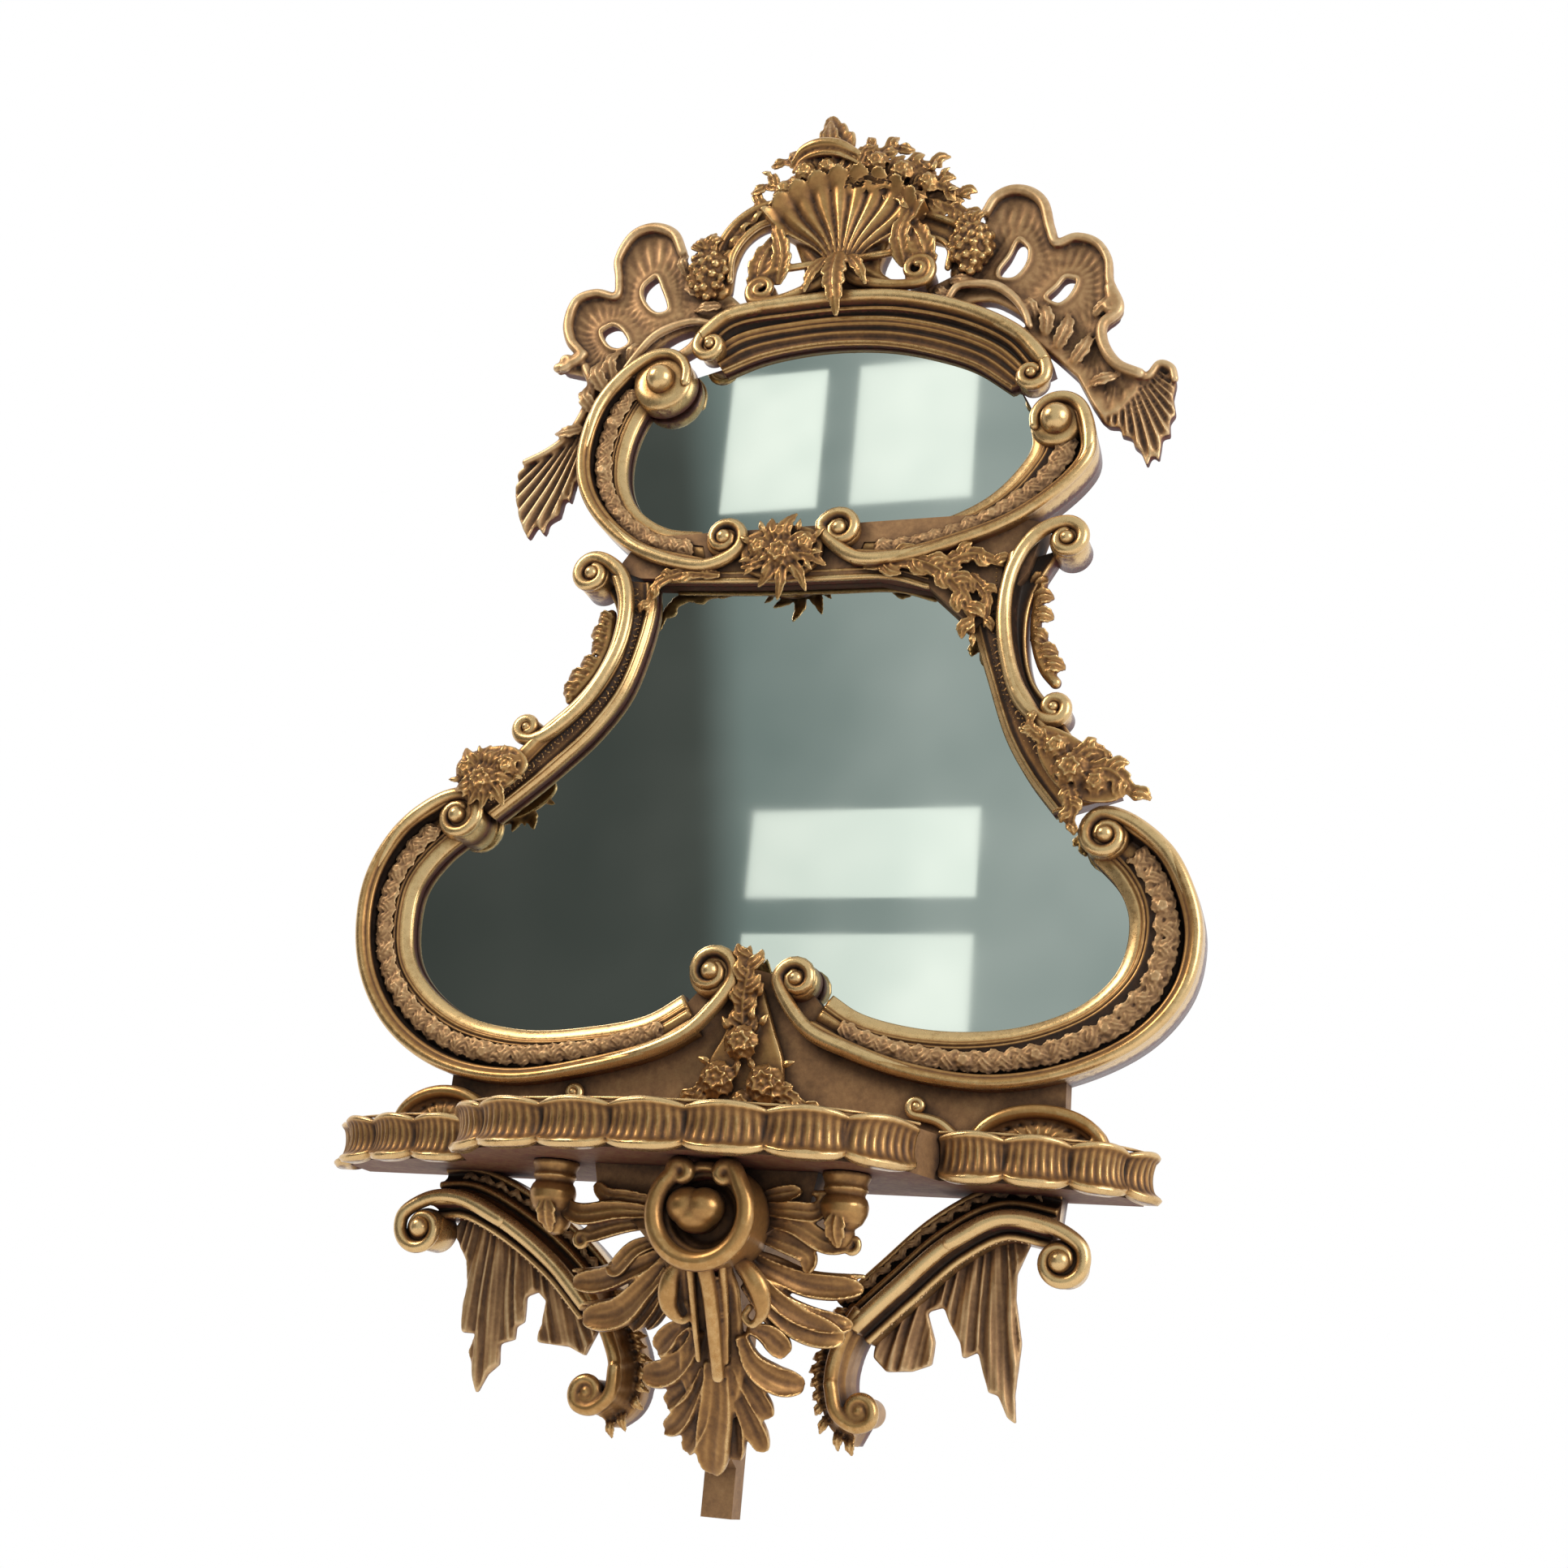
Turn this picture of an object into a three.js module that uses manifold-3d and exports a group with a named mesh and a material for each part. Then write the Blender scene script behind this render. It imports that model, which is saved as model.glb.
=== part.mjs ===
// Pier mirror: a carved and gilded frame round an oval upper plate and a bell-shaped lower plate,
// with a pierced crest, a bow-fronted shelf and an openwork bracket below it.
//
// Sizes are millimetres. Places on the face of the mirror are written [x, z] or [x, z, d]:
// x runs across (0 on the line through shell, ring and tongue), z up from the foot of the tongue,
// and d forward from the wall. In the model +Z is up and the front looks along -Y.

import * as THREE from 'three';
import { mergeVertices } from 'three/addons/utils/BufferGeometryUtils.js';
import Module from 'manifold-3d';

const wasm = await Module();
wasm.setup();

// ---------------------------------------------------------------- driving dimensions

const SEAT_GAP = 0.35; // left between two pieces that touch

const REBATE_DEPTH = 16; // depth of the step that holds glass and backboard
const REBATE_WIDTH = 12; // how far the frame laps over the glass
const BEAD_WIDTH = 16; // burnished outer bead of the frame scrolls
const BEAD_FRONT = 50; // front of that bead, from the wall
const SLIP_WIDTH = 14; // plain slip beside the glass
const SLIP_FRONT = 31;
const RAIL_FRONT = SLIP_FRONT + 3; // front of the rail between the plates
const BAND_FRONT = 37; // crown of the carved band between slip and bead
const COVE_FRONT = 27; // bottom of the hollow beside the bead
const CAP_FRONT = 60; // front of flowers and leaves laid on the frame
const EAR_FRONT = 50; // front of the half-moon ornaments on the shelf

const GLASS_THICKNESS = 4;
const BACKBOARD_THICKNESS = 5;

const CREST_BACK = 8; // the crest stands off the wall by this much
const CREST_FRONT = 30;
const CREST_RIM = 5.5; // radius of the rolled edge round the wings

const WALL_MOUNT_HEIGHT = 970; // the model's origin, at the back of the rail between the plates

const SHELF_X = -25;
const SHELF_TOP = 343;
const SHELF_HEIGHT = 46;
const SHELF_HALF_WIDTH = 415;
const SHELF_BOW = 238; // how far the middle stands out from the wall
const SHELF_EDGE = 13; // thickness of the fluted edging
const SHELF_WAVE = 5; // swell of each scallop in the edging
const SHELF_BOARD_DROP = 3; // board lies this far inside the edging, above and below

const ARM_BACK = 10;
const ARM_BEAD = 13;
const DROP_BACK = 20;
const DROP_FRONT = 32;
const BACKBONE_HALF_WIDTH = 15;
const TONGUE_FRONT = 24;

const HANGER_X = { left: -251, right: 280 };
const HANGER_Z = 1085; // hinge line of the hangers
const POCKET_WIDTH = 26;
const POCKET_DEPTH = 9;
const STRAP_THICKNESS = 1.6;
const STRAP_WIDTH = 18;
const STRAP_LENGTH = 34;
const RING_WIRE = 1.6; // radius of the D-ring's wire
const RING_REACH = 22; // from hinge line to the far side of the ring
const RING_SPAN = 22; // overall width of the ring
const KNUCKLE_CLEARANCE = 0.7;
const SCREW_RISES = [11, 27]; // height of the two screws over the hinge line
const SCREW_SHANK = 1.6;
const SCREW_HEAD = 3.4;
const SCREW_LENGTH = 14;

// ---------------------------------------------------------------- shaping helpers

const at = (x, z, d) => new THREE.Vector3(x, -d, z);

/** Evenly spaced points on a smooth line through the given places. */
function route(places, steps, depth = 0) {
  const knots = places.map(([x, z, d = depth]) => at(x, z, d));
  return new THREE.CatmullRomCurve3(knots, false, 'centripetal').getSpacedPoints(steps);
}

/** Moves every side of a closed 2-D loop outward by the same distance. */
function offsetLoop(loop, distance) {
  if (distance === 0) return loop;
  const turn = Math.sign(THREE.ShapeUtils.area(loop));
  const sides = loop.map((point, i) => {
    const along = loop[(i + 1) % loop.length].clone().sub(point).normalize();
    return new THREE.Vector2(along.y, -along.x).multiplyScalar(turn);
  });
  return loop.map((point, i) => {
    const before = sides[(i + loop.length - 1) % loop.length];
    const mitre = before.clone().add(sides[i]).normalize();
    const reach = distance / Math.max(mitre.dot(sides[i]), 0.5);
    return point.clone().addScaledVector(mitre, reach);
  });
}

/** Turns a closed geometry into a solid, facing out. */
function solidOf(geometry) {
  const bare = geometry.clone();
  bare.deleteAttribute('normal');
  bare.deleteAttribute('uv');
  const merged = mergeVertices(bare, 1e-3);
  const points = merged.attributes.position.array;
  const index = Uint32Array.from(merged.index.array);
  const corner = (i) => new THREE.Vector3().fromArray(points, 3 * index[i]);
  let volume = 0;
  for (let i = 0; i < index.length; i += 3) volume += corner(i).dot(corner(i + 1).cross(corner(i + 2)));
  if (volume < 0) index.reverse();
  return new wasm.Manifold(new wasm.Mesh({ numProp: 3, vertProperties: points, triVerts: index }));
}

/** Joins solids into one. */
const fuse = (...solids) => solids.flat().reduce((whole, solid) => whole.add(solid));

/** Skins a row of closed rings, each with the same number of points, and caps both ends. */
function loft(rings) {
  const count = rings[0].length;
  const geometry = new THREE.BufferGeometry().setFromPoints(rings.flat());
  const index = [];
  for (let r = 0; r + 1 < rings.length; r += 1) {
    for (let i = 0; i < count; i += 1) {
      const a = r * count + i;
      const b = r * count + ((i + 1) % count);
      index.push(a, b, b + count, a, b + count, a + count);
    }
  }
  index.push(...capFaces(rings[0], 0, true));
  index.push(...capFaces(rings.at(-1), (rings.length - 1) * count, false));
  geometry.setIndex(index);
  return solidOf(geometry);
}

/** Triangles that close one ring of a loft. */
function capFaces(ring, first, reversed) {
  const normal = new THREE.Vector3();
  ring.forEach(
    (point, i) => normal.add(
      point.clone().sub(ring[0]).cross(ring[(i + 1) % ring.length].clone().sub(ring[0])),
    ),
  );
  normal.normalize();
  const across = ring[1].clone().sub(ring[0]).projectOnPlane(normal).normalize();
  const up = normal.clone().cross(across);
  const flat = ring.map((point) => new THREE.Vector2(point.dot(across), point.dot(up)));
  return THREE.ShapeUtils.triangulateShape(flat, []).flatMap((face) => {
    const sameWay = THREE.ShapeUtils.area(face.map((i) => flat[i])) > 0;
    const ordered = sameWay === reversed ? face.toReversed() : face;
    return ordered.map((i) => first + i);
  });
}

/** Unit vectors across and forward of a path at point i. */
function frameAt(points, i) {
  const next = points[Math.min(i + 1, points.length - 1)];
  const along = next.clone().sub(points[Math.max(i - 1, 0)]).normalize();
  const across = along.clone().cross(at(0, 0, 1)).normalize();
  return { along, across, forward: across.clone().cross(along).normalize() };
}

/** A round rod along points, its radius given by a function of 0..1. */
function rod(points, radiusAt, { sides = 5, grow = 0 } = {}) {
  const rings = points.map((point, i) => {
    const { across, forward, along } = frameAt(points, i);
    const radius = radiusAt(i / (points.length - 1)) + grow;
    const end = i === 0 ? -grow : i === points.length - 1 ? grow : 0;
    return Array.from({ length: sides }, (_, s) => {
      const angle = (2 * Math.PI * (s + 0.5)) / sides;
      return point.clone()
        .addScaledVector(across, radius * Math.cos(angle))
        .addScaledVector(forward, radius * Math.sin(angle))
        .addScaledVector(along, end);
    });
  });
  return loft(rings);
}

/** A flat piece cut to an outline on the face, from depth `back` to depth `front`. */
function plate(outline, back, front, { holes = [], grow = 0, widen = grow, bevel = 0 } = {}) {
  const loop = (places, distance) => offsetLoop(
    places.map(([x, z]) => new THREE.Vector2(x, z)), distance,
  );
  const slab = (edge, low, high, chamfer) => {
    const geometry = new THREE.ExtrudeGeometry(new THREE.Shape(edge), {
      depth: high - low - 2 * chamfer,
      bevelEnabled: chamfer > 0,
      bevelThickness: chamfer,
      bevelSize: chamfer,
      bevelOffset: -chamfer,
      bevelSegments: 1,
    });
    geometry.rotateX(Math.PI / 2);
    geometry.translate(0, -(low + chamfer), 0);
    return solidOf(geometry);
  };
  const body = slab(loop(outline, widen), back - grow, front + grow, bevel);
  return holes.reduce(
    (left, hole) => left.subtract(slab(loop(hole, -grow), back - 5, front + 5, 0)), body,
  );
}

/** Closed smooth outline through the given places, `perSpan` points to each span. */
function smoothLoop(places, perSpan = 2) {
  const knots = places.map(([x, z]) => new THREE.Vector3(x, z, 0));
  const curve = new THREE.CatmullRomCurve3(knots, true, 'centripetal');
  return curve.getPoints(places.length * perSpan).slice(0, -1).map((point) => [point.x, point.y]);
}

/** A ball, squashed by `stretch`; `fine` 1 and 2 are for the large ones. */
function ball(x, z, d, radius, { stretch = [1, 1, 1], grow = 0, fine = 0 } = {}) {
  const geometry = new THREE.IcosahedronGeometry(radius + grow, fine);
  geometry.scale(...stretch);
  geometry.translate(x, -d, z);
  return solidOf(geometry);
}

/** A disc on the face, from depth `back` to depth `front`. */
function disc(x, z, radius, back, front, { sides = 8, grow = 0, top = 1 } = {}) {
  const geometry = new THREE.CylinderGeometry(
    (radius + grow) * top, radius + grow, front - back + 2 * grow, sides,
  );
  geometry.rotateX(Math.PI);
  geometry.translate(x, -(front + back) / 2, z);
  return solidOf(geometry);
}

/** Places on a curl that starts at `from`, turns round `centre` and tightens as it goes. */
function curlPlaces({ centre, from, turns, hand, tighten = 0.42, rise = 0, depth }) {
  const [cx, cz] = centre;
  const start = Math.atan2(from[1] - cz, from[0] - cx);
  const radius = Math.hypot(from[0] - cx, from[1] - cz);
  const count = Math.ceil(turns * 9);
  return Array.from({ length: count }, (_, i) => {
    const share = (i + 1) / count;
    const angle = start + hand * 2 * Math.PI * turns * share;
    const reach = radius * (1 - (1 - tighten) * share);
    return [cx + reach * Math.cos(angle), cz + reach * Math.sin(angle), depth + rise * share];
  });
}

/** A leaf or blade: a pointed loft along places, widest where `shape` says, with a raised midrib. */
function leaf(
  places, width, { thick = 8, lobes = 0, tip = 0.06, steps = 6, belly = 0.4, grow = 0 } = {},
) {
  const points = route(places, steps);
  const rings = points.map((point, i) => {
    const share = i / steps;
    const { across, forward, along } = frameAt(points, i);
    const swell = Math.sin(Math.PI * (0.18 + 0.78 * share ** (belly * 2))) ** 0.8;
    const lobe = 1 - lobes * (i % 2);
    const half = Math.max((width / 2) * swell * lobe, (width / 2) * tip) + grow;
    const high = thick * Math.max(0.35, swell) + grow;
    const low = thick * 0.4 + grow;
    const end = i === 0 ? -grow : i === steps ? grow : 0;
    const section = [[-1, 0], [0, high], [1, 0], [0, -low]];
    return section.map(([side, lift]) => point.clone()
      .addScaledVector(across, side * half)
      .addScaledVector(forward, lift)
      .addScaledVector(along, end));
  });
  return loft(rings);
}

/** A flower: petals that lift from the middle, round a raised eye. */
function flower(x, z, d, radius, { turn = 0, petals = 5, grow = 0 } = {}) {
  const ring = (share, lift, notch) => Array.from({ length: 2 * petals }, (_, i) => {
    const angle = turn + (Math.PI * i) / petals;
    const reach = radius * share * (i % 2 ? notch : 1) + grow;
    return at(
      x + reach * Math.cos(angle), z + reach * Math.sin(angle),
      d + lift * radius + Math.sign(lift) * grow,
    );
  });
  return loft([ring(0.7, -0.5, 0.9), ring(1, 0.1, 0.62), ring(0.3, 0.45, 1)]);
}

// ---------------------------------------------------------------- frame members

const BEAD_HALF = BEAD_WIDTH / 2;

const rebate = [[0, 0, REBATE_DEPTH], [0, REBATE_WIDTH, REBATE_DEPTH], [0, REBATE_WIDTH, 0]];
const slip = [[0, SLIP_WIDTH, COVE_FRONT], [0, SLIP_WIDTH - 3, SLIP_FRONT], [0, 1, SLIP_FRONT - 3]];
const beadAt = (share, inward = BEAD_FRONT - BEAD_WIDTH) => [
  [share, BEAD_HALF, BEAD_FRONT - BEAD_HALF],
  [share, BEAD_HALF / 2, BEAD_FRONT],
  [share, -BEAD_HALF / 2, BEAD_FRONT],
  [share, -BEAD_HALF, BEAD_FRONT - BEAD_HALF],
  [share, -BEAD_HALF, inward],
];

/** Section of a scroll: [share of the way from sight edge to rim, mm past that, depth]. */
const SCROLL_SECTION = [...rebate, [1, BEAD_HALF - 1, 0], ...beadAt(1), [0.52, 0, BAND_FRONT], ...slip];

/** Section of the members at the waist, which have a hollow outside the bead. */
const WAIST_SECTION = [
  ...rebate,
  [1, 0, 0],
  [1, 0, COVE_FRONT - 3],
  [0.6, BEAD_HALF, COVE_FRONT - 7],
  ...beadAt(0.6, SLIP_FRONT + 3),
  [0, SLIP_WIDTH / 2, SLIP_FRONT],
  [0, 1, SLIP_FRONT - 3],
];

/** Section of the arch over the upper plate, with two reeds between bead and slip. */
const ARCH_SECTION = [
  ...rebate,
  [1, BEAD_HALF - 1, 0],
  ...beadAt(1, COVE_FRONT + 10),
  [0.66, 0, COVE_FRONT + 4],
  [0.55, 0, COVE_FRONT + 9],
  [0.42, 0, COVE_FRONT],
  [0.2, 0, COVE_FRONT + 3],
  [0, 1, COVE_FRONT - 4],
];

/** Ring of one member section at a sight point and the rim point across from it. */
function sectionRing(section, sight, rim, along, grow, end) {
  const across = rim.clone().sub(sight);
  const width = across.length();
  across.normalize();
  const flat = section.map(([share, extra, depth]) => new THREE.Vector2(share * width + extra, depth));
  return offsetLoop(flat, grow).map((point) => sight.clone()
    .addScaledVector(across, point.x)
    .add(at(0, 0, point.y))
    .addScaledVector(along, end));
}

/** A scrolled frame member: a body between sight edge and rim, with a bead that curls at its ends. */
function member({ sight, rim, bead = rim, section = SCROLL_SECTION, steps = 8, curls }) {
  const beadDepth = BEAD_FRONT - BEAD_HALF;
  const scroll = ({ lead, back = 0, eye, ...curl }, grow) => {
    const [x, z] = curl.centre;
    const radius = Math.hypot(curl.from[0] - x, curl.from[1] - z);
    const places = [...lead, ...curlPlaces({ ...curl, depth: beadDepth })];
    return [
      rod(
        route(places, 7, beadDepth), (share) => BEAD_HALF * (share < 0.4 ? 0.7 : 1 - 0.35 * share ** 3),
        { grow },
      ),
      disc(x, z, radius, back, beadDepth, { grow, top: 0.92 }),
      ball(x, z, beadDepth + 2, eye ?? radius * 0.36, { grow, fine: eye ? 1 : 0 }),
    ];
  };
  const build = (grow = 0) => {
    const inner = route(sight, steps);
    const outer = route(rim, steps);
    const rings = inner.map((point, i) => {
      const end = i === 0 ? -grow : i === steps ? grow : 0;
      return sectionRing(section, point, outer[i], frameAt(inner, i).along, grow, end);
    });
    const [start, finish] = curls;
    return fuse(
      loft(rings),
      ...scroll({ ...start, lead: bead.slice(0, 3).toReversed() }, grow),
      ...scroll({ ...finish, lead: bead.slice(-3) }, grow),
    );
  };
  return { build, sight: sightPlaces(sight, steps) };
}

/** Places along a sight edge as [x, z]. */
function sightPlaces(sight, steps) {
  return route(sight, steps).map((point) => [point.x, point.z]);
}

const ovalLeft = member({
  sight: [
    [-181, 1192], [-206, 1165], [-221, 1120], [-219, 1073], [-200, 1038], [-165, 1014], [-122, 1006],
  ],
  rim: [[-232, 1206], [-259, 1168], [-271, 1111], [-263, 1065], [-236, 1022], [-184, 980], [-108, 957]],
  curls: [
    {
      centre: [-186, 1194], from: [-215, 1217], turns: 0.42, hand: -1, tighten: 0.8,
      back: REBATE_DEPTH + 2, eye: 17,
    },
    { centre: [-88, 988], from: [-85, 965], turns: 0.95, hand: 1, back: REBATE_DEPTH + 2 },
  ],
});

const ovalRight = member({
  sight: [[238, 1106], [241, 1079], [224, 1050], [197, 1024], [159, 1005], [117, 995], [74, 994]],
  rim: [[296, 1110], [304, 1063], [291, 1038], [233, 992], [163, 966], [105, 953], [60, 956]],
  curls: [
    {
      centre: [269, 1100], from: [294, 1114], turns: 0.45, hand: 1, tighten: 0.8, back: REBATE_DEPTH + 2,
      eye: 17,
    },
    { centre: [42, 990], from: [21, 982], turns: 1, hand: -1, back: REBATE_DEPTH + 2 },
  ],
});

const arch = member({
  sight: [
    [-119, 1208], [-75, 1223], [-17, 1230], [30, 1229], [78, 1222], [124, 1208], [171, 1187],
    [214, 1154],
  ],
  rim: [
    [-143, 1246], [-113, 1271], [-37, 1279], [40, 1278], [96, 1270], [168, 1245], [222, 1211],
    [253, 1172],
  ],
  section: ARCH_SECTION,
  curls: [
    { centre: [-131, 1234], from: [-146, 1241], turns: 0.6, hand: 1, back: REBATE_DEPTH + 2 },
    { centre: [240, 1158], from: [256, 1162], turns: 0.6, hand: -1, back: REBATE_DEPTH + 2 },
  ],
});

const waistLeft = member({
  sight: [
    [-170, 945], [-167, 915], [-174, 867], [-190, 816], [-219, 773], [-256, 736], [-294, 703],
    [-326, 677],
  ],
  rim: [
    [-232, 950], [-214, 915], [-214, 872], [-228, 838], [-252, 808], [-288, 780], [-325, 738],
    [-365, 708],
  ],
  bead: [[-221, 968], [-203, 950], [-193, 915], [-197, 866], [-226, 807], [-262, 771], [-283, 761]],
  section: WAIST_SECTION,
  curls: [
    { centre: [-240, 955], from: [-228, 972], turns: 0.8, hand: 1 },
    { centre: [-293, 775], from: [-290, 762], turns: 0.8, hand: -1 },
  ],
});

const waistRight = member({
  sight: [[166, 934], [183, 898], [197, 849], [209, 811], [230, 750], [252, 710], [280, 672]],
  rim: [[276, 958], [250, 908], [245, 862], [254, 815], [280, 778], [306, 738], [345, 692]],
  bead: [[262, 974], [245, 959], [230, 928], [224, 881], [230, 832], [244, 789], [264, 766]],
  section: WAIST_SECTION,
  curls: [
    { centre: [286, 961], from: [274, 977], turns: 0.85, hand: -1 },
    { centre: [280, 776], from: [274, 763], turns: 0.85, hand: 1 },
  ],
});

const lobeLeft = member({
  sight: [
    [-344, 664], [-381, 633], [-402, 600], [-405, 560], [-396, 521], [-370, 489], [-322, 460],
    [-256, 447], [-187, 451], [-123, 464], [-86, 486],
  ],
  rim: [
    [-380, 697], [-425, 665], [-452, 615], [-456, 560], [-440, 500], [-400, 446], [-339, 409],
    [-263, 396], [-176, 408], [-101, 429], [-64, 450],
  ],
  steps: 10,
  curls: [
    { centre: [-361, 676], from: [-368, 701], turns: 0.9, hand: -1 },
    { centre: [-52, 506], from: [-34, 487], turns: 0.95, hand: 1, back: REBATE_DEPTH + 2 },
  ],
});

const lobeRight = member({
  sight: [
    [322, 622], [345, 596], [357, 568], [356, 535], [345, 508], [315, 480], [265, 460], [207, 453],
    [150, 457], [100, 470], [72, 487],
  ],
  rim: [
    [358, 657], [394, 625], [416, 577], [421, 539], [410, 492], [375, 449], [312, 416], [240, 402],
    [165, 409], [100, 428], [52, 450],
  ],
  steps: 10,
  curls: [
    { centre: [335, 643], from: [345, 664], turns: 0.95, hand: 1 },
    { centre: [38, 499], from: [21, 488], turns: 0.95, hand: -1, back: REBATE_DEPTH + 2 },
  ],
});

// ---------------------------------------------------------------- glass and backboards

const LAP = REBATE_WIDTH - 2; // how far the plates reach under the frame
const glassFront = REBATE_DEPTH - SEAT_GAP - 0.05; // clear of the frame's own gap
const glassBack = glassFront - GLASS_THICKNESS;
const boardFront = glassBack - SEAT_GAP;
const boardBack = boardFront - BACKBOARD_THICKNESS;

const RAIL_CROWN = 1000; // top of the rail under the upper plate
/** A place on the rail, measured down from its crown. */
const onRail = ([x, below, ...depth]) => [x, RAIL_CROWN - below, ...depth];
const RAIL_SIGHT = [[-150, 53], [-60, 59], [30, 62], [100, 65], [140, 78]].map(onRail);

const railSight = sightPlaces(RAIL_SIGHT, 5);
const upperSight = [...arch.sight, ...ovalRight.sight, ...ovalLeft.sight.toReversed()];
const lowerSight = [
  ...waistLeft.sight,
  ...lobeLeft.sight,
  ...lobeRight.sight.toReversed(),
  ...waistRight.sight.toReversed(),
  ...railSight.toReversed(),
];

const glass = (sight) => (grow = 0) => plate(
  sight, glassBack - grow, glassFront + grow, { widen: LAP + grow },
);
const backboard = (sight) => (grow = 0) => plate(
  sight, boardBack - grow, boardFront + grow, { widen: LAP + grow },
);
/** Room for glass and backboard, open at the back. */
const plateRoom = (sight) => () => plate(sight, -1, REBATE_DEPTH, { widen: LAP + SEAT_GAP });

// ---------------------------------------------------------------- rail and apron

const railOutline = [
  ...[
    [-215, 38], [-190, 0], [-110, 0], [70, 0], [200, 0], [262, 15], [245, 70], [205, 120], [190, 132],
    [178, 115],
  ].map(onRail),
  ...railSight.toReversed(),
  onRail([-185, 50]),
];
const middleRail = (grow = 0) => plate(railOutline, 0, RAIL_FRONT, { grow });

const APRON_CURL = { left: [-190, 383], right: [165, 379] };
const apronOutline = [
  [-330, SHELF_TOP + SEAT_GAP], [-330, 415], [-200, 425], [-100, 455], [-60, 500], [-10, 512], [40, 500],
  [80, 455], [180, 430], [305, 430], [305, SHELF_TOP + SEAT_GAP],
];
const apronPanel = (grow = 0) => {
  const curls = [[APRON_CURL.left, 1], [APRON_CURL.right, -1]].map(([[x, z], hand]) => {
    const places = curlPlaces({
      centre: [x, z], from: [x, z - 9], turns: 0.8, hand, tighten: 0.4, depth: COVE_FRONT + 4,
    });
    return rod(route([[x - hand * 22, z - 14, COVE_FRONT], ...places], 6), () => 4.5, { grow, sides: 4 });
  });
  return fuse(plate(apronOutline, 0, COVE_FRONT, { grow }), ...curls);
};

// ---------------------------------------------------------------- flowers and leaves on the frame

const railFront = RAIL_FRONT + SEAT_GAP;
const railFlower = (x, below, d, radius, options) => flower(...onRail([x, below]), d, radius, options);
const railLeaf = (places, width, options) => leaf(places.map(onRail), width, options);
const middleFlowers = (grow = 0) => fuse(
  plate(
    smoothLoop([[-62, 50], [-66, 15], [-21, 1], [22, 15], [18, 50], [-20, 64]].map(onRail), 1),
    railFront,
    BEAD_FRONT - 4,
    { grow },
  ),
  railFlower(-20, 38, BEAD_FRONT, 20, { grow }),
  railFlower(-44, 24, BEAD_FRONT - 2, 13, { turn: 0.6, grow }),
  railFlower(4, 26, BEAD_FRONT - 2, 13, { turn: 0.2, grow }),
  railLeaf(
    [[-20, 45, BEAD_FRONT], [-19, 62, BEAD_FRONT + 2], [-17, 77, BEAD_FRONT - 3]], 16,
    { steps: 4, thick: 6, grow },
  ),
  railLeaf(
    [[-30, 40, BEAD_FRONT - 4], [-50, 46, BEAD_FRONT - 2], [-70, 34, BEAD_FRONT - 8]], 17,
    { steps: 4, thick: 6, grow },
  ),
  railLeaf(
    [[-10, 40, BEAD_FRONT - 4], [10, 48, BEAD_FRONT - 2], [28, 38, BEAD_FRONT - 8]], 17,
    { steps: 4, thick: 6, grow },
  ),
);

const cornerLeafRight = (grow = 0) => fuse(
  railLeaf(
    [
      [70, 56, railFront + 4], [130, 57, railFront + 8], [172, 84, railFront + 9], [189, 115, railFront + 8],
      [192, 149, railFront],
    ],
    26,
    { steps: 9, lobes: 0.25, thick: 9, belly: 0.6, grow },
  ),
  railLeaf(
    [[150, 64, railFront + 4], [190, 55, railFront + 7], [214, 70, railFront + 4]],
    26,
    { steps: 5, lobes: 0.3, thick: 7, grow },
  ),
);
const cornerLeafLeft = (grow = 0) => railLeaf(
  [[-90, 56, railFront + 4], [-135, 54, railFront + 7], [-163, 66, railFront + 6], [-172, 95, railFront]],
  22,
  { steps: 7, lobes: 0.25, thick: 8, belly: 0.6, grow },
);

const shoulderBack = BEAD_FRONT + SEAT_GAP; // they lie across the beads of two members
const shoulderLeft = (grow = 0) => fuse(
  plate(
    [[-298, 748], [-280, 728], [-300, 704], [-335, 692], [-360, 708], [-364, 733], [-336, 748]],
    shoulderBack, CAP_FRONT - 4, { grow },
  ),
  flower(-330, 712, CAP_FRONT, 19, { grow }),
  flower(-304, 728, CAP_FRONT - 1, 16, { turn: 0.5, grow }),
  flower(-352, 725, CAP_FRONT - 2, 14, { turn: 0.9, grow }),
  leaf(
    [[-310, 724, CAP_FRONT - 4], [-281, 737, CAP_FRONT], [-262, 752, CAP_FRONT - 6]], 22,
    { steps: 4, lobes: 0.25, grow },
  ),
);
const shoulderRight = (grow = 0) => fuse(
  plate(
    [[272, 752], [268, 725], [292, 686], [322, 672], [350, 676], [340, 704], [304, 740]], shoulderBack,
    CAP_FRONT - 4, { grow },
  ),
  flower(300, 708, CAP_FRONT, 19, { grow }),
  flower(286, 732, CAP_FRONT - 2, 15, { turn: 0.5, grow }),
  flower(326, 692, CAP_FRONT - 2, 15, { turn: 0.9, grow }),
  leaf(
    [[312, 702, CAP_FRONT - 4], [340, 700, CAP_FRONT - 2], [366, 674, CAP_FRONT - 8]], 28,
    { steps: 4, lobes: 0.3, grow },
  ),
);

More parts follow.
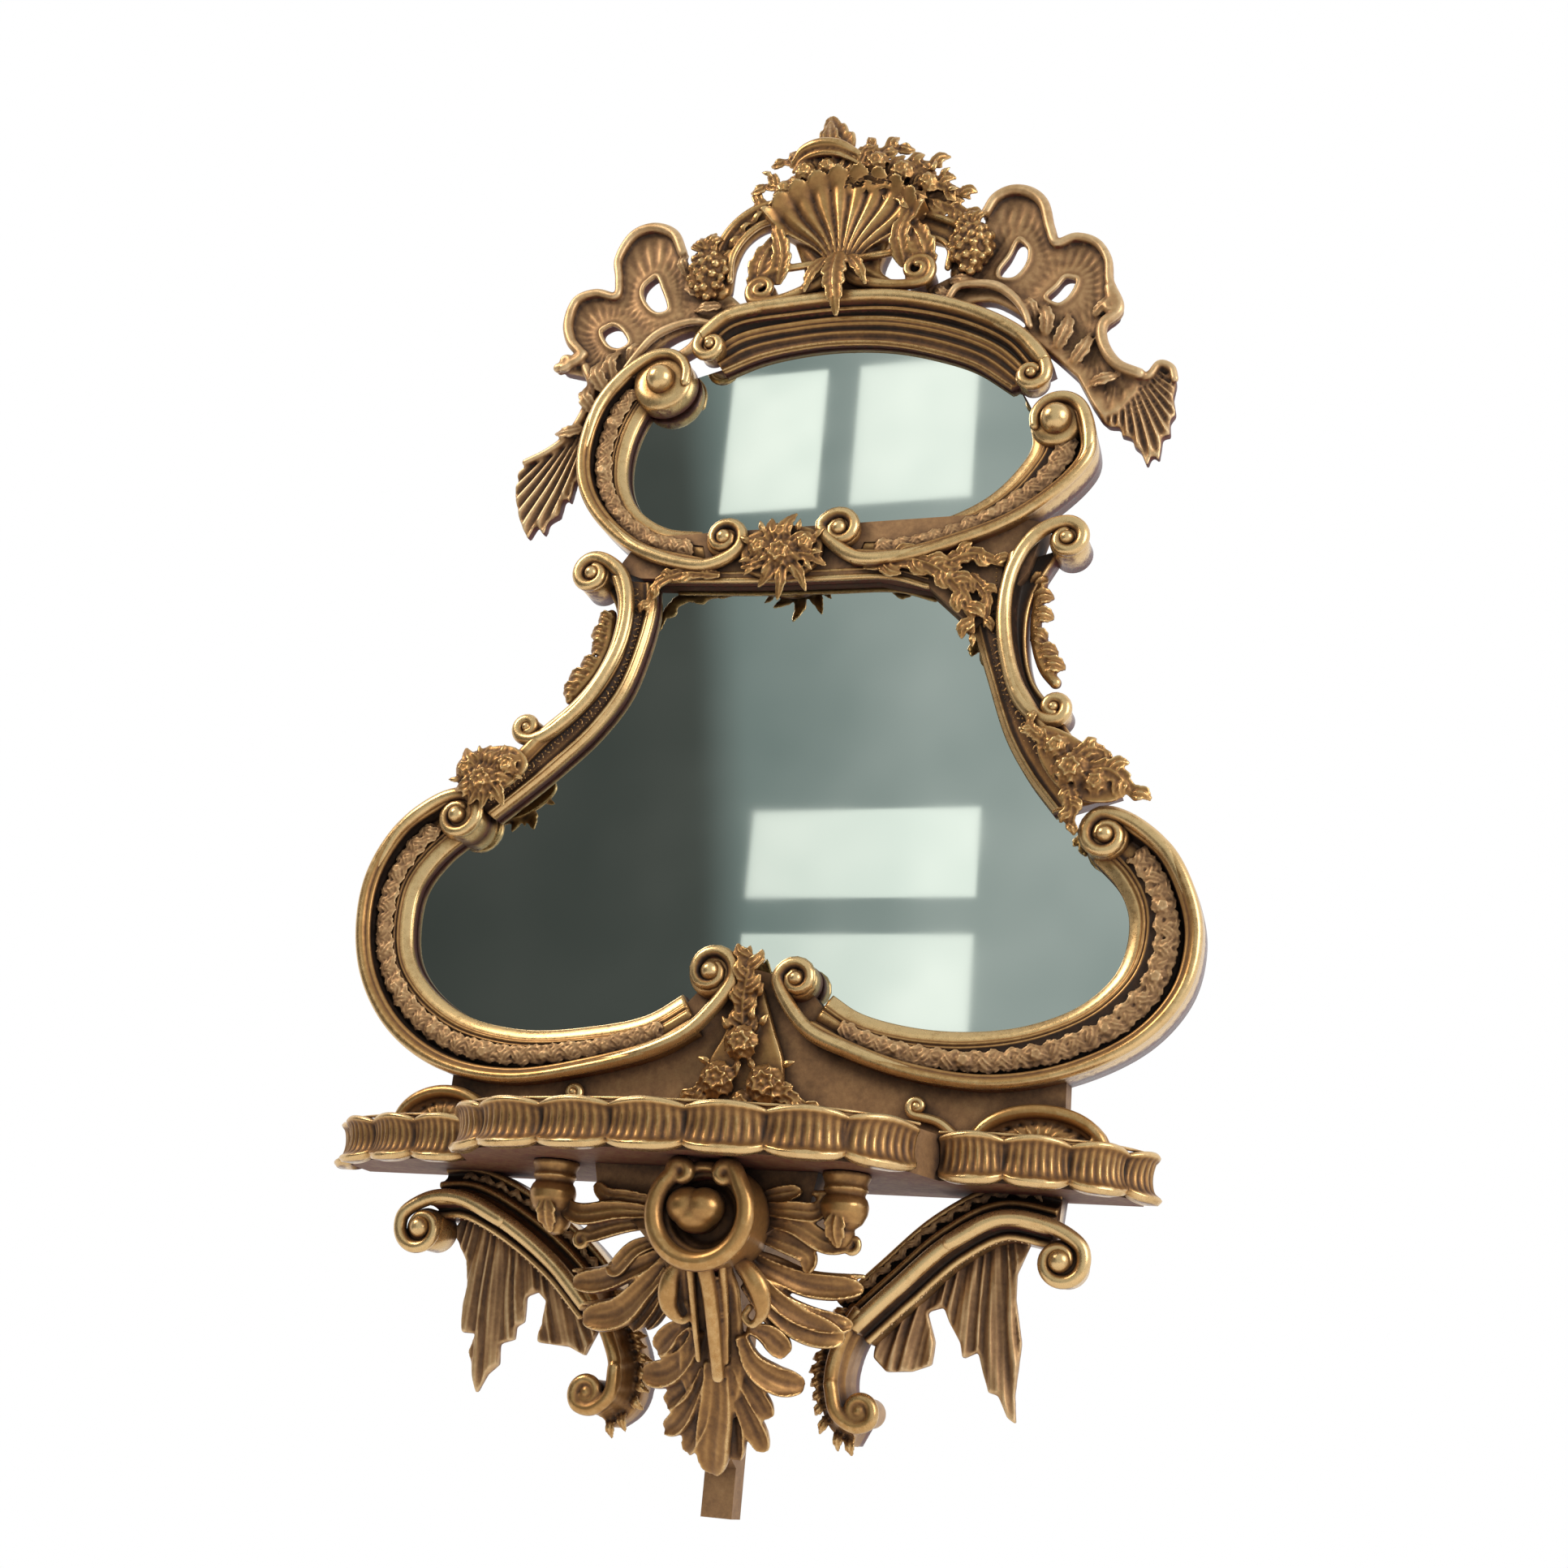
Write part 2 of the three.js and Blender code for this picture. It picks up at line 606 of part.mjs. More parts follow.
const garlandBack = COVE_FRONT + SEAT_GAP;
const garland = (grow = 0) => fuse(
  plate(
    [[-48, 414], [-34, 446], [-20, 506], [-8, 506], [18, 448], [30, 414], [26, 372], [-42, 372]],
    garlandBack, COVE_FRONT + 10, { grow },
  ),
  leaf([
    [-12, 436, COVE_FRONT + 8], [-14, 474, COVE_FRONT + 12], [-10, 510, COVE_FRONT + 18],
    [-14, 532, COVE_FRONT + 14],
  ],
    32, { steps: 6, lobes: 0.2, thick: 12, grow }),
  flower(-12, 436, COVE_FRONT + 16, 20, { grow }),
  flower(-34, 398, COVE_FRONT + 13, 20, { turn: 0.4, grow }),
  flower(16, 394, COVE_FRONT + 14, 21, { turn: 0.7, grow }),
  leaf(
    [[10, 384, COVE_FRONT + 8], [40, 384, COVE_FRONT + 12], [66, 362, COVE_FRONT + 6]], 22,
    { steps: 4, lobes: 0.2, grow },
  ),
  leaf(
    [[-30, 390, COVE_FRONT + 8], [-50, 388, COVE_FRONT + 12], [-66, 366, COVE_FRONT + 6]], 22,
    { steps: 4, lobes: 0.2, grow },
  ),
);

/** Small fluted leaves that spring from a stem outside the waist. */
const rocaille = (stem, tips) => (grow = 0) => {
  const depth = COVE_FRONT - 9;
  const blades = tips.map(([from, tip]) => leaf([
    [...from, depth], [(from[0] + tip[0]) / 2, (from[1] + tip[1]) / 2, depth + 4], [...tip, depth - 3],
  ],
    19, { steps: 3, thick: 7, belly: 0.7, tip: 0.3, grow }));
  return fuse(rod(route(stem, 7, depth), () => 6, { grow, sides: 4 }), ...blades);
};
const waistLeavesLeft = rocaille([[-222, 915], [-222, 880], [-234, 848], [-258, 816]], [
  [[-216, 904], [-238, 908]], [[-216, 888], [-244, 892]], [[-220, 872], [-241, 873]],
  [[-226, 850], [-252, 858]], [[-234, 838], [-264, 840]], [[-246, 824], [-268, 823]],
]);
const waistLeavesRight = rocaille([[258, 925], [254, 895], [254, 862], [264, 828], [276, 812]], [
  [[248, 918], [262, 928]], [[248, 902], [269, 906]], [[248, 884], [270, 884]],
  [[248, 864], [264, 858]], [[254, 844], [275, 844]], [[260, 830], [284, 828]],
]);

// ---------------------------------------------------------------- crest

const wingHolesLeft = [
  [[-217, 1348], [-231, 1337], [-233, 1324], [-222, 1303], [-208, 1293], [-195, 1297], [-205, 1328]],
  [[-266, 1287], [-279, 1280], [-267, 1256], [-251, 1250], [-239, 1258], [-253, 1281]],
  [[-212, 1240], [-198, 1254], [-180, 1264], [-160, 1267], [-166, 1252], [-190, 1238]],
];
const wingLineLeft = [
  [-325, 1231], [-297, 1243], [-313, 1266], [-320, 1292], [-312, 1322], [-289, 1329], [-262, 1322], [-262, 1345],
  [-266, 1372], [-250, 1404], [-226, 1411], [-199, 1399], [-184, 1370],
];
const wingRootLeft = [
  [-170, 1345], [-150, 1320], [-122, 1312], [-104, 1294], [-112, 1270], [-150, 1245], [-205, 1215],
  [-248, 1190], [-275, 1200], [-290, 1220],
];

const wingHolesRight = [
  [[215, 1341], [227, 1327], [226, 1306], [212, 1289], [195, 1292], [193, 1302], [204, 1320]],
  [[269, 1286], [282, 1281], [275, 1259], [262, 1250], [247, 1261], [258, 1274]],
  [[160, 1263], [184, 1266], [207, 1254], [224, 1238], [226, 1228], [198, 1241]],
];
const wingLineRight = [
  [176, 1376], [187, 1395], [204, 1402], [224, 1397], [240, 1381], [250, 1345], [258, 1326], [278, 1331],
  [300, 1322], [314, 1299], [317, 1270], [328, 1234], [312, 1218], [312, 1196], [328, 1167], [352, 1153],
];
const wingRootRight = [
  [366, 1140], [345, 1118], [318, 1110], [302, 1125], [285, 1160], [262, 1185], [225, 1222], [170, 1255],
  [122, 1268], [112, 1290], [138, 1302], [160, 1318],
];

const wing = (line, root, holes) => (grow = 0) => {
  const edge = route(line, line.length).map((point) => [point.x, point.z]);
  const body = plate([...edge, ...root], CREST_BACK, CREST_FRONT, { holes, grow });
  const rim = rod(route(line, line.length, CREST_FRONT + 1), () => CREST_RIM, { grow, sides: 4 });
  const last = holes.at(-1);
  const lip = rod(
    route(last.slice(0, 4).map(([x, z], i) => [x, z + 7 + i, CREST_FRONT + 2]), 4), () => 4.5,
    { grow, sides: 4 },
  );
  return fuse(body, rim, lip);
};

/** A fan of blades that spreads from a rolled stem. */
const leafDrop = (stem, fan) => (grow = 0) => {
  const stalk = rod(
    route(stem.map(([x, z]) => [x, z, CREST_FRONT - 8]), 4), (share) => 12 - 4 * share, { grow },
  );
  const blades = fan.map(([from, tip, width]) => leaf(
    [
      [...from, CREST_FRONT - 10], [(from[0] + tip[0]) / 2, (from[1] + tip[1]) / 2, CREST_FRONT - 4],
      [...tip, CREST_FRONT - 14],
    ],
    width, { steps: 3, thick: 8, tip: 0.2, belly: 0.6, grow }));
  return fuse(stalk, ...blades);
};
const leafDropLeft = leafDrop(
  [[-284, 1214], [-286, 1185], [-292, 1160], [-306, 1138], [-330, 1122]],
  [
    [[-296, 1150], [-288, 1088], 26], [[-306, 1136], [-302, 1048], 28], [[-318, 1126], [-322, 1020], 28],
    [[-334, 1120], [-340, 1014], 28], [[-346, 1112], [-358, 1048], 26],
  ]);
const leafDropRight = leafDrop(
  [[318, 1128], [340, 1140], [362, 1145], [378, 1164], [386, 1150]],
  [
    [[322, 1126], [322, 1104], 22], [[338, 1132], [342, 1080], 26], [[352, 1136], [360, 1050], 28],
    [[366, 1138], [373, 1056], 28], [[380, 1144], [386, 1080], 24],
  ]);

const wingLeft = (grow = 0) => fuse(
  wing(wingLineLeft, wingRootLeft, wingHolesLeft)(grow), leafDropLeft(grow),
);
const wingRight = (grow = 0) => fuse(
  wing(wingLineRight, wingRootRight, wingHolesRight)(grow), leafDropRight(grow),
);

/** A ribbed fan with a scalloped edge, as rings of places from its root outward. */
function fan({ x, z, root, reach, spread, ribs, back, rise, ridge, grow = 0 }) {
  const count = 2 * ribs + 1;
  const ring = (share) => {
    const radius = root + (reach - root) * share + (share === 1 ? grow : share === 0 ? -grow : 0);
    const place = (i, d, scallop) => {
      const lean = (i / (count - 1) - 0.5) * (spread + (2 * grow) / radius);
      const length = radius * (1 - 0.12 * lean * lean) * scallop;
      return at(x + length * Math.sin(lean), z + length * Math.cos(lean), d);
    };
    const front = Array.from({ length: count }, (_, i) => {
      const crest = i % 2 === 1;
      return place(i, back + 8 + rise * share + (crest ? ridge : 0) + grow, crest ? 1 : 1 - 0.07 * share);
    });
    const rear = [1, 0.75, 0.5, 0.25, 0].map(
      (part) => place(part * (count - 1), back - grow + 2 * Math.sin(Math.PI * part), 0.97),
    );
    return [...front, ...rear];
  };
  return loft([ring(0), ring(0.55), ring(1)]);
}

const SHELL = {
  x: 13, z: 1306, root: 16, reach: 134, spread: 1.75, ribs: 7, back: CREST_FRONT - 4, rise: 16, ridge: 8,
};
const shell = (grow = 0) => {
  const foot = (hand, [x, z], outer) => {
    const curl = curlPlaces({
      centre: [x, z], from: [x, z - outer], turns: 0.9, hand, tighten: 0.4, depth: CREST_FRONT + 12,
    });
    return [
      rod(route(
        [
          [SHELL.x + hand * 18, SHELL.z - 6, CREST_FRONT + 8],
          [x - hand * 22, z - outer + 1, CREST_FRONT + 12], ...curl,
        ],
        8,
      ),
        (share) => 8 - 2 * share, { grow }),
      disc(x, z, outer - 2, CREST_BACK, CREST_FRONT + 8, { grow }),
      ball(x, z, CREST_FRONT + 14, 6, { grow }),
    ];
  };
  return fuse(
    plate(smoothLoop(
      [
        [-62, 1415], [-40, 1350], [-30, 1312], [-60, 1290], [20, 1282], [85, 1292], [60, 1316],
        [68, 1352], [90, 1405], [50, 1430], [-20, 1432],
      ],
      1,
    ),
      CREST_BACK, CREST_FRONT + 6, { grow }),
    fan({ ...SHELL, grow }),
    ...foot(-1, [-76, 1299], 17),
    ...foot(1, [106, 1304], 18),
    leaf(
      [[-88, 1298, CREST_FRONT + 4], [-76, 1336, CREST_FRONT + 12], [-46, 1376, CREST_FRONT + 6]], 34,
      { steps: 4, lobes: 0.2, grow },
    ),
    leaf(
      [[116, 1304, CREST_FRONT + 4], [104, 1340, CREST_FRONT + 12], [76, 1380, CREST_FRONT + 6]], 34,
      { steps: 4, lobes: 0.2, grow },
    ),
    leaf([
      [13, 1330, CREST_FRONT + 14], [16, 1290, BEAD_FRONT + 6], [18, 1266, BEAD_FRONT + 9],
      [20, 1247, BEAD_FRONT + 2],
    ],
      34, { steps: 6, lobes: 0.25, thick: 9, grow }),
  );
};

const finial = (grow = 0) => fuse(
  leaf([
    [-4, 1427, CREST_FRONT + 10], [0, 1478, CREST_FRONT + 16], [-8, 1506, CREST_FRONT + 12],
    [-15, 1530, CREST_FRONT + 6],
  ],
    62, { steps: 8, lobes: 0.22, thick: 12, belly: 0.35, tip: 0.04, grow }),
  rod(
    route(
      [
        [-48, 1468, CREST_FRONT + 24], [-20, 1476, CREST_FRONT + 28], [8, 1472, CREST_FRONT + 28],
        [30, 1461, CREST_FRONT + 22],
      ],
      7,
    ),
    () => 7, { grow },
  ),
  leaf(
    [[-12, 1452, CREST_FRONT + 12], [-44, 1462, CREST_FRONT + 16], [-72, 1478, CREST_FRONT + 8]], 26,
    { steps: 5, lobes: 0.3, grow },
  ),
  leaf(
    [[0, 1440, CREST_FRONT + 14], [-44, 1432, CREST_FRONT + 18], [-99, 1446, CREST_FRONT + 8]], 26,
    { steps: 6, lobes: 0.25, grow },
  ),
  flower(-34, 1446, CREST_FRONT + 22, 15, { grow }),
);

const spray = (grow = 0) => fuse(
  leaf(
    [[40, 1440, CREST_FRONT + 12], [62, 1462, CREST_FRONT + 18], [78, 1474, CREST_FRONT + 10]], 36,
    { steps: 5, lobes: 0.25, grow },
  ),
  leaf(
    [[50, 1425, CREST_FRONT + 12], [95, 1440, CREST_FRONT + 18], [124, 1440, CREST_FRONT + 8]], 36,
    { steps: 5, lobes: 0.25, grow },
  ),
  leaf(
    [[70, 1408, CREST_FRONT + 10], [115, 1412, CREST_FRONT + 16], [158, 1393, CREST_FRONT + 6]], 30,
    { steps: 6, lobes: 0.25, grow },
  ),
  flower(52, 1444, CREST_FRONT + 24, 16, { grow }),
  flower(82, 1430, CREST_FRONT + 22, 17, { turn: 0.5, grow }),
  flower(112, 1414, CREST_FRONT + 20, 14, { turn: 0.9, grow }),
);

const crestArmLeft = (grow = 0) => fuse(
  rod(
    route(
      [
        [-132, 1316], [-130, 1352], [-118, 1384], [-94, 1404], [-62, 1410],
      ].map(([x, z]) => [x, z, CREST_FRONT - 6]),
      7,
    ),
    (share) => 15 + 3 * share, { grow },
  ),
  rod(
    route(
      [
        [-136, 1330], [-136, 1360], [-120, 1394], [-92, 1414], [-58, 1416],
      ].map(([x, z]) => [x, z, CREST_FRONT + 8]),
      7,
    ),
    () => 5, { grow, sides: 4 },
  ),
);
const armRightEnd = [SHELL.x + SHELL.reach / 2, SHELL.z + 76]; // under the edge of the shell
const crestArmRight = (grow = 0) => fuse(
  rod(
    route(
      [
        [148, 1306], [150, 1330], [140, 1350], [112, 1364], armRightEnd,
      ].map(([x, z]) => [x, z, CREST_FRONT - 6]),
      7,
    ),
    (share) => 12 + 5 * share, { grow },
  ),
  leaf(
    [[78, 1400, CREST_FRONT], [120, 1392, CREST_FRONT + 8], [166, 1366, CREST_FRONT]], 46,
    { steps: 5, lobes: 0.25, grow },
  ),
);

/** A bunch of grapes: rows of berries that narrow downward. */
const grapes = (x, z, rows, berry) => (grow = 0) => {
  const berries = rows.flatMap((count, row) => Array.from({ length: count }, (_, i) => {
    const aside = i - (count - 1) / 2;
    const depth = CREST_FRONT + 14 - Math.abs(aside) * 3;
    return ball(x + aside * berry * 1.55, z - row * berry * 1.4, depth, berry, { grow });
  }));
  const height = rows.length * berry * 1.4;
  const body = ball(
    x, z - height * 0.36, CREST_FRONT + 6, berry * 2.2, { stretch: [0.9, 0.8, 1.25], grow },
  );
  return fuse(body, ...berries);
};
const grapesLeft = grapes(-146, 1352, [2, 3, 2], 11);
const grapesRight = grapes(164, 1343, [2, 3, 1], 11);

// ---------------------------------------------------------------- shelf

const shelfBack = SHELF_TOP - SHELF_HEIGHT;
const SHELF_STEP = { x: 230, front: 156, side: 118 }; // where the bowed middle steps back to the ends

/** Front line of the shelf's edging: places [x from its centre, d]. */
const middleEdge = [
  [-1, SHELF_STEP.front], [-0.78, SHELF_BOW - 30], [-0.5, SHELF_BOW - 12], [0, SHELF_BOW],
  [0.5, SHELF_BOW - 12], [0.78, SHELF_BOW - 30], [1, SHELF_STEP.front],
]
  .map(([share, d]) => [share * SHELF_STEP.x, d]);
const endEdge = (side) => {
  const reach = SHELF_HALF_WIDTH - SHELF_STEP.x;
  return [
    [0.02, SHELF_STEP.side], [0.3, SHELF_STEP.side + 2], [0.6, SHELF_STEP.side - 14],
    [0.86, SHELF_STEP.side - 42], [1, SHELF_STEP.side - 84], [0.99, 8],
  ]
    .map(([share, d]) => [side * (SHELF_STEP.x + share * reach), d]);
};

/** Points along an edge line, each with its outward direction, d taken as y. */
function edgeStations(line, steps) {
  const curve = new THREE.CatmullRomCurve3(
    line.map(([x, d]) => new THREE.Vector3(SHELF_X + x, -d, 0)), false, 'centripetal',
  );
  const points = curve.getSpacedPoints(steps);
  return points.map((point, i) => {
    const along = points[Math.min(i + 1, steps)].clone().sub(points[Math.max(i - 1, 0)]).normalize();
    const out = new THREE.Vector3(along.y, -along.x, 0);
    if (out.dot(new THREE.Vector3(point.x - SHELF_X, point.y * 3, 0)) < 0) out.negate();
    return { point, out };
  });
}

const shelfEdge = (line, scallops, perScallop = 3) => (grow = 0) => {
  const steps = scallops * perScallop;
  const top = SHELF_TOP;
  const rings = edgeStations(line, steps).map(({ point, out }, i) => {
    const wave = SHELF_WAVE * Math.abs(Math.sin((Math.PI * i) / perScallop));
    const section = [
      [-SHELF_EDGE, shelfBack], [wave - 4, shelfBack], [wave - 1, shelfBack + 8], [wave - 6, top - 12],
      [wave - 3, top], [-SHELF_EDGE, top],
    ].map(([a, z]) => new THREE.Vector2(a, z));
    return offsetLoop(section, grow).map((p) => point.clone().addScaledVector(out, p.x).setZ(p.y));
  });
  return loft(rings);
};
const shelfEdgeMiddle = shelfEdge(middleEdge, 7);
const shelfEdgeLeft = shelfEdge(endEdge(-1), 4);
const shelfEdgeRight = shelfEdge(endEdge(1), 4);

const shelfBoard = (grow = 0) => {
  const inset = SHELF_EDGE + SEAT_GAP;
  const side = (line, steps) => edgeStations(line, steps).map(
    ({ point, out }) => point.clone().addScaledVector(out, -inset),
  );
  const left = side(endEdge(-1).toReversed(), 6);
  const right = side(endEdge(1), 6);
  const outline = [...left, ...side(middleEdge, 10), ...right].map(
    (point) => new THREE.Vector2(point.x, point.y),
  );
  outline.push(new THREE.Vector2(right.at(-1).x, 0), new THREE.Vector2(left[0].x, 0));
  const shape = new THREE.Shape(offsetLoop(outline, grow));
  const height = SHELF_HEIGHT - 2 * SHELF_BOARD_DROP + 2 * grow;
  const geometry = new THREE.ExtrudeGeometry(shape, { depth: height, bevelEnabled: false });
  geometry.translate(0, 0, shelfBack + SHELF_BOARD_DROP - grow);
  return solidOf(geometry);
};
const boardTop = SHELF_TOP - SHELF_BOARD_DROP + SEAT_GAP;
const boardUnder = shelfBack + SHELF_BOARD_DROP - SEAT_GAP;

/** Half-moon ornament that stands on the shelf against the frame. */
const ear = (x, half, height) => (grow = 0) => {
  const arc = Array.from(
    { length: 11 },
    (_, i) => [x - half * Math.cos((Math.PI * i) / 10), boardTop + height * Math.sin((Math.PI * i) / 10)],
  );
  const rim = arc.slice(1, -1).map(([px, pz]) => [px, pz - 5, EAR_FRONT - 7]);
  return fuse(
    plate(arc, COVE_FRONT + SEAT_GAP, EAR_FRONT - 8, { grow }), rod(route(rim, 8), () => 6.5, { grow }),
  );
};
const earLeft = ear(SHELF_X - SHELF_HALF_WIDTH + 113, 58, 44);
const earRight = ear(SHELF_X + SHELF_HALF_WIDTH - 107, 67, 42);

// ---------------------------------------------------------------- bracket

/** A cylinder standing on end, from height `low` to `high`. */
function post(x, d, radius, low, high, { sides = 12, grow = 0 } = {}) {
  const geometry = new THREE.CylinderGeometry(radius + grow, radius + grow, high - low + 2 * grow, sides);
  geometry.rotateX(Math.PI / 2);
  geometry.translate(x, -d, (low + high) / 2);
  return solidOf(geometry);
}

/** A piece cut to an outline of [d, z] places, from x `left` to `right`. */
function sidePlate(outline, left, right, grow = 0) {
  const loop = offsetLoop(outline.map(([d, z]) => new THREE.Vector2(d, z)), grow);
  const geometry = new THREE.ExtrudeGeometry(
    new THREE.Shape(loop), { depth: right - left, bevelEnabled: false },
  );
  const sideways = new THREE.Matrix4().makeBasis(at(0, 0, 1), at(0, 1, 0), at(1, 0, 0));
  geometry.applyMatrix4(sideways);
  geometry.translate(left, 0, 0);
  return solidOf(geometry);
}

/** A moulding along a line on the face; its section is given as [mm above the line, depth]. */
function moulding(line, section, side, steps, grow = 0) {
  const points = route(line, steps);
  const loop = offsetLoop(section.map(([above, d]) => new THREE.Vector2(above, d)), grow);
  return loft(points.map((point, i) => {
    const { along } = frameAt(points, i);
    const above = new THREE.Vector3(-along.z, 0, along.x).multiplyScalar(side);
    const end = i === 0 ? -grow : i === steps ? grow : 0;
    return loop.map(
      (p) => point.clone().addScaledVector(above, p.x).add(at(0, 0, p.y)).addScaledVector(along, end),
    );
  }));
}

/** Front of the backbone at a height: [d, z]. */
const BACKBONE_PROFILE = [
  [0, 0], [TONGUE_FRONT, 0], [TONGUE_FRONT, 44], [36, 50], [58, 72], [88, 112], [114, 165], [142, 205], [146, 240],
  [128, 262], [128, boardUnder], [0, boardUnder],
];
const backbone = (grow = 0) => {
  const half = BACKBONE_HALF_WIDTH;
  const front = plate([
    [-114, boardUnder], [-106, 266], [-60, 244], [-30, 214], [-half, 186], [-half, 0],
    [half, 0], [half, 186], [36, 214], [68, 244], [98, 266], [104, boardUnder],
  ], 0, 200, { grow });
  return front.intersect(sidePlate(BACKBONE_PROFILE, -200, 200, grow));
};

const BOSS_RING = { x: 19, z: 252, radius: 43, back: 124, floor: 168, front: 192, opening: 0.55 };
const bossRing = (grow = 0) => {
  const { x, z, radius, back, floor, front, opening } = BOSS_RING;
  const arc = Array.from({ length: 17 }, (_, i) => {
    const angle = Math.PI / 2 + opening + ((2 * Math.PI - 2 * opening) * i) / 16;
    return [x + radius * Math.cos(angle), z + radius * Math.sin(angle), front];
  });
  const curl = (hand) => {
    const cx = x + hand * 20;
    return curlPlaces({
      centre: [cx, z + 33], from: [cx + hand * 9, z + 35], turns: 0.6, hand, tighten: 0.6, depth: front,
    });
  };
  const rim = rod(
    route([...curl(-1).toReversed(), ...arc, ...curl(1)], 20),
    (share) => 9 - 4 * Math.abs(2 * share - 1) ** 4, { grow },
  );
  const drum = disc(x, z, radius + 3, back, front, { grow, sides: 16 });
  const dish = disc(x, z, radius - 9 - grow, floor + grow, front + 20, { sides: 16 });
  return fuse(drum, rim).subtract(dish);
};
const cabochon = (grow = 0) => {
  const { x, z, floor, front } = BOSS_RING;
  return fuse(
    ball(x - 8, z + 4, front - 6, 20, { stretch: [1.3, 0.85, 1], grow, fine: 1 }),
    disc(x - 8, z + 4, 15, floor - 6, front - 6, { grow }),
  );
};

const acanthus = (grow = 0) => {
  const spine = [[12, 214, 162], [6, 170, 128], [2, 118, 102], [2, 78, 72], [8, 40, 42]];
  const lobe = (from, to, width) => leaf([
    from, [(from[0] + to[0]) / 2, (from[1] + to[1]) / 2 + 6, (from[2] + to[2]) / 2 + 8], to,
  ],
    width, { steps: 4, lobes: 0.25, thick: 9, tip: 0.12, grow });
  return fuse(
    leaf(spine, 76, { steps: 8, lobes: 0.14, thick: 10, belly: 0.55, tip: 0.1, grow }),
    rod(route([[18, 206, 172], [12, 170, 144], [10, 120, 118]], 6), (share) => 7 - 3 * share, { grow }),
    lobe([4, 196, 146], [-44, 180, 122], 34),
    lobe([0, 160, 122], [-61, 119, 84], 38),
    lobe([0, 112, 94], [-34, 72, 58], 30),
    lobe([12, 196, 146], [58, 182, 124], 34),
    lobe([6, 160, 122], [92, 120, 84], 40),
    lobe([6, 112, 94], [64, 66, 58], 34),
  );
};

const sideLeaf = (side) => (grow = 0) => {
  const x = (value) => BOSS_RING.x - 12 + side * value;
  return fuse(
    leaf(
      [[x(36), 214, 128], [x(70), 200, 118], [x(104), 182, 96], [x(136), 170, 78]], 46,
      { steps: 7, lobes: 0.2, thick: 11, tip: 0.3, belly: 0.6, grow },
    ),
    leaf(
      [[x(40), 206, 120], [x(66), 182, 108], [x(98), 160, 88]], 34,
      { steps: 5, lobes: 0.2, thick: 8, grow },
    ),
  );
};
const upperLeaf = (side) => (grow = 0) => {
  const x = (value) => BOSS_RING.x - 12 + side * value;
  return fuse(
    leaf(
      [[x(46), 268, 126], [x(90), 268, 134], [x(136), 250, 126]], 34,
      { steps: 6, lobes: 0.2, thick: 10, grow },
    ),
    leaf(
      [[x(46), 248, 130], [x(88), 240, 134], [x(132), 222, 118]], 34,
      { steps: 6, lobes: 0.2, thick: 10, grow },
    ),
  );
};

const corbel = (x, side) => (grow = 0) => fuse(
  post(x, 128, 19, 276, boardUnder, { grow }),
  ball(x, 268, 128, 22, { stretch: [1, 1, 0.85], grow }),
  ball(x + side * 4, 246, 122, 14, { grow }),
);
const corbelLeft = corbel(-153, 1);
const corbelRight = corbel(131, -1);

// x of the arms' curls
const armTip = { left: SHELF_X - SHELF_HALF_WIDTH + 121, right: SHELF_X + SHELF_HALF_WIDTH - 77 };
const ARM_SECTION = [[-17, ARM_BACK], [-17, 52], [-8, 54], [0, 66], [14, 50], [34, 36], [34, ARM_BACK]];
const bracketArm = (line, side, curl) => (grow = 0) => {
  const beadLine = [...line.map(([x, z]) => [x, z, 68]), ...curlPlaces({ ...curl, depth: 68 })];
  const [cx, cz] = curl.centre;
  return fuse(
    moulding(line, ARM_SECTION, side, 6, grow),
    rod(route(beadLine, 11), () => ARM_BEAD / 2, { grow }),
    disc(cx, cz, 20, ARM_BACK + 14, 66, { grow, sides: 10 }),
    ball(cx, cz, 68, 11, { grow }),
  );
};
const bracketArmLeft = bracketArm([
  [-134, 176], [-174, 213], [-232, 250], [armTip.left + 39, 269], [armTip.left + 7, 268],
], -1,
  { centre: [armTip.left, 239], from: [armTip.left - 12, 261], turns: 0.8, hand: 1, tighten: 0.5 });
const bracketArmRight = bracketArm([
  [128, 172], [166, 209], [212, 251], [armTip.right - 55, 275], [armTip.right - 9, 270],
], 1,
  { centre: [armTip.right, 240], from: [armTip.right + 9, 262], turns: 0.8, hand: -1, tighten: 0.5 });

const footSection = [[-11, ARM_BACK], [-11, 60], [0, 68], [18, 40], [18, ARM_BACK]];
const bracketFoot = (line, side, curl) => (grow = 0) => {
  const beadLine = [...line.map(([x, z]) => [x, z, 68]), ...curlPlaces({ ...curl, depth: 68 })];
  return fuse(
    moulding(line, footSection, side, 5, grow),
    rod(route(beadLine, 10), () => ARM_BEAD / 2 - 0.5, { grow, sides: 4 }),
    ball(...curl.centre, 62, 9, { grow }),
  );
};
const bracketFootLeft = bracketFoot([
  [-134, 190], [-118, 166], [-106, 146], [-97, 122], [-99, 98], [-116, 84],
], 1,
  { centre: [-122, 98], from: [-124, 83], turns: 0.8, hand: -1, tighten: 0.6 });
const bracketFootRight = bracketFoot([
  [134, 188], [122, 168], [114, 146], [112, 122], [120, 98], [138, 88],
], -1,
  { centre: [140, 101], from: [145, 88], turns: 0.8, hand: 1, tighten: 0.6 });

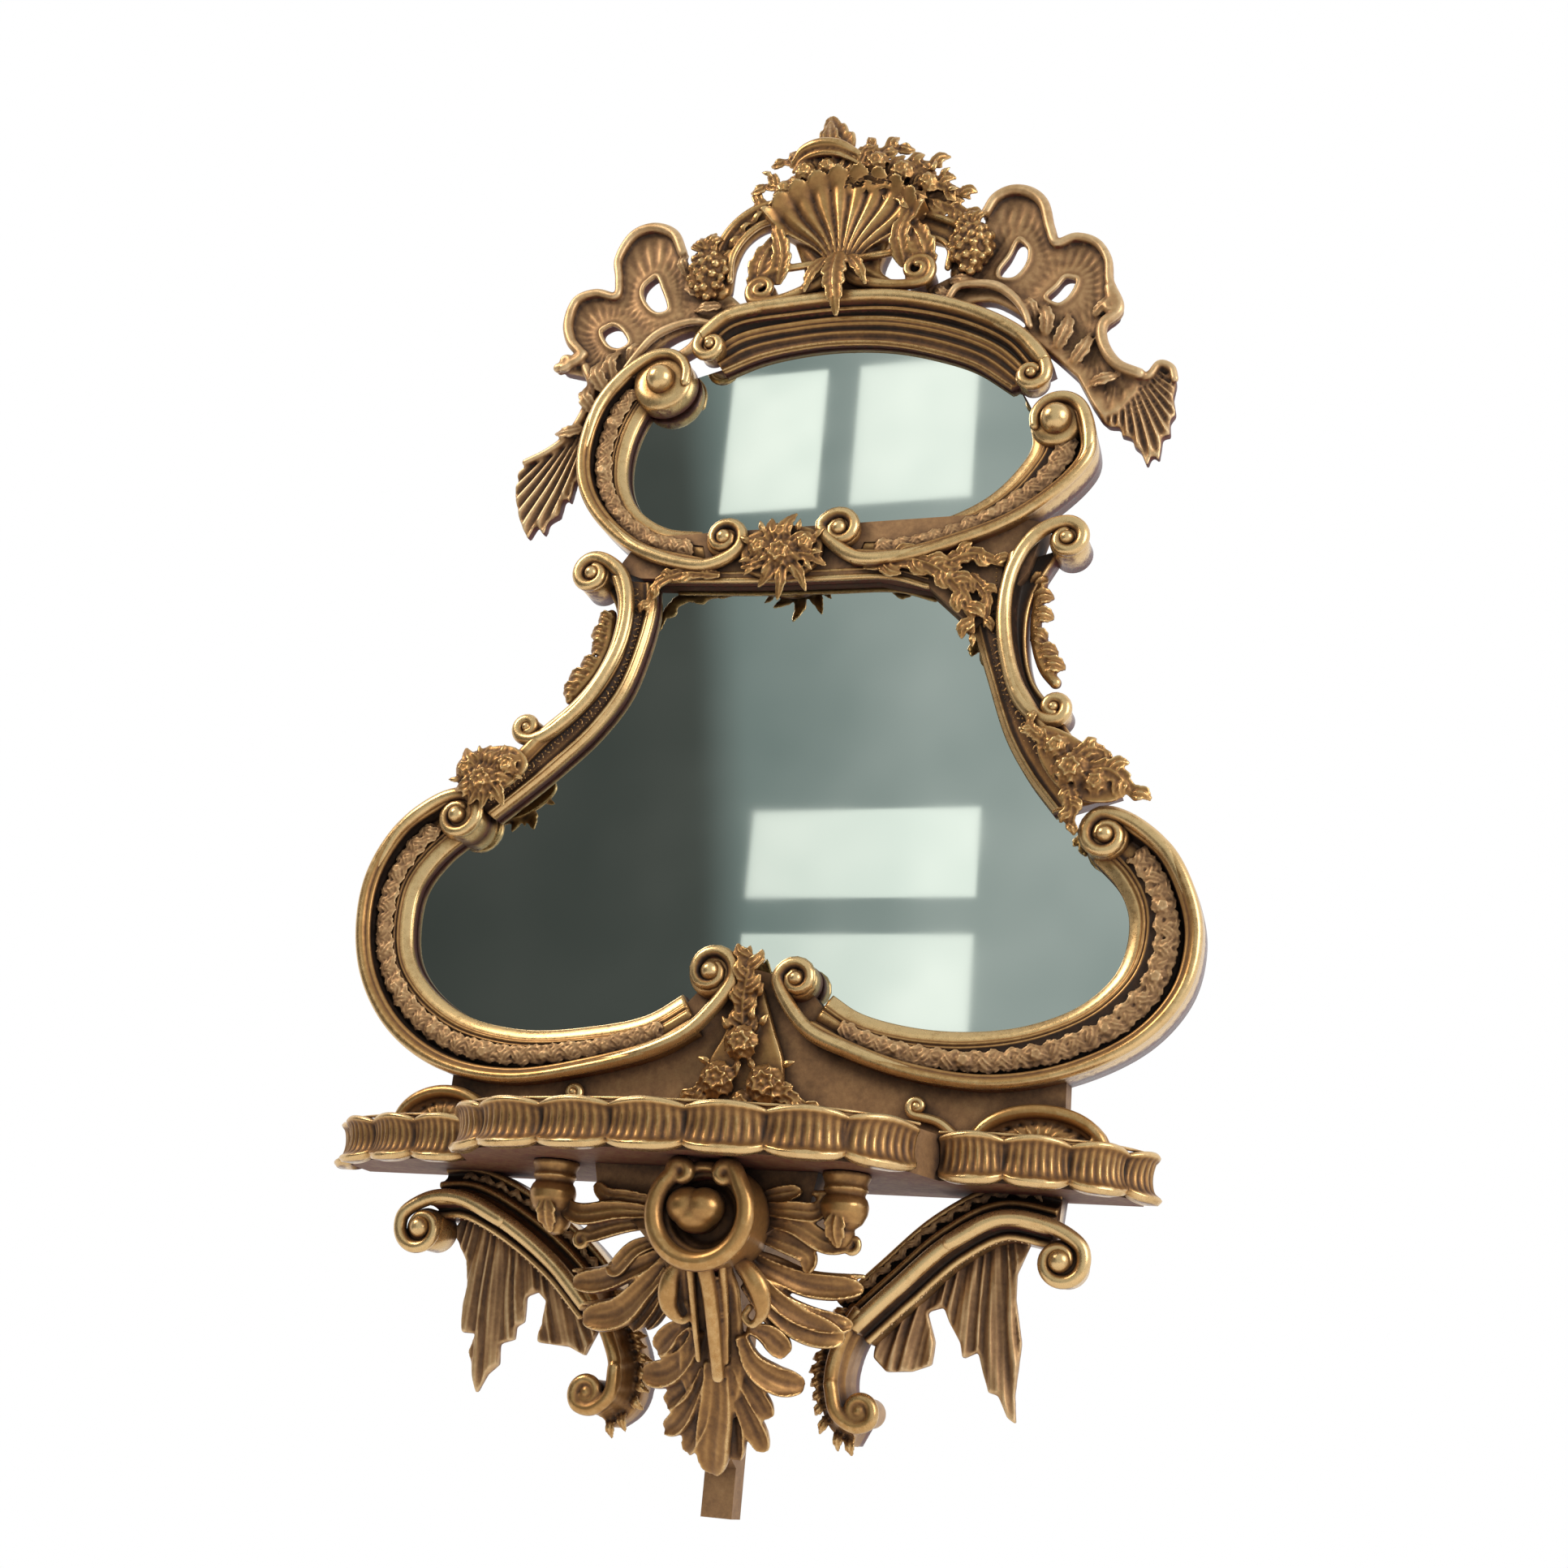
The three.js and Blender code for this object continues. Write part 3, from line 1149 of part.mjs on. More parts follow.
const dropLineLeft = [
  [-304, 240], [-286, 214], [-281, 190], [-283, 171], [-280, 145], [-265, 145], [-270, 128], [-256, 89], [-247, 108],
  [-236, 118], [-238, 137], [-223, 142], [-223, 154], [-215, 159], [-216, 183], [-204, 188], [-194, 180],
  [-198, 141], [-164, 139], [-147, 132], [-136, 156], [-150, 186], [-190, 222], [-240, 254], [-290, 268],
];
const dropLineRight = [
  [280, 262], [267, 231], [267, 209], [274, 171], [270, 127], [272, 102], [264, 107], [255, 125], [246, 127],
  [240, 144], [235, 161], [221, 154], [218, 168], [207, 185], [201, 198], [186, 193],
  [195, 167], [193, 147], [175, 140], [151, 138], [138, 150], [142, 178], [184, 222], [226, 256],
];
const drop = (line) => (grow = 0) => plate(line, DROP_BACK, DROP_FRONT, { grow, bevel: grow ? 0 : 2 });

// ---------------------------------------------------------------- hangers on the back

const HINGE_DEPTH = 4.4; // hinge line of the D-ring, from the wall
const KNUCKLE_RADIUS = RING_WIRE + KNUCKLE_CLEARANCE + 1.2;
const KNUCKLE_WIDTH = RING_SPAN - 4 * RING_WIRE - 4;
const strapFront = POCKET_DEPTH - SEAT_GAP;
const strapBack = strapFront - STRAP_THICKNESS;
const screwPlaces = (hanger) => SCREW_RISES.map((up) => [hanger.x, hanger.z + up]);

const pocket = ({ x, z }) => () => {
  const low = z - RING_REACH - 4;
  const high = z + STRAP_LENGTH + 4;
  const half = POCKET_WIDTH / 2;
  const room = plate(
    [[x - half, low], [x + half, low], [x + half, high], [x - half, high]], -5, POCKET_DEPTH,
  );
  const pilots = screwPlaces({ x, z }).map(
    ([sx, sz]) => disc(
      sx, sz, SCREW_SHANK + SEAT_GAP, 0, strapBack + SCREW_LENGTH + SEAT_GAP, { sides: 8 },
    ),
  );
  return fuse(room, ...pilots);
};

const strap = (hanger) => () => {
  const { x, z } = hanger;
  const half = STRAP_WIDTH / 2;
  const neck = KNUCKLE_WIDTH / 2;
  const body = plate([
    [x - neck, z - 2], [x + neck, z - 2], [x + neck, z + 4], [x + half, z + 8], [
      x + half, z + STRAP_LENGTH - 6,
    ],
    [
      x + half - 6, z + STRAP_LENGTH,
    ], [
      x - half + 6, z + STRAP_LENGTH,
    ], [x - half, z + STRAP_LENGTH - 6], [x - half, z + 8], [x - neck, z + 4],
  ], strapBack, strapFront);
  const eye = new THREE.Shape().absarc(HINGE_DEPTH, z, KNUCKLE_RADIUS, 0, 2 * Math.PI);
  eye.holes.push(
    new THREE.Path().absarc(HINGE_DEPTH, z, RING_WIRE + KNUCKLE_CLEARANCE, 0, 2 * Math.PI, true),
  );
  const knuckle = new THREE.ExtrudeGeometry(
    eye, { depth: KNUCKLE_WIDTH, bevelEnabled: false, curveSegments: 7 },
  );
  knuckle.applyMatrix4(new THREE.Matrix4().makeBasis(at(0, 0, 1), at(0, 1, 0), at(1, 0, 0)));
  knuckle.translate(x - neck, 0, 0);
  const holes = screwPlaces(hanger).map(
    ([sx, sz]) => disc(sx, sz, SCREW_SHANK + SEAT_GAP, -1, POCKET_DEPTH + 1, { sides: 8 }),
  );
  return fuse(body, solidOf(knuckle)).subtract(fuse(...holes));
};

const dRing = ({ x, z }) => () => {
  const half = RING_SPAN / 2 - RING_WIRE;
  const reach = RING_REACH - RING_WIRE;
  const bar = rod(
    [at(x - half, z, HINGE_DEPTH), at(x + half, z, HINGE_DEPTH)], () => RING_WIRE, { sides: 8 },
  );
  const bow = Array.from({ length: 9 }, (_, i) => {
    const angle = Math.PI + (Math.PI * i) / 8;
    return at(x + half * Math.cos(angle), z + reach * Math.sin(angle), HINGE_DEPTH);
  });
  return fuse(bar, rod(bow, () => RING_WIRE, { sides: 6 }));
};

const screw = ([x, z]) => () => fuse(
  disc(x, z, SCREW_SHANK, strapBack - 0.5, strapBack + SCREW_LENGTH, { sides: 8 }),
  disc(x, z, SCREW_HEAD, strapBack - SEAT_GAP - 1.4, strapBack - SEAT_GAP, { sides: 8 }),
);

const hangerLeft = { x: HANGER_X.left, z: HANGER_Z };
const hangerRight = { x: HANGER_X.right, z: HANGER_Z };

// ---------------------------------------------------------------- materials

const finish = (name, color, roughness, metalness) => new THREE.MeshStandardMaterial({
  name, color, roughness, metalness,
});
const burnishedGilding = () => finish('burnished gilding', 0xb8893e, 0.3, 0.9);
const matteGilding = () => finish('matte gilding', 0x8f6a37, 0.5, 0.75);
const mirrorGlass = () => finish('mirror glass', 0xb9c2c0, 0.03, 1);
const paintedBoard = () => finish('backing board', 0x6b5a45, 0.85, 0);
const zincSteel = () => finish('zinc-plated steel', 0xa9abad, 0.35, 1);

// ---------------------------------------------------------------- assembly

// In this order: a piece gives way to those above it wherever they meet.
const pieces = [
  { name: 'oval_left', build: ovalLeft.build, material: burnishedGilding, cuts: [pocket(hangerLeft)] },
  { name: 'oval_right', build: ovalRight.build, material: burnishedGilding, cuts: [pocket(hangerRight)] },
  { name: 'lobe_left', build: lobeLeft.build, material: burnishedGilding },
  { name: 'lobe_right', build: lobeRight.build, material: burnishedGilding },
  { name: 'oval_arch', build: arch.build, material: burnishedGilding },
  { name: 'waist_left', build: waistLeft.build, material: burnishedGilding },
  { name: 'waist_right', build: waistRight.build, material: burnishedGilding },
  { name: 'mirror_plate_upper', build: glass(upperSight), material: mirrorGlass },
  { name: 'mirror_plate_lower', build: glass(lowerSight), material: mirrorGlass },
  { name: 'backboard_upper', build: backboard(upperSight), material: paintedBoard },
  { name: 'backboard_lower', build: backboard(lowerSight), material: paintedBoard },
  { name: 'shelf_board', build: shelfBoard, material: matteGilding },
  { name: 'shelf_edge_middle', build: shelfEdgeMiddle, material: burnishedGilding },
  { name: 'shelf_edge_left', build: shelfEdgeLeft, material: burnishedGilding },
  { name: 'shelf_edge_right', build: shelfEdgeRight, material: burnishedGilding },
  {
    name: 'middle_rail', build: middleRail, material: matteGilding,
    cuts: [plateRoom(upperSight), plateRoom(lowerSight)],
  },
  { name: 'apron_panel', build: apronPanel, material: matteGilding, cuts: [plateRoom(lowerSight)] },
  { name: 'shelf_ear_left', build: earLeft, material: burnishedGilding },
  { name: 'shelf_ear_right', build: earRight, material: burnishedGilding },
  { name: 'middle_flowers', build: middleFlowers, material: burnishedGilding },
  { name: 'corner_leaf_left', build: cornerLeafLeft, material: burnishedGilding },
  { name: 'corner_leaf_right', build: cornerLeafRight, material: burnishedGilding },
  { name: 'shoulder_flowers_left', build: shoulderLeft, material: burnishedGilding },
  { name: 'shoulder_flowers_right', build: shoulderRight, material: burnishedGilding },
  { name: 'waist_leaves_left', build: waistLeavesLeft, material: burnishedGilding },
  { name: 'waist_leaves_right', build: waistLeavesRight, material: burnishedGilding },
  { name: 'garland', build: garland, material: burnishedGilding },
  { name: 'crest_shell', build: shell, material: burnishedGilding },
  { name: 'finial_leaf', build: finial, material: burnishedGilding },
  { name: 'flower_spray', build: spray, material: burnishedGilding },
  { name: 'grapes_left', build: grapesLeft, material: burnishedGilding },
  { name: 'grapes_right', build: grapesRight, material: burnishedGilding },
  { name: 'crest_arm_left', build: crestArmLeft, material: burnishedGilding },
  { name: 'crest_arm_right', build: crestArmRight, material: burnishedGilding },
  { name: 'wing_left', build: wingLeft, material: matteGilding },
  { name: 'wing_right', build: wingRight, material: matteGilding },
  { name: 'bracket_backbone', build: backbone, material: matteGilding },
  { name: 'boss_ring', build: bossRing, material: burnishedGilding },
  { name: 'cabochon', build: cabochon, material: burnishedGilding },
  { name: 'acanthus', build: acanthus, material: burnishedGilding },
  { name: 'corbel_left', build: corbelLeft, material: burnishedGilding },
  { name: 'corbel_right', build: corbelRight, material: burnishedGilding },
  { name: 'bracket_arm_left', build: bracketArmLeft, material: burnishedGilding },
  { name: 'bracket_arm_right', build: bracketArmRight, material: burnishedGilding },
  { name: 'bracket_foot_left', build: bracketFootLeft, material: burnishedGilding },
  { name: 'bracket_foot_right', build: bracketFootRight, material: burnishedGilding },
  { name: 'side_leaf_left', build: sideLeaf(-1), material: burnishedGilding },
  { name: 'side_leaf_right', build: sideLeaf(1), material: burnishedGilding },
  { name: 'upper_leaf_left', build: upperLeaf(-1), material: burnishedGilding },
  { name: 'upper_leaf_right', build: upperLeaf(1), material: burnishedGilding },
  { name: 'drop_left', build: drop(dropLineLeft), material: matteGilding },
  { name: 'drop_right', build: drop(dropLineRight), material: matteGilding },
];
const hardware = [hangerLeft, hangerRight].flatMap((hanger, i) => {
  const side = ['left', 'right'][i];
  return [
    { name: `hanger_strap_${side}`, build: strap(hanger), material: zincSteel },
    { name: `hanger_ring_${side}`, build: dRing(hanger), material: zincSteel },
    ...screwPlaces(hanger).map(
      (place, n) => ({ name: `hanger_screw_${side}_${n + 1}`, build: screw(place), material: zincSteel }),
    ),
  ];
});

/** Keeps the largest body of an indexed mesh, so that a cut leaves no crumbs. */
function largestBody(positions, index) {
  const parent = Array.from({ length: positions.length / 3 }, (_, i) => i);
  const rootOf = (i) => {
    let root = i;
    while (parent[root] !== root) root = parent[root];
    parent[i] = root;
    return root;
  };
  for (let i = 0; i < index.length; i += 3) {
    parent[rootOf(index[i + 1])] = rootOf(index[i]);
    parent[rootOf(index[i + 2])] = rootOf(index[i]);
  }
  const corner = (i) => new THREE.Vector3().fromArray(positions, 3 * index[i]);
  const bodies = new Map();
  for (let i = 0; i < index.length; i += 3) {
    const body = bodies.get(rootOf(index[i])) ?? { volume: 0, faces: [] };
    body.volume += corner(i).dot(corner(i + 1).cross(corner(i + 2))) / 6;
    body.faces.push(index[i], index[i + 1], index[i + 2]);
    bodies.set(rootOf(index[i]), body);
  }
  return [...bodies.values()].sort((a, b) => b.volume - a.volume)[0].faces;
}

function meshOf({ name, material }, solid) {
  const { vertProperties, triVerts } = solid.getMesh();
  const geometry = new THREE.BufferGeometry();
  geometry.setAttribute('position', new THREE.BufferAttribute(new Float32Array(vertProperties), 3));
  geometry.setIndex(largestBody(vertProperties, triVerts));
  const faceted = geometry.toNonIndexed();
  faceted.computeVertexNormals();
  const mesh = new THREE.Mesh(faceted, material());
  mesh.name = name;
  return mesh;
}

const boxesMeet = (a, b) => [0, 1, 2].every((i) => a.min[i] <= b.max[i] && b.min[i] <= a.max[i]);

const group = new THREE.Group();
group.name = 'pier_mirror';
group.position.z = -WALL_MOUNT_HEIGHT;
const placed = [];
for (const piece of pieces) {
  let solid = piece.build();
  const box = solid.boundingBox();
  for (const room of piece.cuts ?? []) solid = solid.subtract(room());
  for (const earlier of placed) {
    if (boxesMeet(box, earlier.box)) solid = solid.subtract(earlier.grown);
  }
  const grown = piece.build(SEAT_GAP);
  placed.push({ grown, box: grown.boundingBox() });
  group.add(meshOf(piece, solid));
}
for (const piece of hardware) group.add(meshOf(piece, piece.build()));

export default group;
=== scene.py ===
"""Dresses the pier mirror: carved and water-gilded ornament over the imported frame, and a studio round it."""

import math

import bmesh
import bpy
import numpy as np
from mathutils import Matrix, Vector


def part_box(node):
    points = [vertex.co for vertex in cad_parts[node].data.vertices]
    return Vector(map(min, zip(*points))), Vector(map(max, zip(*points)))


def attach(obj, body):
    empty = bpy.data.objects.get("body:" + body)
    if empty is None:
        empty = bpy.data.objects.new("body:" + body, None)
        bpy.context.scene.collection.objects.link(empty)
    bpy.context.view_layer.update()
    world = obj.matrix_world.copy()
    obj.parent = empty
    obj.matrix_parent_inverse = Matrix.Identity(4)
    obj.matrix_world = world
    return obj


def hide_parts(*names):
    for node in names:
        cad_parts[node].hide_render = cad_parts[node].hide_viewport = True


bl_info = {
    "name": "Pier Mirror",
    "version": (1, 0, 0),
    "blender": (4, 5, 0),
    "location": "View3D > Sidebar > Pier Mirror",
    "description": "Carves and gilds the pier mirror on its packed frame",
    "category": "Object",
}

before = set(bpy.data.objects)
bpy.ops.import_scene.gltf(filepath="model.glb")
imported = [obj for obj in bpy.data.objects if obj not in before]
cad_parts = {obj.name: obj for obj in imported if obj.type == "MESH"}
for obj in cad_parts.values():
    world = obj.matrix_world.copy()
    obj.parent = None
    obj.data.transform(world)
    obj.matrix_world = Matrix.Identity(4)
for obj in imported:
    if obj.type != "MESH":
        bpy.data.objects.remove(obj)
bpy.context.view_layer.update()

# Places on the face are (x, z) or (x, z, d) in millimetres: x across, z up from the foot of the tongue,
# d forward from the wall. Meshes are written in metres, with the wall mount at the origin.
MM = 0.001
HUNG = -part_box("bracket_backbone")[0][2] / MM
FOOT = (0, 0, HUNG)
BODY = "mirror"

BEAD_RADIUS = 8.0
BEAD_DEPTH = 42.0
REBATE_DEPTH = 16.0
REBATE_WIDTH = 12.0
SLIP_WIDTH = 14.0
RAIL_FRONT = 34.0
CREST_BACK = 8.0
CREST_FRONT = 30.0
SHELF_TOP = 343.0
SHELF_FOOT = 297.0
SHELF_X = -25.0
SHELF_EDGE = 13.0
TAU = 2 * math.pi
POST_SIDES = 40
SIDES = ("left", "right")
BAND_SEED, WAIST_SEED = 10, 3
GRAPES = [("left", -146, 1334, 24, 32, 4),
          ("right", 164, 1328, 24, 30, 5)]  # side, x, z, half width, half height, seed
EARS = [("left", -327, 58, 44), ("right", 283, 67, 42)]  # side, x, half width, height

# ---------------------------------------------------------------- places and lines


def on_face(places, depth=0.0):
    """Places (x, z) or (x, z, d) as points of space."""
    return np.array([(p[0], -(p[2] if len(p) > 2 else depth), p[1]) for p in places], float)


def even(points, count):
    """The same line with its points evenly spaced."""
    length = np.r_[0, np.cumsum(np.linalg.norm(np.diff(points, axis=0), axis=1))]
    wanted = np.linspace(0, length[-1], count + 1)
    return np.stack([np.interp(wanted, length, points[:, k]) for k in range(points.shape[1])], axis=1)


def smooth_line(knots, closed=False, dense=24):
    """A centripetal Catmull-Rom line through the knots."""
    p = np.asarray(knots, float)
    p = np.vstack([p[-1], p, p[0], p[1]]) if closed else np.vstack([2 * p[0] - p[1], p, 2 * p[-1] - p[-2]])
    share = np.linspace(0, 1, dense, endpoint=False)[:, None]
    s2, s3 = share ** 2, share ** 3
    line = []
    for a, b, c, d in zip(p[:-3], p[1:-2], p[2:-1], p[3:]):
        u, v, w = (max(np.linalg.norm(q - r), 1e-6) ** 0.5 for q, r in ((b, a), (c, b), (d, c)))
        t1 = ((b - a) / u - (c - a) / (u + v) + (c - b) / v) * v
        t2 = ((c - b) / v - (d - b) / (v + w) + (d - c) / w) * v
        line.append((2 * s3 - 3 * s2 + 1) * b + (s3 - 2 * s2 + share) * t1
                    + (3 * s2 - 2 * s3) * c + (s3 - s2) * t2)
    return np.vstack(line if closed else line + [p[-2][None]])


def route(places, count, depth=0.0):
    return even(smooth_line(on_face(places, depth)), count)


def beside(x, z, reach, angle, d):
    """The place at a reach and an angle from x, z."""
    return x + reach * math.cos(angle), z + reach * math.sin(angle), d


def unit(v):
    return v / np.maximum(np.linalg.norm(v, axis=-1, keepdims=True), 1e-9)


FORWARD = np.array([0.0, -1.0, 0.0])


def frames(points):
    """Unit vectors along, across (to the right of the way it runs) and forward, at each point."""
    along = unit(np.gradient(points, axis=0))
    across = unit(np.cross(along, FORWARD))
    return along, across, np.cross(across, along)


def curl(centre, start, turns, hand, tighten, depth=BEAD_DEPTH, rise=0.0):
    """Places on a curl that starts beside `start`, turns round `centre` and tightens."""
    angle = math.atan2(start[1] - centre[1], start[0] - centre[0])
    radius = math.dist(start, centre)
    count = math.ceil(turns * 12)
    share = np.arange(1, count + 1) / count
    reach = radius * (1 - (1 - tighten) * share)
    a = angle + hand * TAU * turns * share
    return [beside(*centre, r, t, depth + rise * s) for r, t, s in zip(reach, a, share)]


def ease(value, low, high):
    """0 below low, 1 above high, smooth between."""
    t = np.clip((np.asarray(value, float) - low) / (high - low), 0, 1)
    return t * t * (3 - 2 * t)


# ---------------------------------------------------------------- lumps of wood
# A lump is (vertices, faces), closed, in millimetres.


def skin(rings):
    """Faces over a row of closed rings, with both ends capped."""
    count, sides = rings.shape[:2]
    a = np.arange((count - 1) * sides).reshape(count - 1, sides)
    b = np.roll(a, -1, axis=1)
    faces = np.stack([a, b, b + sides, a + sides], axis=2).reshape(-1, 4).tolist()
    faces.append(list(range(sides))[::-1])
    faces.append(list(range((count - 1) * sides, count * sides)))
    return rings.reshape(-1, 3), faces


def rod(points, radius, sides, flat=1.0):
    """A round rod with domed ends; radius is a number or a function of 0..1, flat squeezes it."""
    share = np.linspace(0, 1, len(points))
    size = np.array([radius(s) if callable(radius) else radius for s in share], float)
    along, across, forward = frames(points)
    dome = [(0.995, 0.1), (0.87, 0.5), (0.5, 0.87), (0.12, 1.0)]
    first = [points[0] - along[0] * size[0] * k for _, k in reversed(dome)]
    last = [points[-1] + along[-1] * size[-1] * k for _, k in dome]
    points = np.vstack([first, points, last])
    size = np.r_[[size[0] * k for k, _ in reversed(dome)], size, [size[-1] * k for k, _ in dome]]
    pad = lambda v: np.vstack([[v[0]] * 4, v, [v[-1]] * 4])
    angle = TAU * np.arange(sides) / sides
    ring = across_forward(pad(across), pad(forward), np.cos(angle), np.sin(angle) * flat)
    return skin(points[:, None] + ring * size[:, None, None])


def across_forward(across, forward, a, f):
    return across[:, None] * np.asarray(a)[..., :, None] + forward[:, None] * np.asarray(f)[..., :, None]


def sweep(points, section):
    """A moulding along points; section is (count, 2) or (stations, count, 2) of mm across and forward."""
    across = frames(points)[1]
    section = np.asarray(section, float)
    if section.ndim == 2:
        section = np.broadcast_to(section, (len(points), *section.shape))
    flat = np.broadcast_to(FORWARD, across.shape)
    across = unit(across * [1, 0, 1])
    return skin(points[:, None] + across[:, None] * section[..., :1] + flat[:, None] * section[..., 1:])


def unit_ball(level):
    mesh = bpy.data.meshes.new("ball")
    work = bmesh.new()
    bmesh.ops.create_icosphere(work, subdivisions=level, radius=1)
    work.to_mesh(mesh)
    work.free()
    verts = np.array([v.co for v in mesh.vertices])
    faces = [list(p.vertices) for p in mesh.polygons]
    bpy.data.meshes.remove(mesh)
    return verts, faces


BALLS = {level: unit_ball(level) for level in (1, 2, 3, 4)}


def ball(x, z, d, radius, stretch=(1, 1, 1), level=3):
    verts, faces = BALLS[level]
    return verts * radius * np.array(stretch) + on_face([(x, z, d)])[0], faces


def turned(x, z, profile, sides=40):
    """A shape turned round the line that comes straight out of the wall at x, z; profile is (radius, d)."""
    angle = TAU * np.arange(sides) / sides
    rings = [[(x + r * math.cos(a), -d, z + r * math.sin(a)) for a in angle] for r, d in profile]
    return skin(np.array(rings))


def post(x, d, profile):
    """A shape turned round an upright line; profile is (radius, z)."""
    angle = TAU * np.arange(POST_SIDES) / POST_SIDES
    rings = [[(x + r * math.cos(a), -d + r * math.sin(a), z) for a in angle] for r, z in profile]
    return skin(np.array(rings))


def plate(outline, back, front, holes=(), bevel=2.5, smooth=True):
    """A board cut to an outline on the face, with rounded arrises and cut-through holes."""
    curve = bpy.data.curves.new("outline", "CURVE")
    curve.dimensions = "2D"
    curve.fill_mode = "BOTH"
    curve.extrude = (front - back) / 2 - bevel
    curve.bevel_depth = bevel
    curve.bevel_resolution = 2
    curve.offset = -bevel
    for k, loop in enumerate([outline, *holes]):
        flat = np.array([(p[0], p[1]) for p in loop], float)
        if k or smooth:
            flat = smooth_line(flat, closed=True, dense=5)
        spline = curve.splines.new("POLY")
        spline.points.add(len(flat) - 1)
        spline.points.foreach_set("co", np.c_[flat, np.zeros(len(flat)), np.ones(len(flat))].ravel())
        spline.use_cyclic_u = True
    obj = object_of("outline", curve)
    mesh = bpy.data.meshes.new_from_object(obj.evaluated_get(bpy.context.evaluated_depsgraph_get()))
    verts = np.array([v.co for v in mesh.vertices])
    faces = [list(p.vertices) for p in mesh.polygons]
    bpy.data.objects.remove(obj)
    bpy.data.curves.remove(curve)
    bpy.data.meshes.remove(mesh)
    middle = (front + back) / 2
    return np.c_[verts[:, 0], -(middle + verts[:, 2]), verts[:, 1]], faces


def leaf(places, width, thick, lobes, cut=0.24, tip=0.05, belly=0.4, cup=0.3, rib=0.4, steps=36):
    """A carved leaf: lobes that lean to the tip, a raised midrib, hollows beside it and lifted edges."""
    points = route(places, steps)
    _, across, forward = frames(points)
    share = np.linspace(0, 1, steps + 1)
    swell = np.sin(math.pi * (0.14 + 0.83 * share ** (2 * belly))) ** 0.8
    saw = (share * lobes) % 1 if lobes else np.ones_like(share)
    half = np.maximum(width / 2 * swell * (1 - cut * (1 - saw) ** 1.4), width / 2 * tip)
    side = np.sin(np.linspace(-math.pi / 2, math.pi / 2, 15))
    high = thick * np.maximum(0.4, swell)
    s = np.abs(side)[None]
    vein = 0.07 * np.cos(TAU * (share[:, None] * max(lobes, 3) * 2 - s * 1.6))
    vein = vein * ease(s, 0.15, 0.4) * (1 - ease(s, 0.85, 1))
    front = 0.35 + rib * np.exp(-((s / 0.16) ** 2)) + cup * s ** 2.2 - 0.12 * np.sin(math.pi * s) + vein
    front = front * (1 - ease(s, 0.93, 1.0) * 0.75)
    rear = -0.35 + 0.3 * side[1:-1][::-1][None] ** 2 + 0 * share[:, None]
    lift = np.hstack([front, rear]) * high[:, None]
    reach = np.r_[side, side[1:-1][::-1]][None] * half[:, None]
    rings = points[:, None] + across[:, None] * reach[..., None] + forward[:, None] * lift[..., None]
    return skin(rings)


def blade(places, width, thick, flutes, root=0.45, peak=0.6, cup=0.4, steps=40):
    """A smooth leaf with a round tip: long flutes side by side, the edges rolled forward."""
    points = route(places, steps)
    _, across, forward = frames(points)
    share = np.linspace(0, 1, steps + 1)
    end = np.sqrt(np.clip(1 - np.clip((share - 0.7) / 0.305, 0, 1) ** 2, 0.015, 1))
    half = width / 2 * (root + (1 - root) * ease(share, 0, peak)) * end
    side = np.sin(np.linspace(-math.pi / 2, math.pi / 2, 23))
    s = np.abs(side)[None]
    groove = -0.2 * np.abs(np.sin(math.pi * flutes * (side[None] + 1) / 2)) ** 0.5
    groove = groove * ease(1 - share[:, None], 0, 0.25)
    front = (0.5 + cup * s ** 2 + groove) * (1 - ease(s, 0.9, 1.0) * 0.6)
    rear = -0.4 + 0.35 * side[1:-1][::-1][None] ** 2 + 0 * share[:, None]
    lift = np.hstack([front, rear]) * (thick * np.maximum(0.3, end ** 0.7))[:, None]
    reach = np.r_[side, side[1:-1][::-1]][None] * half[:, None]
    return skin(points[:, None] + across[:, None] * reach[..., None] + forward[:, None] * lift[..., None])


def flower(x, z, d, radius, turn, petals=5):
    """A rosette: two rows of cupped petals round a beaded eye."""
    lumps = []
    for reach, lift, shift in ((1.0, 0.0, 0.0), (0.62, 0.22, 0.5)):
        for i in range(petals):
            a = turn + TAU * (i + shift) / petals
            way = [beside(x, z, radius * r, a, d + radius * up)
                   for r, up in ((0.08, lift), (0.55 * reach, lift + 0.26), (reach, lift + 0.02))]
            lumps.append(leaf(way, radius * reach ** 0.5, radius * 0.28, lobes=1, cut=0.05, tip=0.62,
                belly=0.62,
                              cup=0.6, rib=0.15, steps=12))
    lumps.append(ball(x, z, d + radius * 0.42, radius * 0.22, level=2))
    for i in range(6):
        a = TAU * i / 6
        lumps.append(ball(*beside(x, z, radius * 0.24, a, d + radius * 0.36), radius * 0.12, level=1))
    return lumps


def bud(x, z, d, radius, angle):
    """A pointed bud lying on the work, its tip turned to `angle` (degrees, 0 to the right, 90 up)."""
    a = math.radians(angle)
    return leaf([beside(x, z, -radius * 0.7, a, d), (x, z, d + radius * 0.35),
                 beside(x, z, 1.5 * radius, a, d + radius * 0.3)],
                radius * 1.25, radius * 0.75, lobes=1, cut=0.05, tip=0.08, belly=0.36, cup=0.0, rib=0.35,
                steps=12)


def flowers(*each):
    return [lump for one in each for lump in flower(*one)]


def buds(d, radius, *each):
    return [bud(x, z, d, radius, angle) for x, z, angle in each]


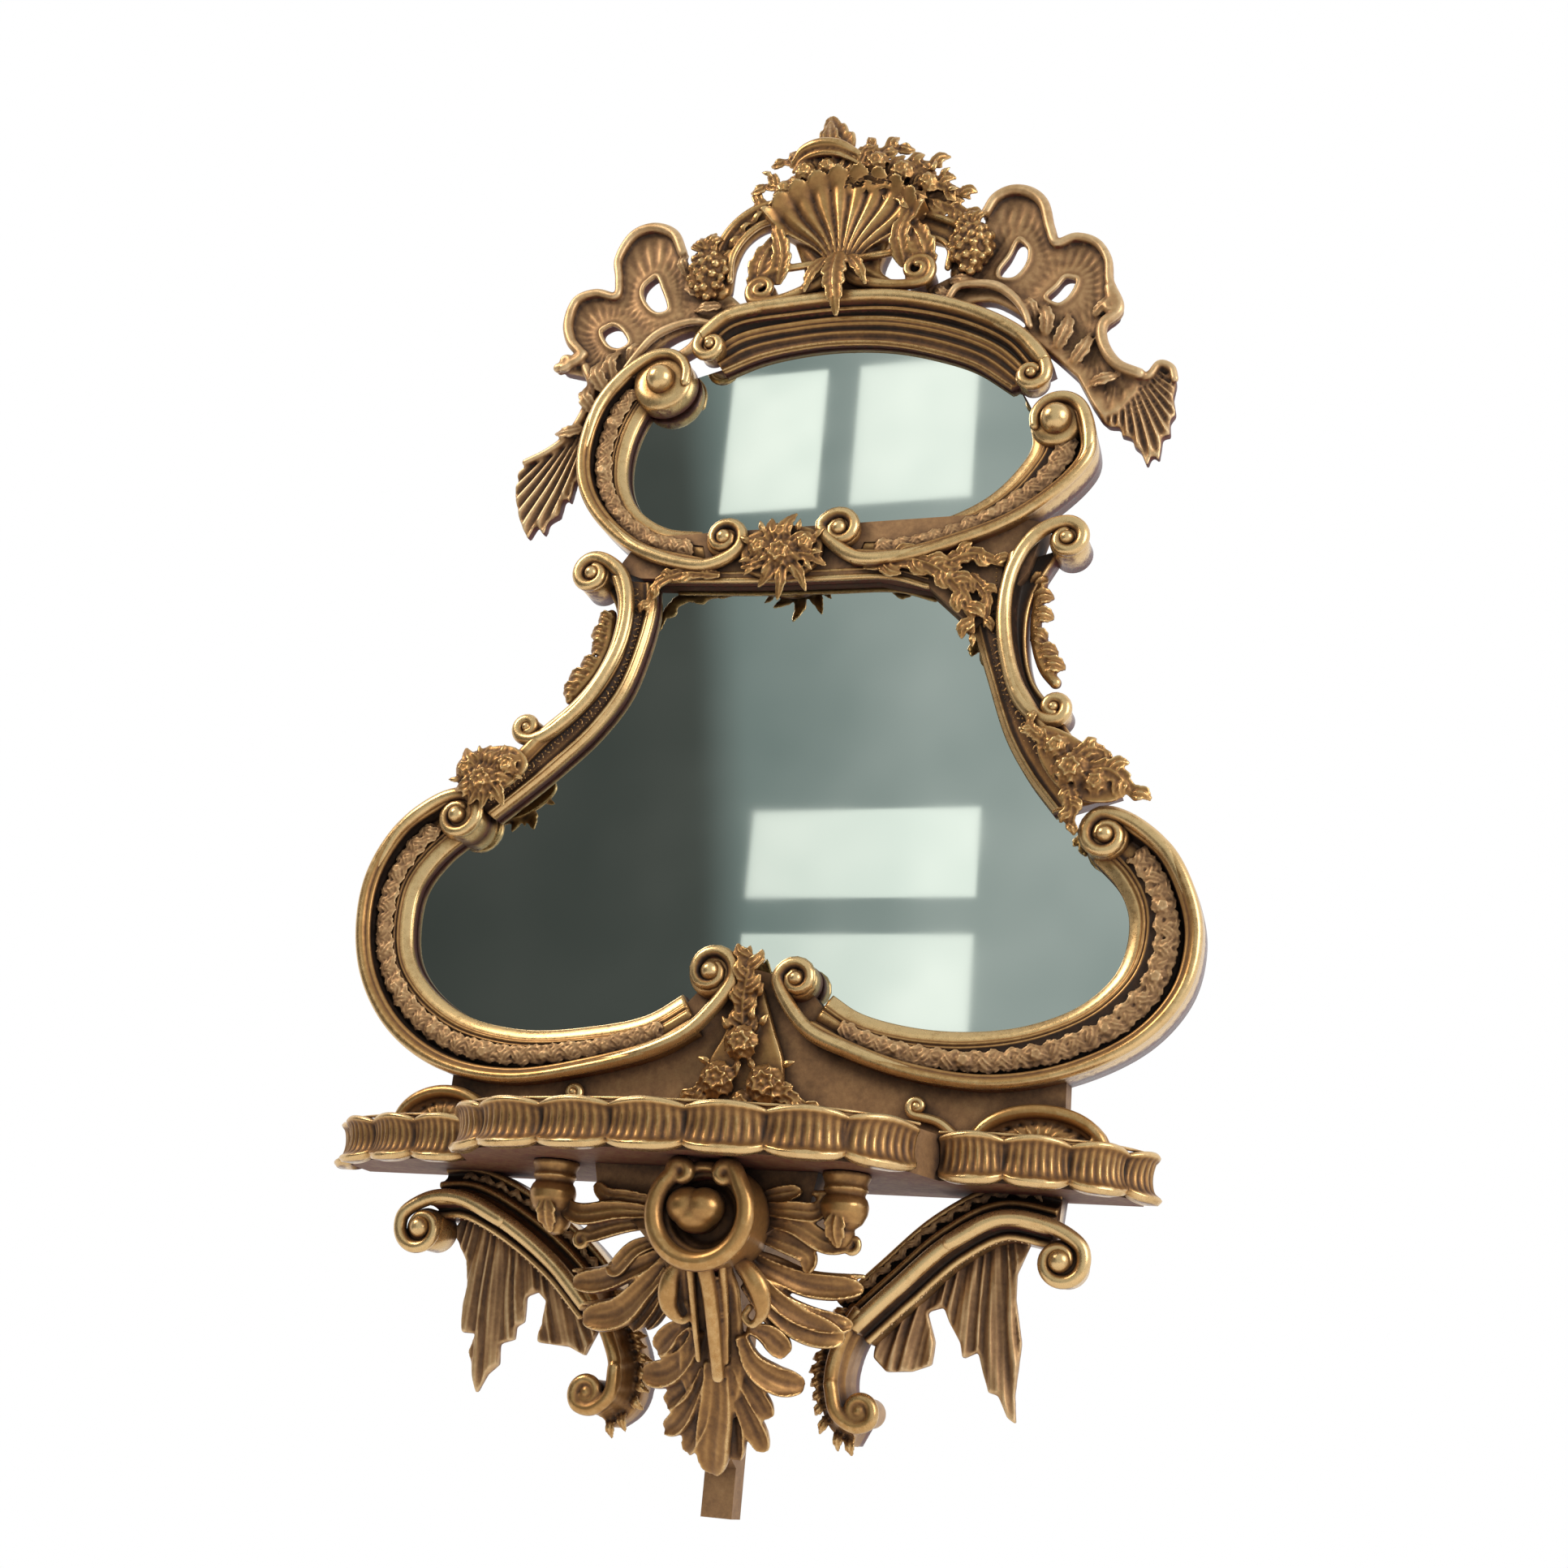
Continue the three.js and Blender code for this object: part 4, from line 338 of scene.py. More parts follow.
def leaves_round(rng, x, z, d, count, reach, width, start, spread=360.0, rise=6.0):
    """A tuft of small lobed leaves that spring from one place."""
    lumps = []
    for i in range(count):
        a = math.radians(start + spread * (i + 0.5) / count + rng.uniform(-9, 9))
        r = reach * rng.uniform(0.82, 1.12)
        way = [beside(x, z, r * 0.12, a, d), beside(x, z, r * 0.6, a + 0.12,
            d + rise * rng.uniform(0.7, 1.2)),
               beside(x, z, r, a, d + rise * rng.uniform(-0.4, 0.5))]
        lumps.append(leaf(way, width * rng.uniform(0.95, 1.25), 6.5, lobes=3, cut=0.2, tip=0.14, steps=24))
    return lumps


# ---------------------------------------------------------------- lumps to objects


def joined(name, lumps, origin=(0, 0, 0)):
    """One mesh of all the lumps, in metres from the origin."""
    faces = []
    base = 0
    for verts, part in lumps:
        faces += [[i + base for i in face] for face in part]
        base += len(verts)
    mesh = bpy.data.meshes.new(name)
    mesh.from_pydata(((np.vstack([v for v, _ in lumps]) - origin) * MM).tolist(), [], faces)
    return mesh


def object_of(name, data):
    """A new object in the scene, at the origin."""
    obj = bpy.data.objects.new(name, data)
    bpy.context.scene.collection.objects.link(obj)
    return obj


def plain(obj):
    """Turns an object with modifiers into a plain mesh with none."""
    mesh = bpy.data.meshes.new_from_object(obj.evaluated_get(bpy.context.evaluated_depsgraph_get()))
    old = obj.data
    obj.modifiers.clear()
    obj.data = mesh
    mesh.name = obj.name
    if old.users == 0 and isinstance(old, bpy.types.Mesh):
        bpy.data.meshes.remove(old)
    return obj


def carved(name, lumps, voxel, sanded=2):
    """The lumps as one carved block: they run into each other, and the arrises are softened."""
    obj = object_of(name, joined(name, lumps, FOOT))
    grow = obj.modifiers.new("one block", "REMESH")
    grow.mode = "VOXEL"
    grow.voxel_size = voxel * MM
    if sanded:
        soft = obj.modifiers.new("sanded", "SMOOTH")
        soft.factor = 0.5
        soft.iterations = sanded
    return plain(obj)


def crisp(name, lumps):
    """The lumps side by side in one object, their lines left sharp."""
    obj = object_of(name, joined(name, lumps, FOOT))
    work = bmesh.new()
    work.from_mesh(obj.data)
    bmesh.ops.recalc_face_normals(work, faces=work.faces)
    work.to_mesh(obj.data)
    work.free()
    return obj


def lump_of(obj):
    """An object's mesh as a lump, in millimetres; the object goes."""
    mesh = obj.data
    verts = np.empty(len(mesh.vertices) * 3)
    mesh.vertices.foreach_get("co", verts)
    faces = [list(p.vertices) for p in mesh.polygons]
    bpy.data.objects.remove(obj)
    bpy.data.meshes.remove(mesh)
    return verts.reshape(-1, 3) / MM + FOOT, faces


def board(outline, back, front, relief, holes=(), bevel=2.5, smooth=True, voxel=2.0):
    """A pierced board with a carved front: relief(x, z, edges) is mm forward, edges mm from each outline."""
    verts, faces = lump_of(carved("board", [plate(outline, back, front, holes, bevel, smooth)], voxel, 1))
    loops = [smooth_line([(p[0], p[1]) for p in loop], closed=True, dense=4) for loop in (outline, *holes)]
    edges = [edge_distance(verts[:, [0, 2]], loop) for loop in loops]
    on_front = ease(-verts[:, 1], (back + front) / 2, front - 1.0)
    verts[:, 1] -= on_front * relief(verts[:, 0], verts[:, 2], edges)
    return verts, faces


def edge_distance(points, loop):
    """How far each point is from a closed line."""
    a, b = loop, np.roll(loop, -1, axis=0)
    best = np.full(len(points), 1e9)
    for p, q in zip(a, b):
        along = q - p
        t = np.clip(((points - p) @ along) / max(along @ along, 1e-9), 0, 1)
        best = np.minimum(best, np.linalg.norm(points - p - t[:, None] * along, axis=1))
    return best


# ---------------------------------------------------------------- node trees


def add(tree, kind, inputs=(), stops=(), out=0, **settings):
    """Adds a node with its settings and links.

    inputs go by place or by name, and each is a value or the socket it comes from; stops are (place, colour).
    It gives the node's socket `out`, or the node where it has none.
    """
    node = tree.nodes.new(kind)
    for key, value in settings.items():
        setattr(node, key, value)
    for key, value in inputs.items() if isinstance(inputs, dict) else enumerate(inputs):
        if isinstance(value, bpy.types.NodeSocket):
            tree.links.new(value, node.inputs[key])
        else:
            node.inputs[key].default_value = value
    for k, (place, colour) in enumerate(stops):
        line = node.color_ramp.elements
        if k == len(line):
            line.new(1.0)
        line[k].position = place
        line[k].color = linear(colour) if isinstance(colour, str) else (*colour, 1.0)
    return node.outputs[out] if node.outputs else node


def linear(code):
    """An sRGB hex colour as linear light."""
    parts = [int(code[i:i + 2], 16) / 255 for i in (1, 3, 5)]
    return (*[c / 12.92 if c <= 0.04045 else ((c + 0.055) / 1.055) ** 2.4 for c in parts], 1.0)


def tree_of(name, labels):
    """A tree with a named input for each label, and the sockets that they give."""
    tree = bpy.data.node_groups.new(name, "GeometryNodeTree")
    tree.interface.new_socket("Geometry", in_out="OUTPUT", socket_type="NodeSocketGeometry")
    kinds = {"Geometry": "Geometry", "Motif": "Object", "Finish": "Material", "Seed": "Int"}
    for label in labels:
        tree.interface.new_socket(label, in_out="INPUT", socket_type=f"NodeSocket{kinds.get(label, 'Float')}")
    return tree, add(tree, "NodeGroupInput").node.outputs


def planted(tree, given, points, turn):
    """Ends a tree: the motif on each point, turned and in its own size, made real and given its finish."""
    limits = {2: given["Smallest"], 3: given["Largest"], "Seed": given["Seed"]}
    size = add(tree, "FunctionNodeRandomValue", limits, out=1, data_type="FLOAT")
    motif = add(tree, "GeometryNodeObjectInfo", {"Object": given["Motif"], "As Instance": True},
                out="Geometry")
    rows = add(tree, "GeometryNodeInstanceOnPoints", {
        "Points": points, "Instance": motif, "Rotation": turn, "Scale": size})
    real = add(tree, "GeometryNodeRealizeInstances", [rows])
    done = add(tree, "GeometryNodeSetMaterial", {"Geometry": real, "Material": given["Finish"]})
    add(tree, "NodeGroupOutput", [done])
    return tree


def row_tree():
    """Sets one motif after another along a line; it stands towards `out` and leans left and right in turn."""
    tree, given = tree_of("Row Along A Line", (
        "Geometry", "Motif", "Finish", "Spacing", "Smallest", "Largest", "Lean", "Seed"))
    line = add(tree, "GeometryNodeMeshToCurve", {"Mesh": given["Geometry"]})
    stations = add(tree, "GeometryNodeResampleCurve", {"Curve": line, "Length": given["Spacing"]},
                   mode="LENGTH")
    tangent = add(tree, "GeometryNodeInputTangent")
    out = add(tree, "GeometryNodeInputNamedAttribute", {"Name": "out"}, data_type="FLOAT_VECTOR")
    facing = add(tree, "FunctionNodeAlignRotationToVector", {"Vector": tangent}, axis="X")
    standing = add(tree, "FunctionNodeAlignRotationToVector", {"Rotation": facing, "Vector": out},
                   axis="Z", pivot_axis="X")
    number = add(tree, "GeometryNodeInputIndex")
    odd = add(tree, "ShaderNodeMath", (number, 2.0), operation="MODULO")
    hand = add(tree, "ShaderNodeMath", (odd, 2.0, -1.0), operation="MULTIPLY_ADD")
    lean = add(tree, "ShaderNodeMath", (hand, given["Lean"]), operation="MULTIPLY")
    spin = add(tree, "FunctionNodeAxisAngleToRotation", {"Axis": (0.0, 0.0, 1.0), "Angle": lean})
    leaning = add(tree, "FunctionNodeRotateRotation", {"Rotation": standing, "Rotate By": spin},
                  rotation_space="LOCAL")
    return planted(tree, given, stations, leaning)


def cluster_tree():
    """Scatters one motif over a surface, no two nearer than the spacing."""
    tree, given = tree_of("Cluster On A Surface", (
        "Geometry", "Motif", "Finish", "Spacing", "Smallest", "Largest", "Seed"))
    spots = add(tree, "GeometryNodeDistributePointsOnFaces", {
        "Mesh": given["Geometry"], "Distance Min": given["Spacing"], "Density Max": MOST_POINTS,
        "Seed": given["Seed"]}, distribute_method="POISSON")
    return planted(tree, given, spots, spots.node.outputs["Rotation"])


MOST_POINTS = 400000.0  # in a square metre
TREES = {}


def grown(kind, obj, values):
    """Runs a node tree on an object and leaves the plain mesh it makes."""
    if kind not in TREES:
        TREES[kind] = {"row": row_tree, "cluster": cluster_tree}[kind]()
    tree = TREES[kind]
    modifier = obj.modifiers.new(tree.name, "NODES")
    modifier.node_group = tree
    for item in tree.interface.items_tree:
        if item.in_out == "INPUT" and item.name in values:
            modifier[item.identifier] = values[item.name]
    return plain(obj)


def row(points, motif, spacing, size, lean, seed):
    """The motif set along a line; it stands straight out of the wall and leans by `lean` degrees."""
    mesh = bpy.data.meshes.new("row")
    mesh.from_pydata(((points - FOOT) * MM).tolist(), [(i, i + 1) for i in range(len(points) - 1)], [])
    out = mesh.attributes.new("out", "FLOAT_VECTOR", "POINT").data
    out.foreach_set("vector", np.broadcast_to(FORWARD, points.shape).astype(np.float32).ravel())
    obj = object_of("row", mesh)
    grown("row", obj, {"Motif": motif, "Finish": bpy.data.materials["burnished water gilding"],
                       "Spacing": spacing * MM, "Smallest": size[0], "Largest": size[1],
                       "Lean": math.radians(lean), "Seed": seed})
    return lump_of(obj)


def cluster(lump, motif, spacing, size, seed):
    """The motif scattered over a lump."""
    obj = object_of("cluster", joined("cluster", [lump], FOOT))
    grown("cluster", obj, {"Motif": motif, "Finish": bpy.data.materials["burnished water gilding"],
                           "Spacing": spacing * MM, "Smallest": size[0], "Largest": size[1], "Seed": seed})
    return lump_of(obj)


# ---------------------------------------------------------------- finishes


def blank(name):
    """A new material with its shader, and the place on the object in metres."""
    material = bpy.data.materials.new(name)
    material.use_nodes = True
    tree = material.node_tree
    tree.nodes.clear()
    shader = add(tree, "ShaderNodeBsdfPrincipled").node
    add(tree, "ShaderNodeOutputMaterial", {"Surface": shader.outputs["BSDF"]})
    where = add(tree, "ShaderNodeTexCoord", out="Object")
    return material, tree, shader, where


BOLE = [(0.25, "#38120D"), (0.55, "#541D15"), (0.8, "#6A3524")]
BOLE_UNDERNEATH = 0.62
PATCH, RUB, GRAIN = 34.0 * MM, 6.0 * MM, 1.1 * MM
PATCH_WEAR, GRAIN_WEAR = 0.34, 0.1
PINE = [(0.3, "#4A3626"), (0.5, "#6B4F37"), (0.72, "#85674A")]
ZINC = [(0.3, "#8E9296"), (0.7, "#B9BCBE")]


def gilding(name, stops, smoothest, roughest, metal, reach):
    """Water gilding: leaf over red clay, rubbed bright where it stands out, wax and dust in the hollows, and
    painted shade from ambient occlusion in the creases and between parts.
    """
    material, tree, shader, where = blank(name)
    sunk, bole = (add(tree, "ShaderNodeAttribute", out="Fac", attribute_name=key) for key in ("sunk", "bole"))
    relief = add(tree, "ShaderNodeMath", (0.5, sunk), operation="SUBTRACT")
    normal = add(tree, "ShaderNodeTexCoord", out="Normal")
    upward = add(tree, "ShaderNodeSeparateXYZ", [normal], out=2)
    below = add(tree, "ShaderNodeMapRange", (upward, -0.8, -0.97, 0.0, BOLE_UNDERNEATH))
    clay = add(tree, "ShaderNodeMath", (bole, below), operation="MAXIMUM")
    patches, rubbing, grain = (
        add(tree, "ShaderNodeTexNoise", {
            "Vector": where, "Scale": 1 / size, "Detail": detail, "Roughness": rough})
        for size, detail, rough in ((PATCH, 4.0, 0.6), (RUB, 3.0, 0.65), (GRAIN, 2.0, 0.6)))
    patched, rubbed, grained = (add(tree, "ShaderNodeMath", (noise, 0.5), operation="SUBTRACT")
                                for noise in (patches, rubbing, grain))
    # Ambient occlusion darkens the colour and dulls the leaf in creases and between parts: painted shade.
    hollow = add(tree, "ShaderNodeAmbientOcclusion", {"Distance": reach}, out="AO", samples=6)
    ao_painted_shade = add(tree, "ShaderNodeMath", (hollow, 1.3), operation="POWER")
    wear_and_painted_shade = add(tree, "ShaderNodeMath", (relief, ao_painted_shade), operation="MULTIPLY")
    for noise, share in ((patched, PATCH_WEAR), (rubbed, PATCH_WEAR), (grained, GRAIN_WEAR)):
        wear_and_painted_shade = add(tree, "ShaderNodeMath", (noise, share, wear_and_painted_shade), operation="MULTIPLY_ADD")
    # The ramp runs from wax and painted shade in the hollows to leaf rubbed bright.
    leaf_colour = add(tree, "ShaderNodeValToRGB", [wear_and_painted_shade], stops)
    clay_colour = add(tree, "ShaderNodeValToRGB", [rubbing], BOLE)
    bare = add(tree, "ShaderNodeMath", (rubbed, 0.9, clay), operation="MULTIPLY_ADD")
    bare = add(tree, "ShaderNodeMapRange", (bare, 0.35, 0.75, 0.0, 1.0))
    colour = add(tree, "ShaderNodeMix", {"Factor": bare, 6: leaf_colour, 7: clay_colour}, out=2,
                 data_type="RGBA")
    tree.links.new(colour, shader.inputs["Base Color"])
    shine = add(tree, "ShaderNodeMapRange", (wear_and_painted_shade, 0.25, 0.75, metal * 0.45, metal))
    dulled = add(tree, "ShaderNodeMath", (bare, 0.85), operation="MULTIPLY")
    leafed = add(tree, "ShaderNodeMath", (1.0, dulled), operation="SUBTRACT")
    metallic = add(tree, "ShaderNodeMath", (shine, leafed), operation="MULTIPLY")
    tree.links.new(metallic, shader.inputs["Metallic"])
    rough = add(tree, "ShaderNodeMapRange", (wear_and_painted_shade, 0.3, 0.8, roughest, smoothest))
    rough = add(tree, "ShaderNodeMath", (rubbed, 0.25, rough), operation="MULTIPLY_ADD")
    tree.links.new(rough, shader.inputs["Roughness"])
    fine = add(tree, "ShaderNodeMath", (grain, 0.4), operation="MULTIPLY")
    height = add(tree, "ShaderNodeMath", (rubbing, 0.6, fine), operation="MULTIPLY_ADD")
    bump = add(tree, "ShaderNodeBump", {"Strength": 0.22, "Distance": 0.5 * MM, "Height": height})
    tree.links.new(bump, shader.inputs["Normal"])
    return material


def mirror_plate(light, dim):
    """Silvered float glass: a clear, faintly grey-green reflection, a little dimmed in places by age."""
    material, tree, shader, where = blank("silvered mirror glass")
    cloud = add(tree, "ShaderNodeTexNoise", {
        "Vector": where, "Scale": 1 / (180.0 * MM), "Detail": 2.0, "Roughness": 0.55})
    tint = add(tree, "ShaderNodeValToRGB", [cloud], [(0.3, dim), (0.7, light)])
    haze = add(tree, "ShaderNodeMapRange", (cloud, 0.3, 0.7, 0.02, 0.05))
    tree.links.new(tint, shader.inputs["Base Color"])
    tree.links.new(haze, shader.inputs["Roughness"])
    shader.inputs["Metallic"].default_value = 1.0
    return material


def backing_wood():
    """Sawn softwood backboard, waxed brown: long grain up the board, with darker late wood."""
    material, tree, shader, where = blank("stained pine backboard")
    along = add(tree, "ShaderNodeMapping", {"Vector": where, "Scale": (1.0, 1.0, 0.06)})
    grain = add(tree, "ShaderNodeTexNoise", {
        "Vector": along, "Scale": 1 / (7.0 * MM), "Detail": 5.0, "Roughness": 0.6})
    tint = add(tree, "ShaderNodeValToRGB", [grain], PINE)
    bump = add(tree, "ShaderNodeBump", {"Strength": 0.3, "Distance": 0.4 * MM, "Height": grain})
    tree.links.new(tint, shader.inputs["Base Color"])
    tree.links.new(bump, shader.inputs["Normal"])
    shader.inputs["Roughness"].default_value = 0.82
    return material


def zinc():
    """Zinc-plated steel pressing: a cool grey sheen with fine drawn lines and duller spots."""
    material, tree, shader, where = blank("zinc-plated steel")
    drawn = add(tree, "ShaderNodeMapping", {"Vector": where, "Scale": (1.0, 1.0, 0.12)})
    lines, dull = (
        add(tree, "ShaderNodeTexNoise", {
            "Vector": place, "Scale": 1 / size, "Detail": 3.0, "Roughness": 0.55})
        for place, size in ((drawn, 0.8 * MM), (where, 5.0 * MM)))
    spots = add(tree, "ShaderNodeMath", (dull, 0.5), operation="MULTIPLY")
    wear = add(tree, "ShaderNodeMath", (lines, 0.5, spots), operation="MULTIPLY_ADD")
    rough = add(tree, "ShaderNodeMapRange", (wear, 0.3, 0.7, 0.28, 0.45))
    tint = add(tree, "ShaderNodeValToRGB", [dull], ZINC)
    tree.links.new(tint, shader.inputs["Base Color"])
    tree.links.new(rough, shader.inputs["Roughness"])
    shader.inputs["Metallic"].default_value = 1.0
    return material


GILT_STEPS = (0.0, 0.18, 0.36, 0.55, 0.76, 1.0)  # from wax and painted shade in a hollow to leaf rubbed bright
BRIGHT = list(zip(GILT_STEPS, ("#1E110A", "#3F2818", "#6B4A2D", "#916A40", "#B48B58", "#DDBC8A")))
MATTE = list(zip(GILT_STEPS, ("#22150E", "#463022", "#725339", "#967350", "#B7936A", "#D8BA92")))
FINISHES = {}


def finishes(look):
    """Makes the five finishes of the part."""
    for kind, stops, smoothest, roughest, metal in (
            ("burnished", BRIGHT, look.burnished, 0.62, 0.85), ("matte", MATTE, look.matte, 0.72, 0.6)):
        FINISHES[f"{kind}_gilding"] = gilding(
            f"{kind} water gilding", stops, smoothest, roughest, metal, look.painted_shade_reach)
    FINISHES["mirror_glass"] = mirror_plate(look.glass_light, look.glass_dim)
    FINISHES["backing_board"] = backing_wood()
    FINISHES["zinc_steel"] = zinc()


FINE_RELIEF = 0.9 * MM
BROAD_RELIEF = 4.5 * MM


def weathered_and_shaded(mesh):
    """Writes two attributes: sunk, how far a point lies in, which darkens the gilding in hollows as wax and as
    painted shade, and bole, the bare clay near the wall.
    """
    count = len(mesh.vertices)
    places = np.empty(count * 3)
    mesh.vertices.foreach_get("co", places)
    places = places.reshape(-1, 3)
    normals = np.empty(count * 3, np.float32)
    mesh.vertex_normals.foreach_get("vector", normals)
    normals = normals.reshape(-1, 3)
    ends = np.empty(len(mesh.edges) * 2, np.int32)
    mesh.edges.foreach_get("vertices", ends)
    a, b = ends.reshape(-1, 2).T
    degree = np.maximum(np.bincount(a, minlength=count) + np.bincount(b, minlength=count), 1)[:, None]

    def blurred(p, times):
        for _ in range(times):
            p = np.stack([np.bincount(a, p[b, k], count) + np.bincount(b, p[a, k], count) for k in range(3)],
                         axis=1) / degree
        return p

    near = blurred(places, 5)
    far = blurred(near, 32)
    fine = ((places - near) * normals).sum(axis=1) / FINE_RELIEF
    broad = ((places - far) * normals).sum(axis=1) / BROAD_RELIEF
    relief = np.clip(0.6 + 0.24 * np.clip(fine, -1.2, 1) + 0.36 * np.clip(broad, -1.2, 1), 0, 1)
    depth = -places[:, 1] / MM
    sideways = np.clip(1.15 + 1.3 * normals[:, 1], 0, 1)
    bole = (1 - ease(depth, 14, 34)) * sideways
    for name, values in (("sunk", 0.5 - relief), ("bole", bole)):
        mesh.attributes.new(name, "FLOAT", "POINT").data.foreach_set("value", values.astype(np.float32))


def finished(obj, slot, *nodes):
    """Gilds a carved piece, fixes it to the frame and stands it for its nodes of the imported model."""
    mesh = obj.data
    mesh.materials.clear()
    mesh.materials.append(FINISHES[slot])
    mesh.polygons.foreach_set("use_smooth", np.ones(len(mesh.polygons), bool))
    mesh.polygons.foreach_set("material_index", np.zeros(len(mesh.polygons), np.int32))
    weathered_and_shaded(mesh)
    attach(obj, BODY)
    if nodes:
        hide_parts(*nodes)


def carve(node, lumps, voxel=1.3, sanded=2, slot="burnished_gilding"):
    """A piece carved from one block, which stands for its node."""
    finished(carved(f"{node}_carving", lumps, voxel, sanded), slot, node)


def refinished(slot, *nodes):
    """Gives nodes that stay as packed their finish."""
    for node in nodes:
        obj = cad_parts[node]
        for place in obj.material_slots:
            place.material = FINISHES[slot]


# ---------------------------------------------------------------- motifs for the rows


MOTIF = {}


def motifs():
    """Small shapes that are set many times over: x along, z out. They aren't part of the object."""
    spray, spray_faces = leaf([(-7, 0, 0), (0, 1.5, 2.5), (8, 0, 0.5)], 9.5, 3.6, lobes=3, cut=0.35, steps=9)
    spray = spray[:, [0, 2, 1]] * [1, 1, -1]  # laid from the face of the wall flat on its back
    verts, faces = BALLS[2]
    for name, lump in (("leaf", (spray, spray_faces)), ("berry", BALLS[1]),
                       ("gadroon", (verts * [2.6, 6.0, 2.4], faces))):
        MOTIF[name] = object_of(f"motif_{name}", joined(f"motif_{name}", [lump]))
        MOTIF[name].hide_render = True


# ---------------------------------------------------------------- frame members


def arc(across, depth, radius, first, last, count=9):
    """Points of a round moulding; 0 degrees looks across, away from the glass, and 90 forward."""
    angle = np.radians(np.linspace(first, last, count))
    return [(across + radius * math.cos(a), depth + radius * math.sin(a)) for a in angle]


def scroll_section(width, style):
    """Section of a member from its back edge over the bead to the glass: (mm from the sight edge, depth)."""
    w = width
    if style == "waist":
        c = 0.6 * w
        outer = [(w, 0), (w + 0.5, 12), (w, 21), (w - 2, 24), (w - 5, 23.5), (c + 12, 20), (c + 9.5, 24)]
        bead = arc(c + 1.5, BEAD_DEPTH, 6.8, -30, 150, 15) + arc(c - 6, BEAD_DEPTH - 3.5, 2.6, 110, 215, 7)
        inner = [(c - 9, 34), (SLIP_WIDTH * 0.5 + 7, 32.5), (SLIP_WIDTH * 0.5 + 4, 31.2)]
        inner += arc(SLIP_WIDTH * 0.5 + 0.5, 30.6, 2.2, 60, 170, 6)
        slip = [(4.5, 29.5), (2.0, 28.6)]
    elif style == "arch":
        outer = [(w + 7, 0), (w + 7.6, 20), (w + 7.2, 36)]
        bead = arc(w, BEAD_DEPTH, 7.6, -15, 165, 15) + [(w - 8.5, 39), (w - 9.5, 36.5)]
        inner = arc(w - 12.5, 37.0, 2.6, 60, 180, 7) + [(w - 16.5, 31.5), (0.62 * w, 30)]
        inner += arc(0.55 * w, 32.0, 3.2, 45, 150, 7) + arc(0.44 * w, 30.0, 2.8, 50, 160,
            7) + [(0.36 * w, 27.0)]
        slip = arc(0.25 * w, 27.0, 2.6, 50, 150, 7) + [(0.16 * w, 25.5)] + arc(3.0, 24.0, 2.4, 70, 160, 6)
    else:
        outer = [(w + 7, 0), (w + 7.8, 16), (w + 7.6, 34)]
        bead = arc(w + 1.6, BEAD_DEPTH, 6.4, -25, 140, 15) + arc(w - 5.6, BEAD_DEPTH - 1.0, 3.4, 75, 205, 9)
        inner = [(w - 10.2, 33), (w - 12.5, 29.5), (0.8 * w, 28.2), (0.7 * w, 31.5), (0.6 * w, 33.0),
                 (0.5 * w, 33.0), (0.42 * w, 31.2)]
        inner += arc(SLIP_WIDTH + 5.5, 30.5, 2.3, 50, 175, 7)
        inner += arc(SLIP_WIDTH + 0.8, 30.4, 1.9, 40, 165, 6)
        slip = [(SLIP_WIDTH - 3, 31.0), (SLIP_WIDTH - 7, 30.2), (4.0, 28.5), (1.2, 27.4)]
    back = [(0.0, 26.0), (0.0, REBATE_DEPTH), (REBATE_WIDTH, REBATE_DEPTH), (REBATE_WIDTH, 0.0)]
    return np.array(outer + bead + inner + slip + back)


def scroll_end(lead, centre, start, turns, hand, tighten=0.42, back=0.4, eye=None):
    """The rolled end of a member: its bead curls up on a drum, round an eye."""
    radius = math.dist(start, centre)
    places = [*lead, *curl(centre, start, turns, hand, tighten)]
    line = route(places, 46, BEAD_DEPTH)
    size = lambda s: BEAD_RADIUS * (0.55 + 0.45 * ease(s, 0, 0.3)) * (1 - 0.3 * s ** 2)
    drum = [(0.5, back), (radius - 1.5, back), (radius, back + 2), (radius * 0.96, BEAD_DEPTH - 6),
            (radius * 0.9, BEAD_DEPTH - 1), (radius * 0.6, BEAD_DEPTH + 0.5), (0.5, BEAD_DEPTH + 1)]
    ball_radius = eye or radius * 0.38
    return [rod(line, size, 20), turned(*centre, drum), ball(*centre, BEAD_DEPTH + 2.5, ball_radius, level=3)]


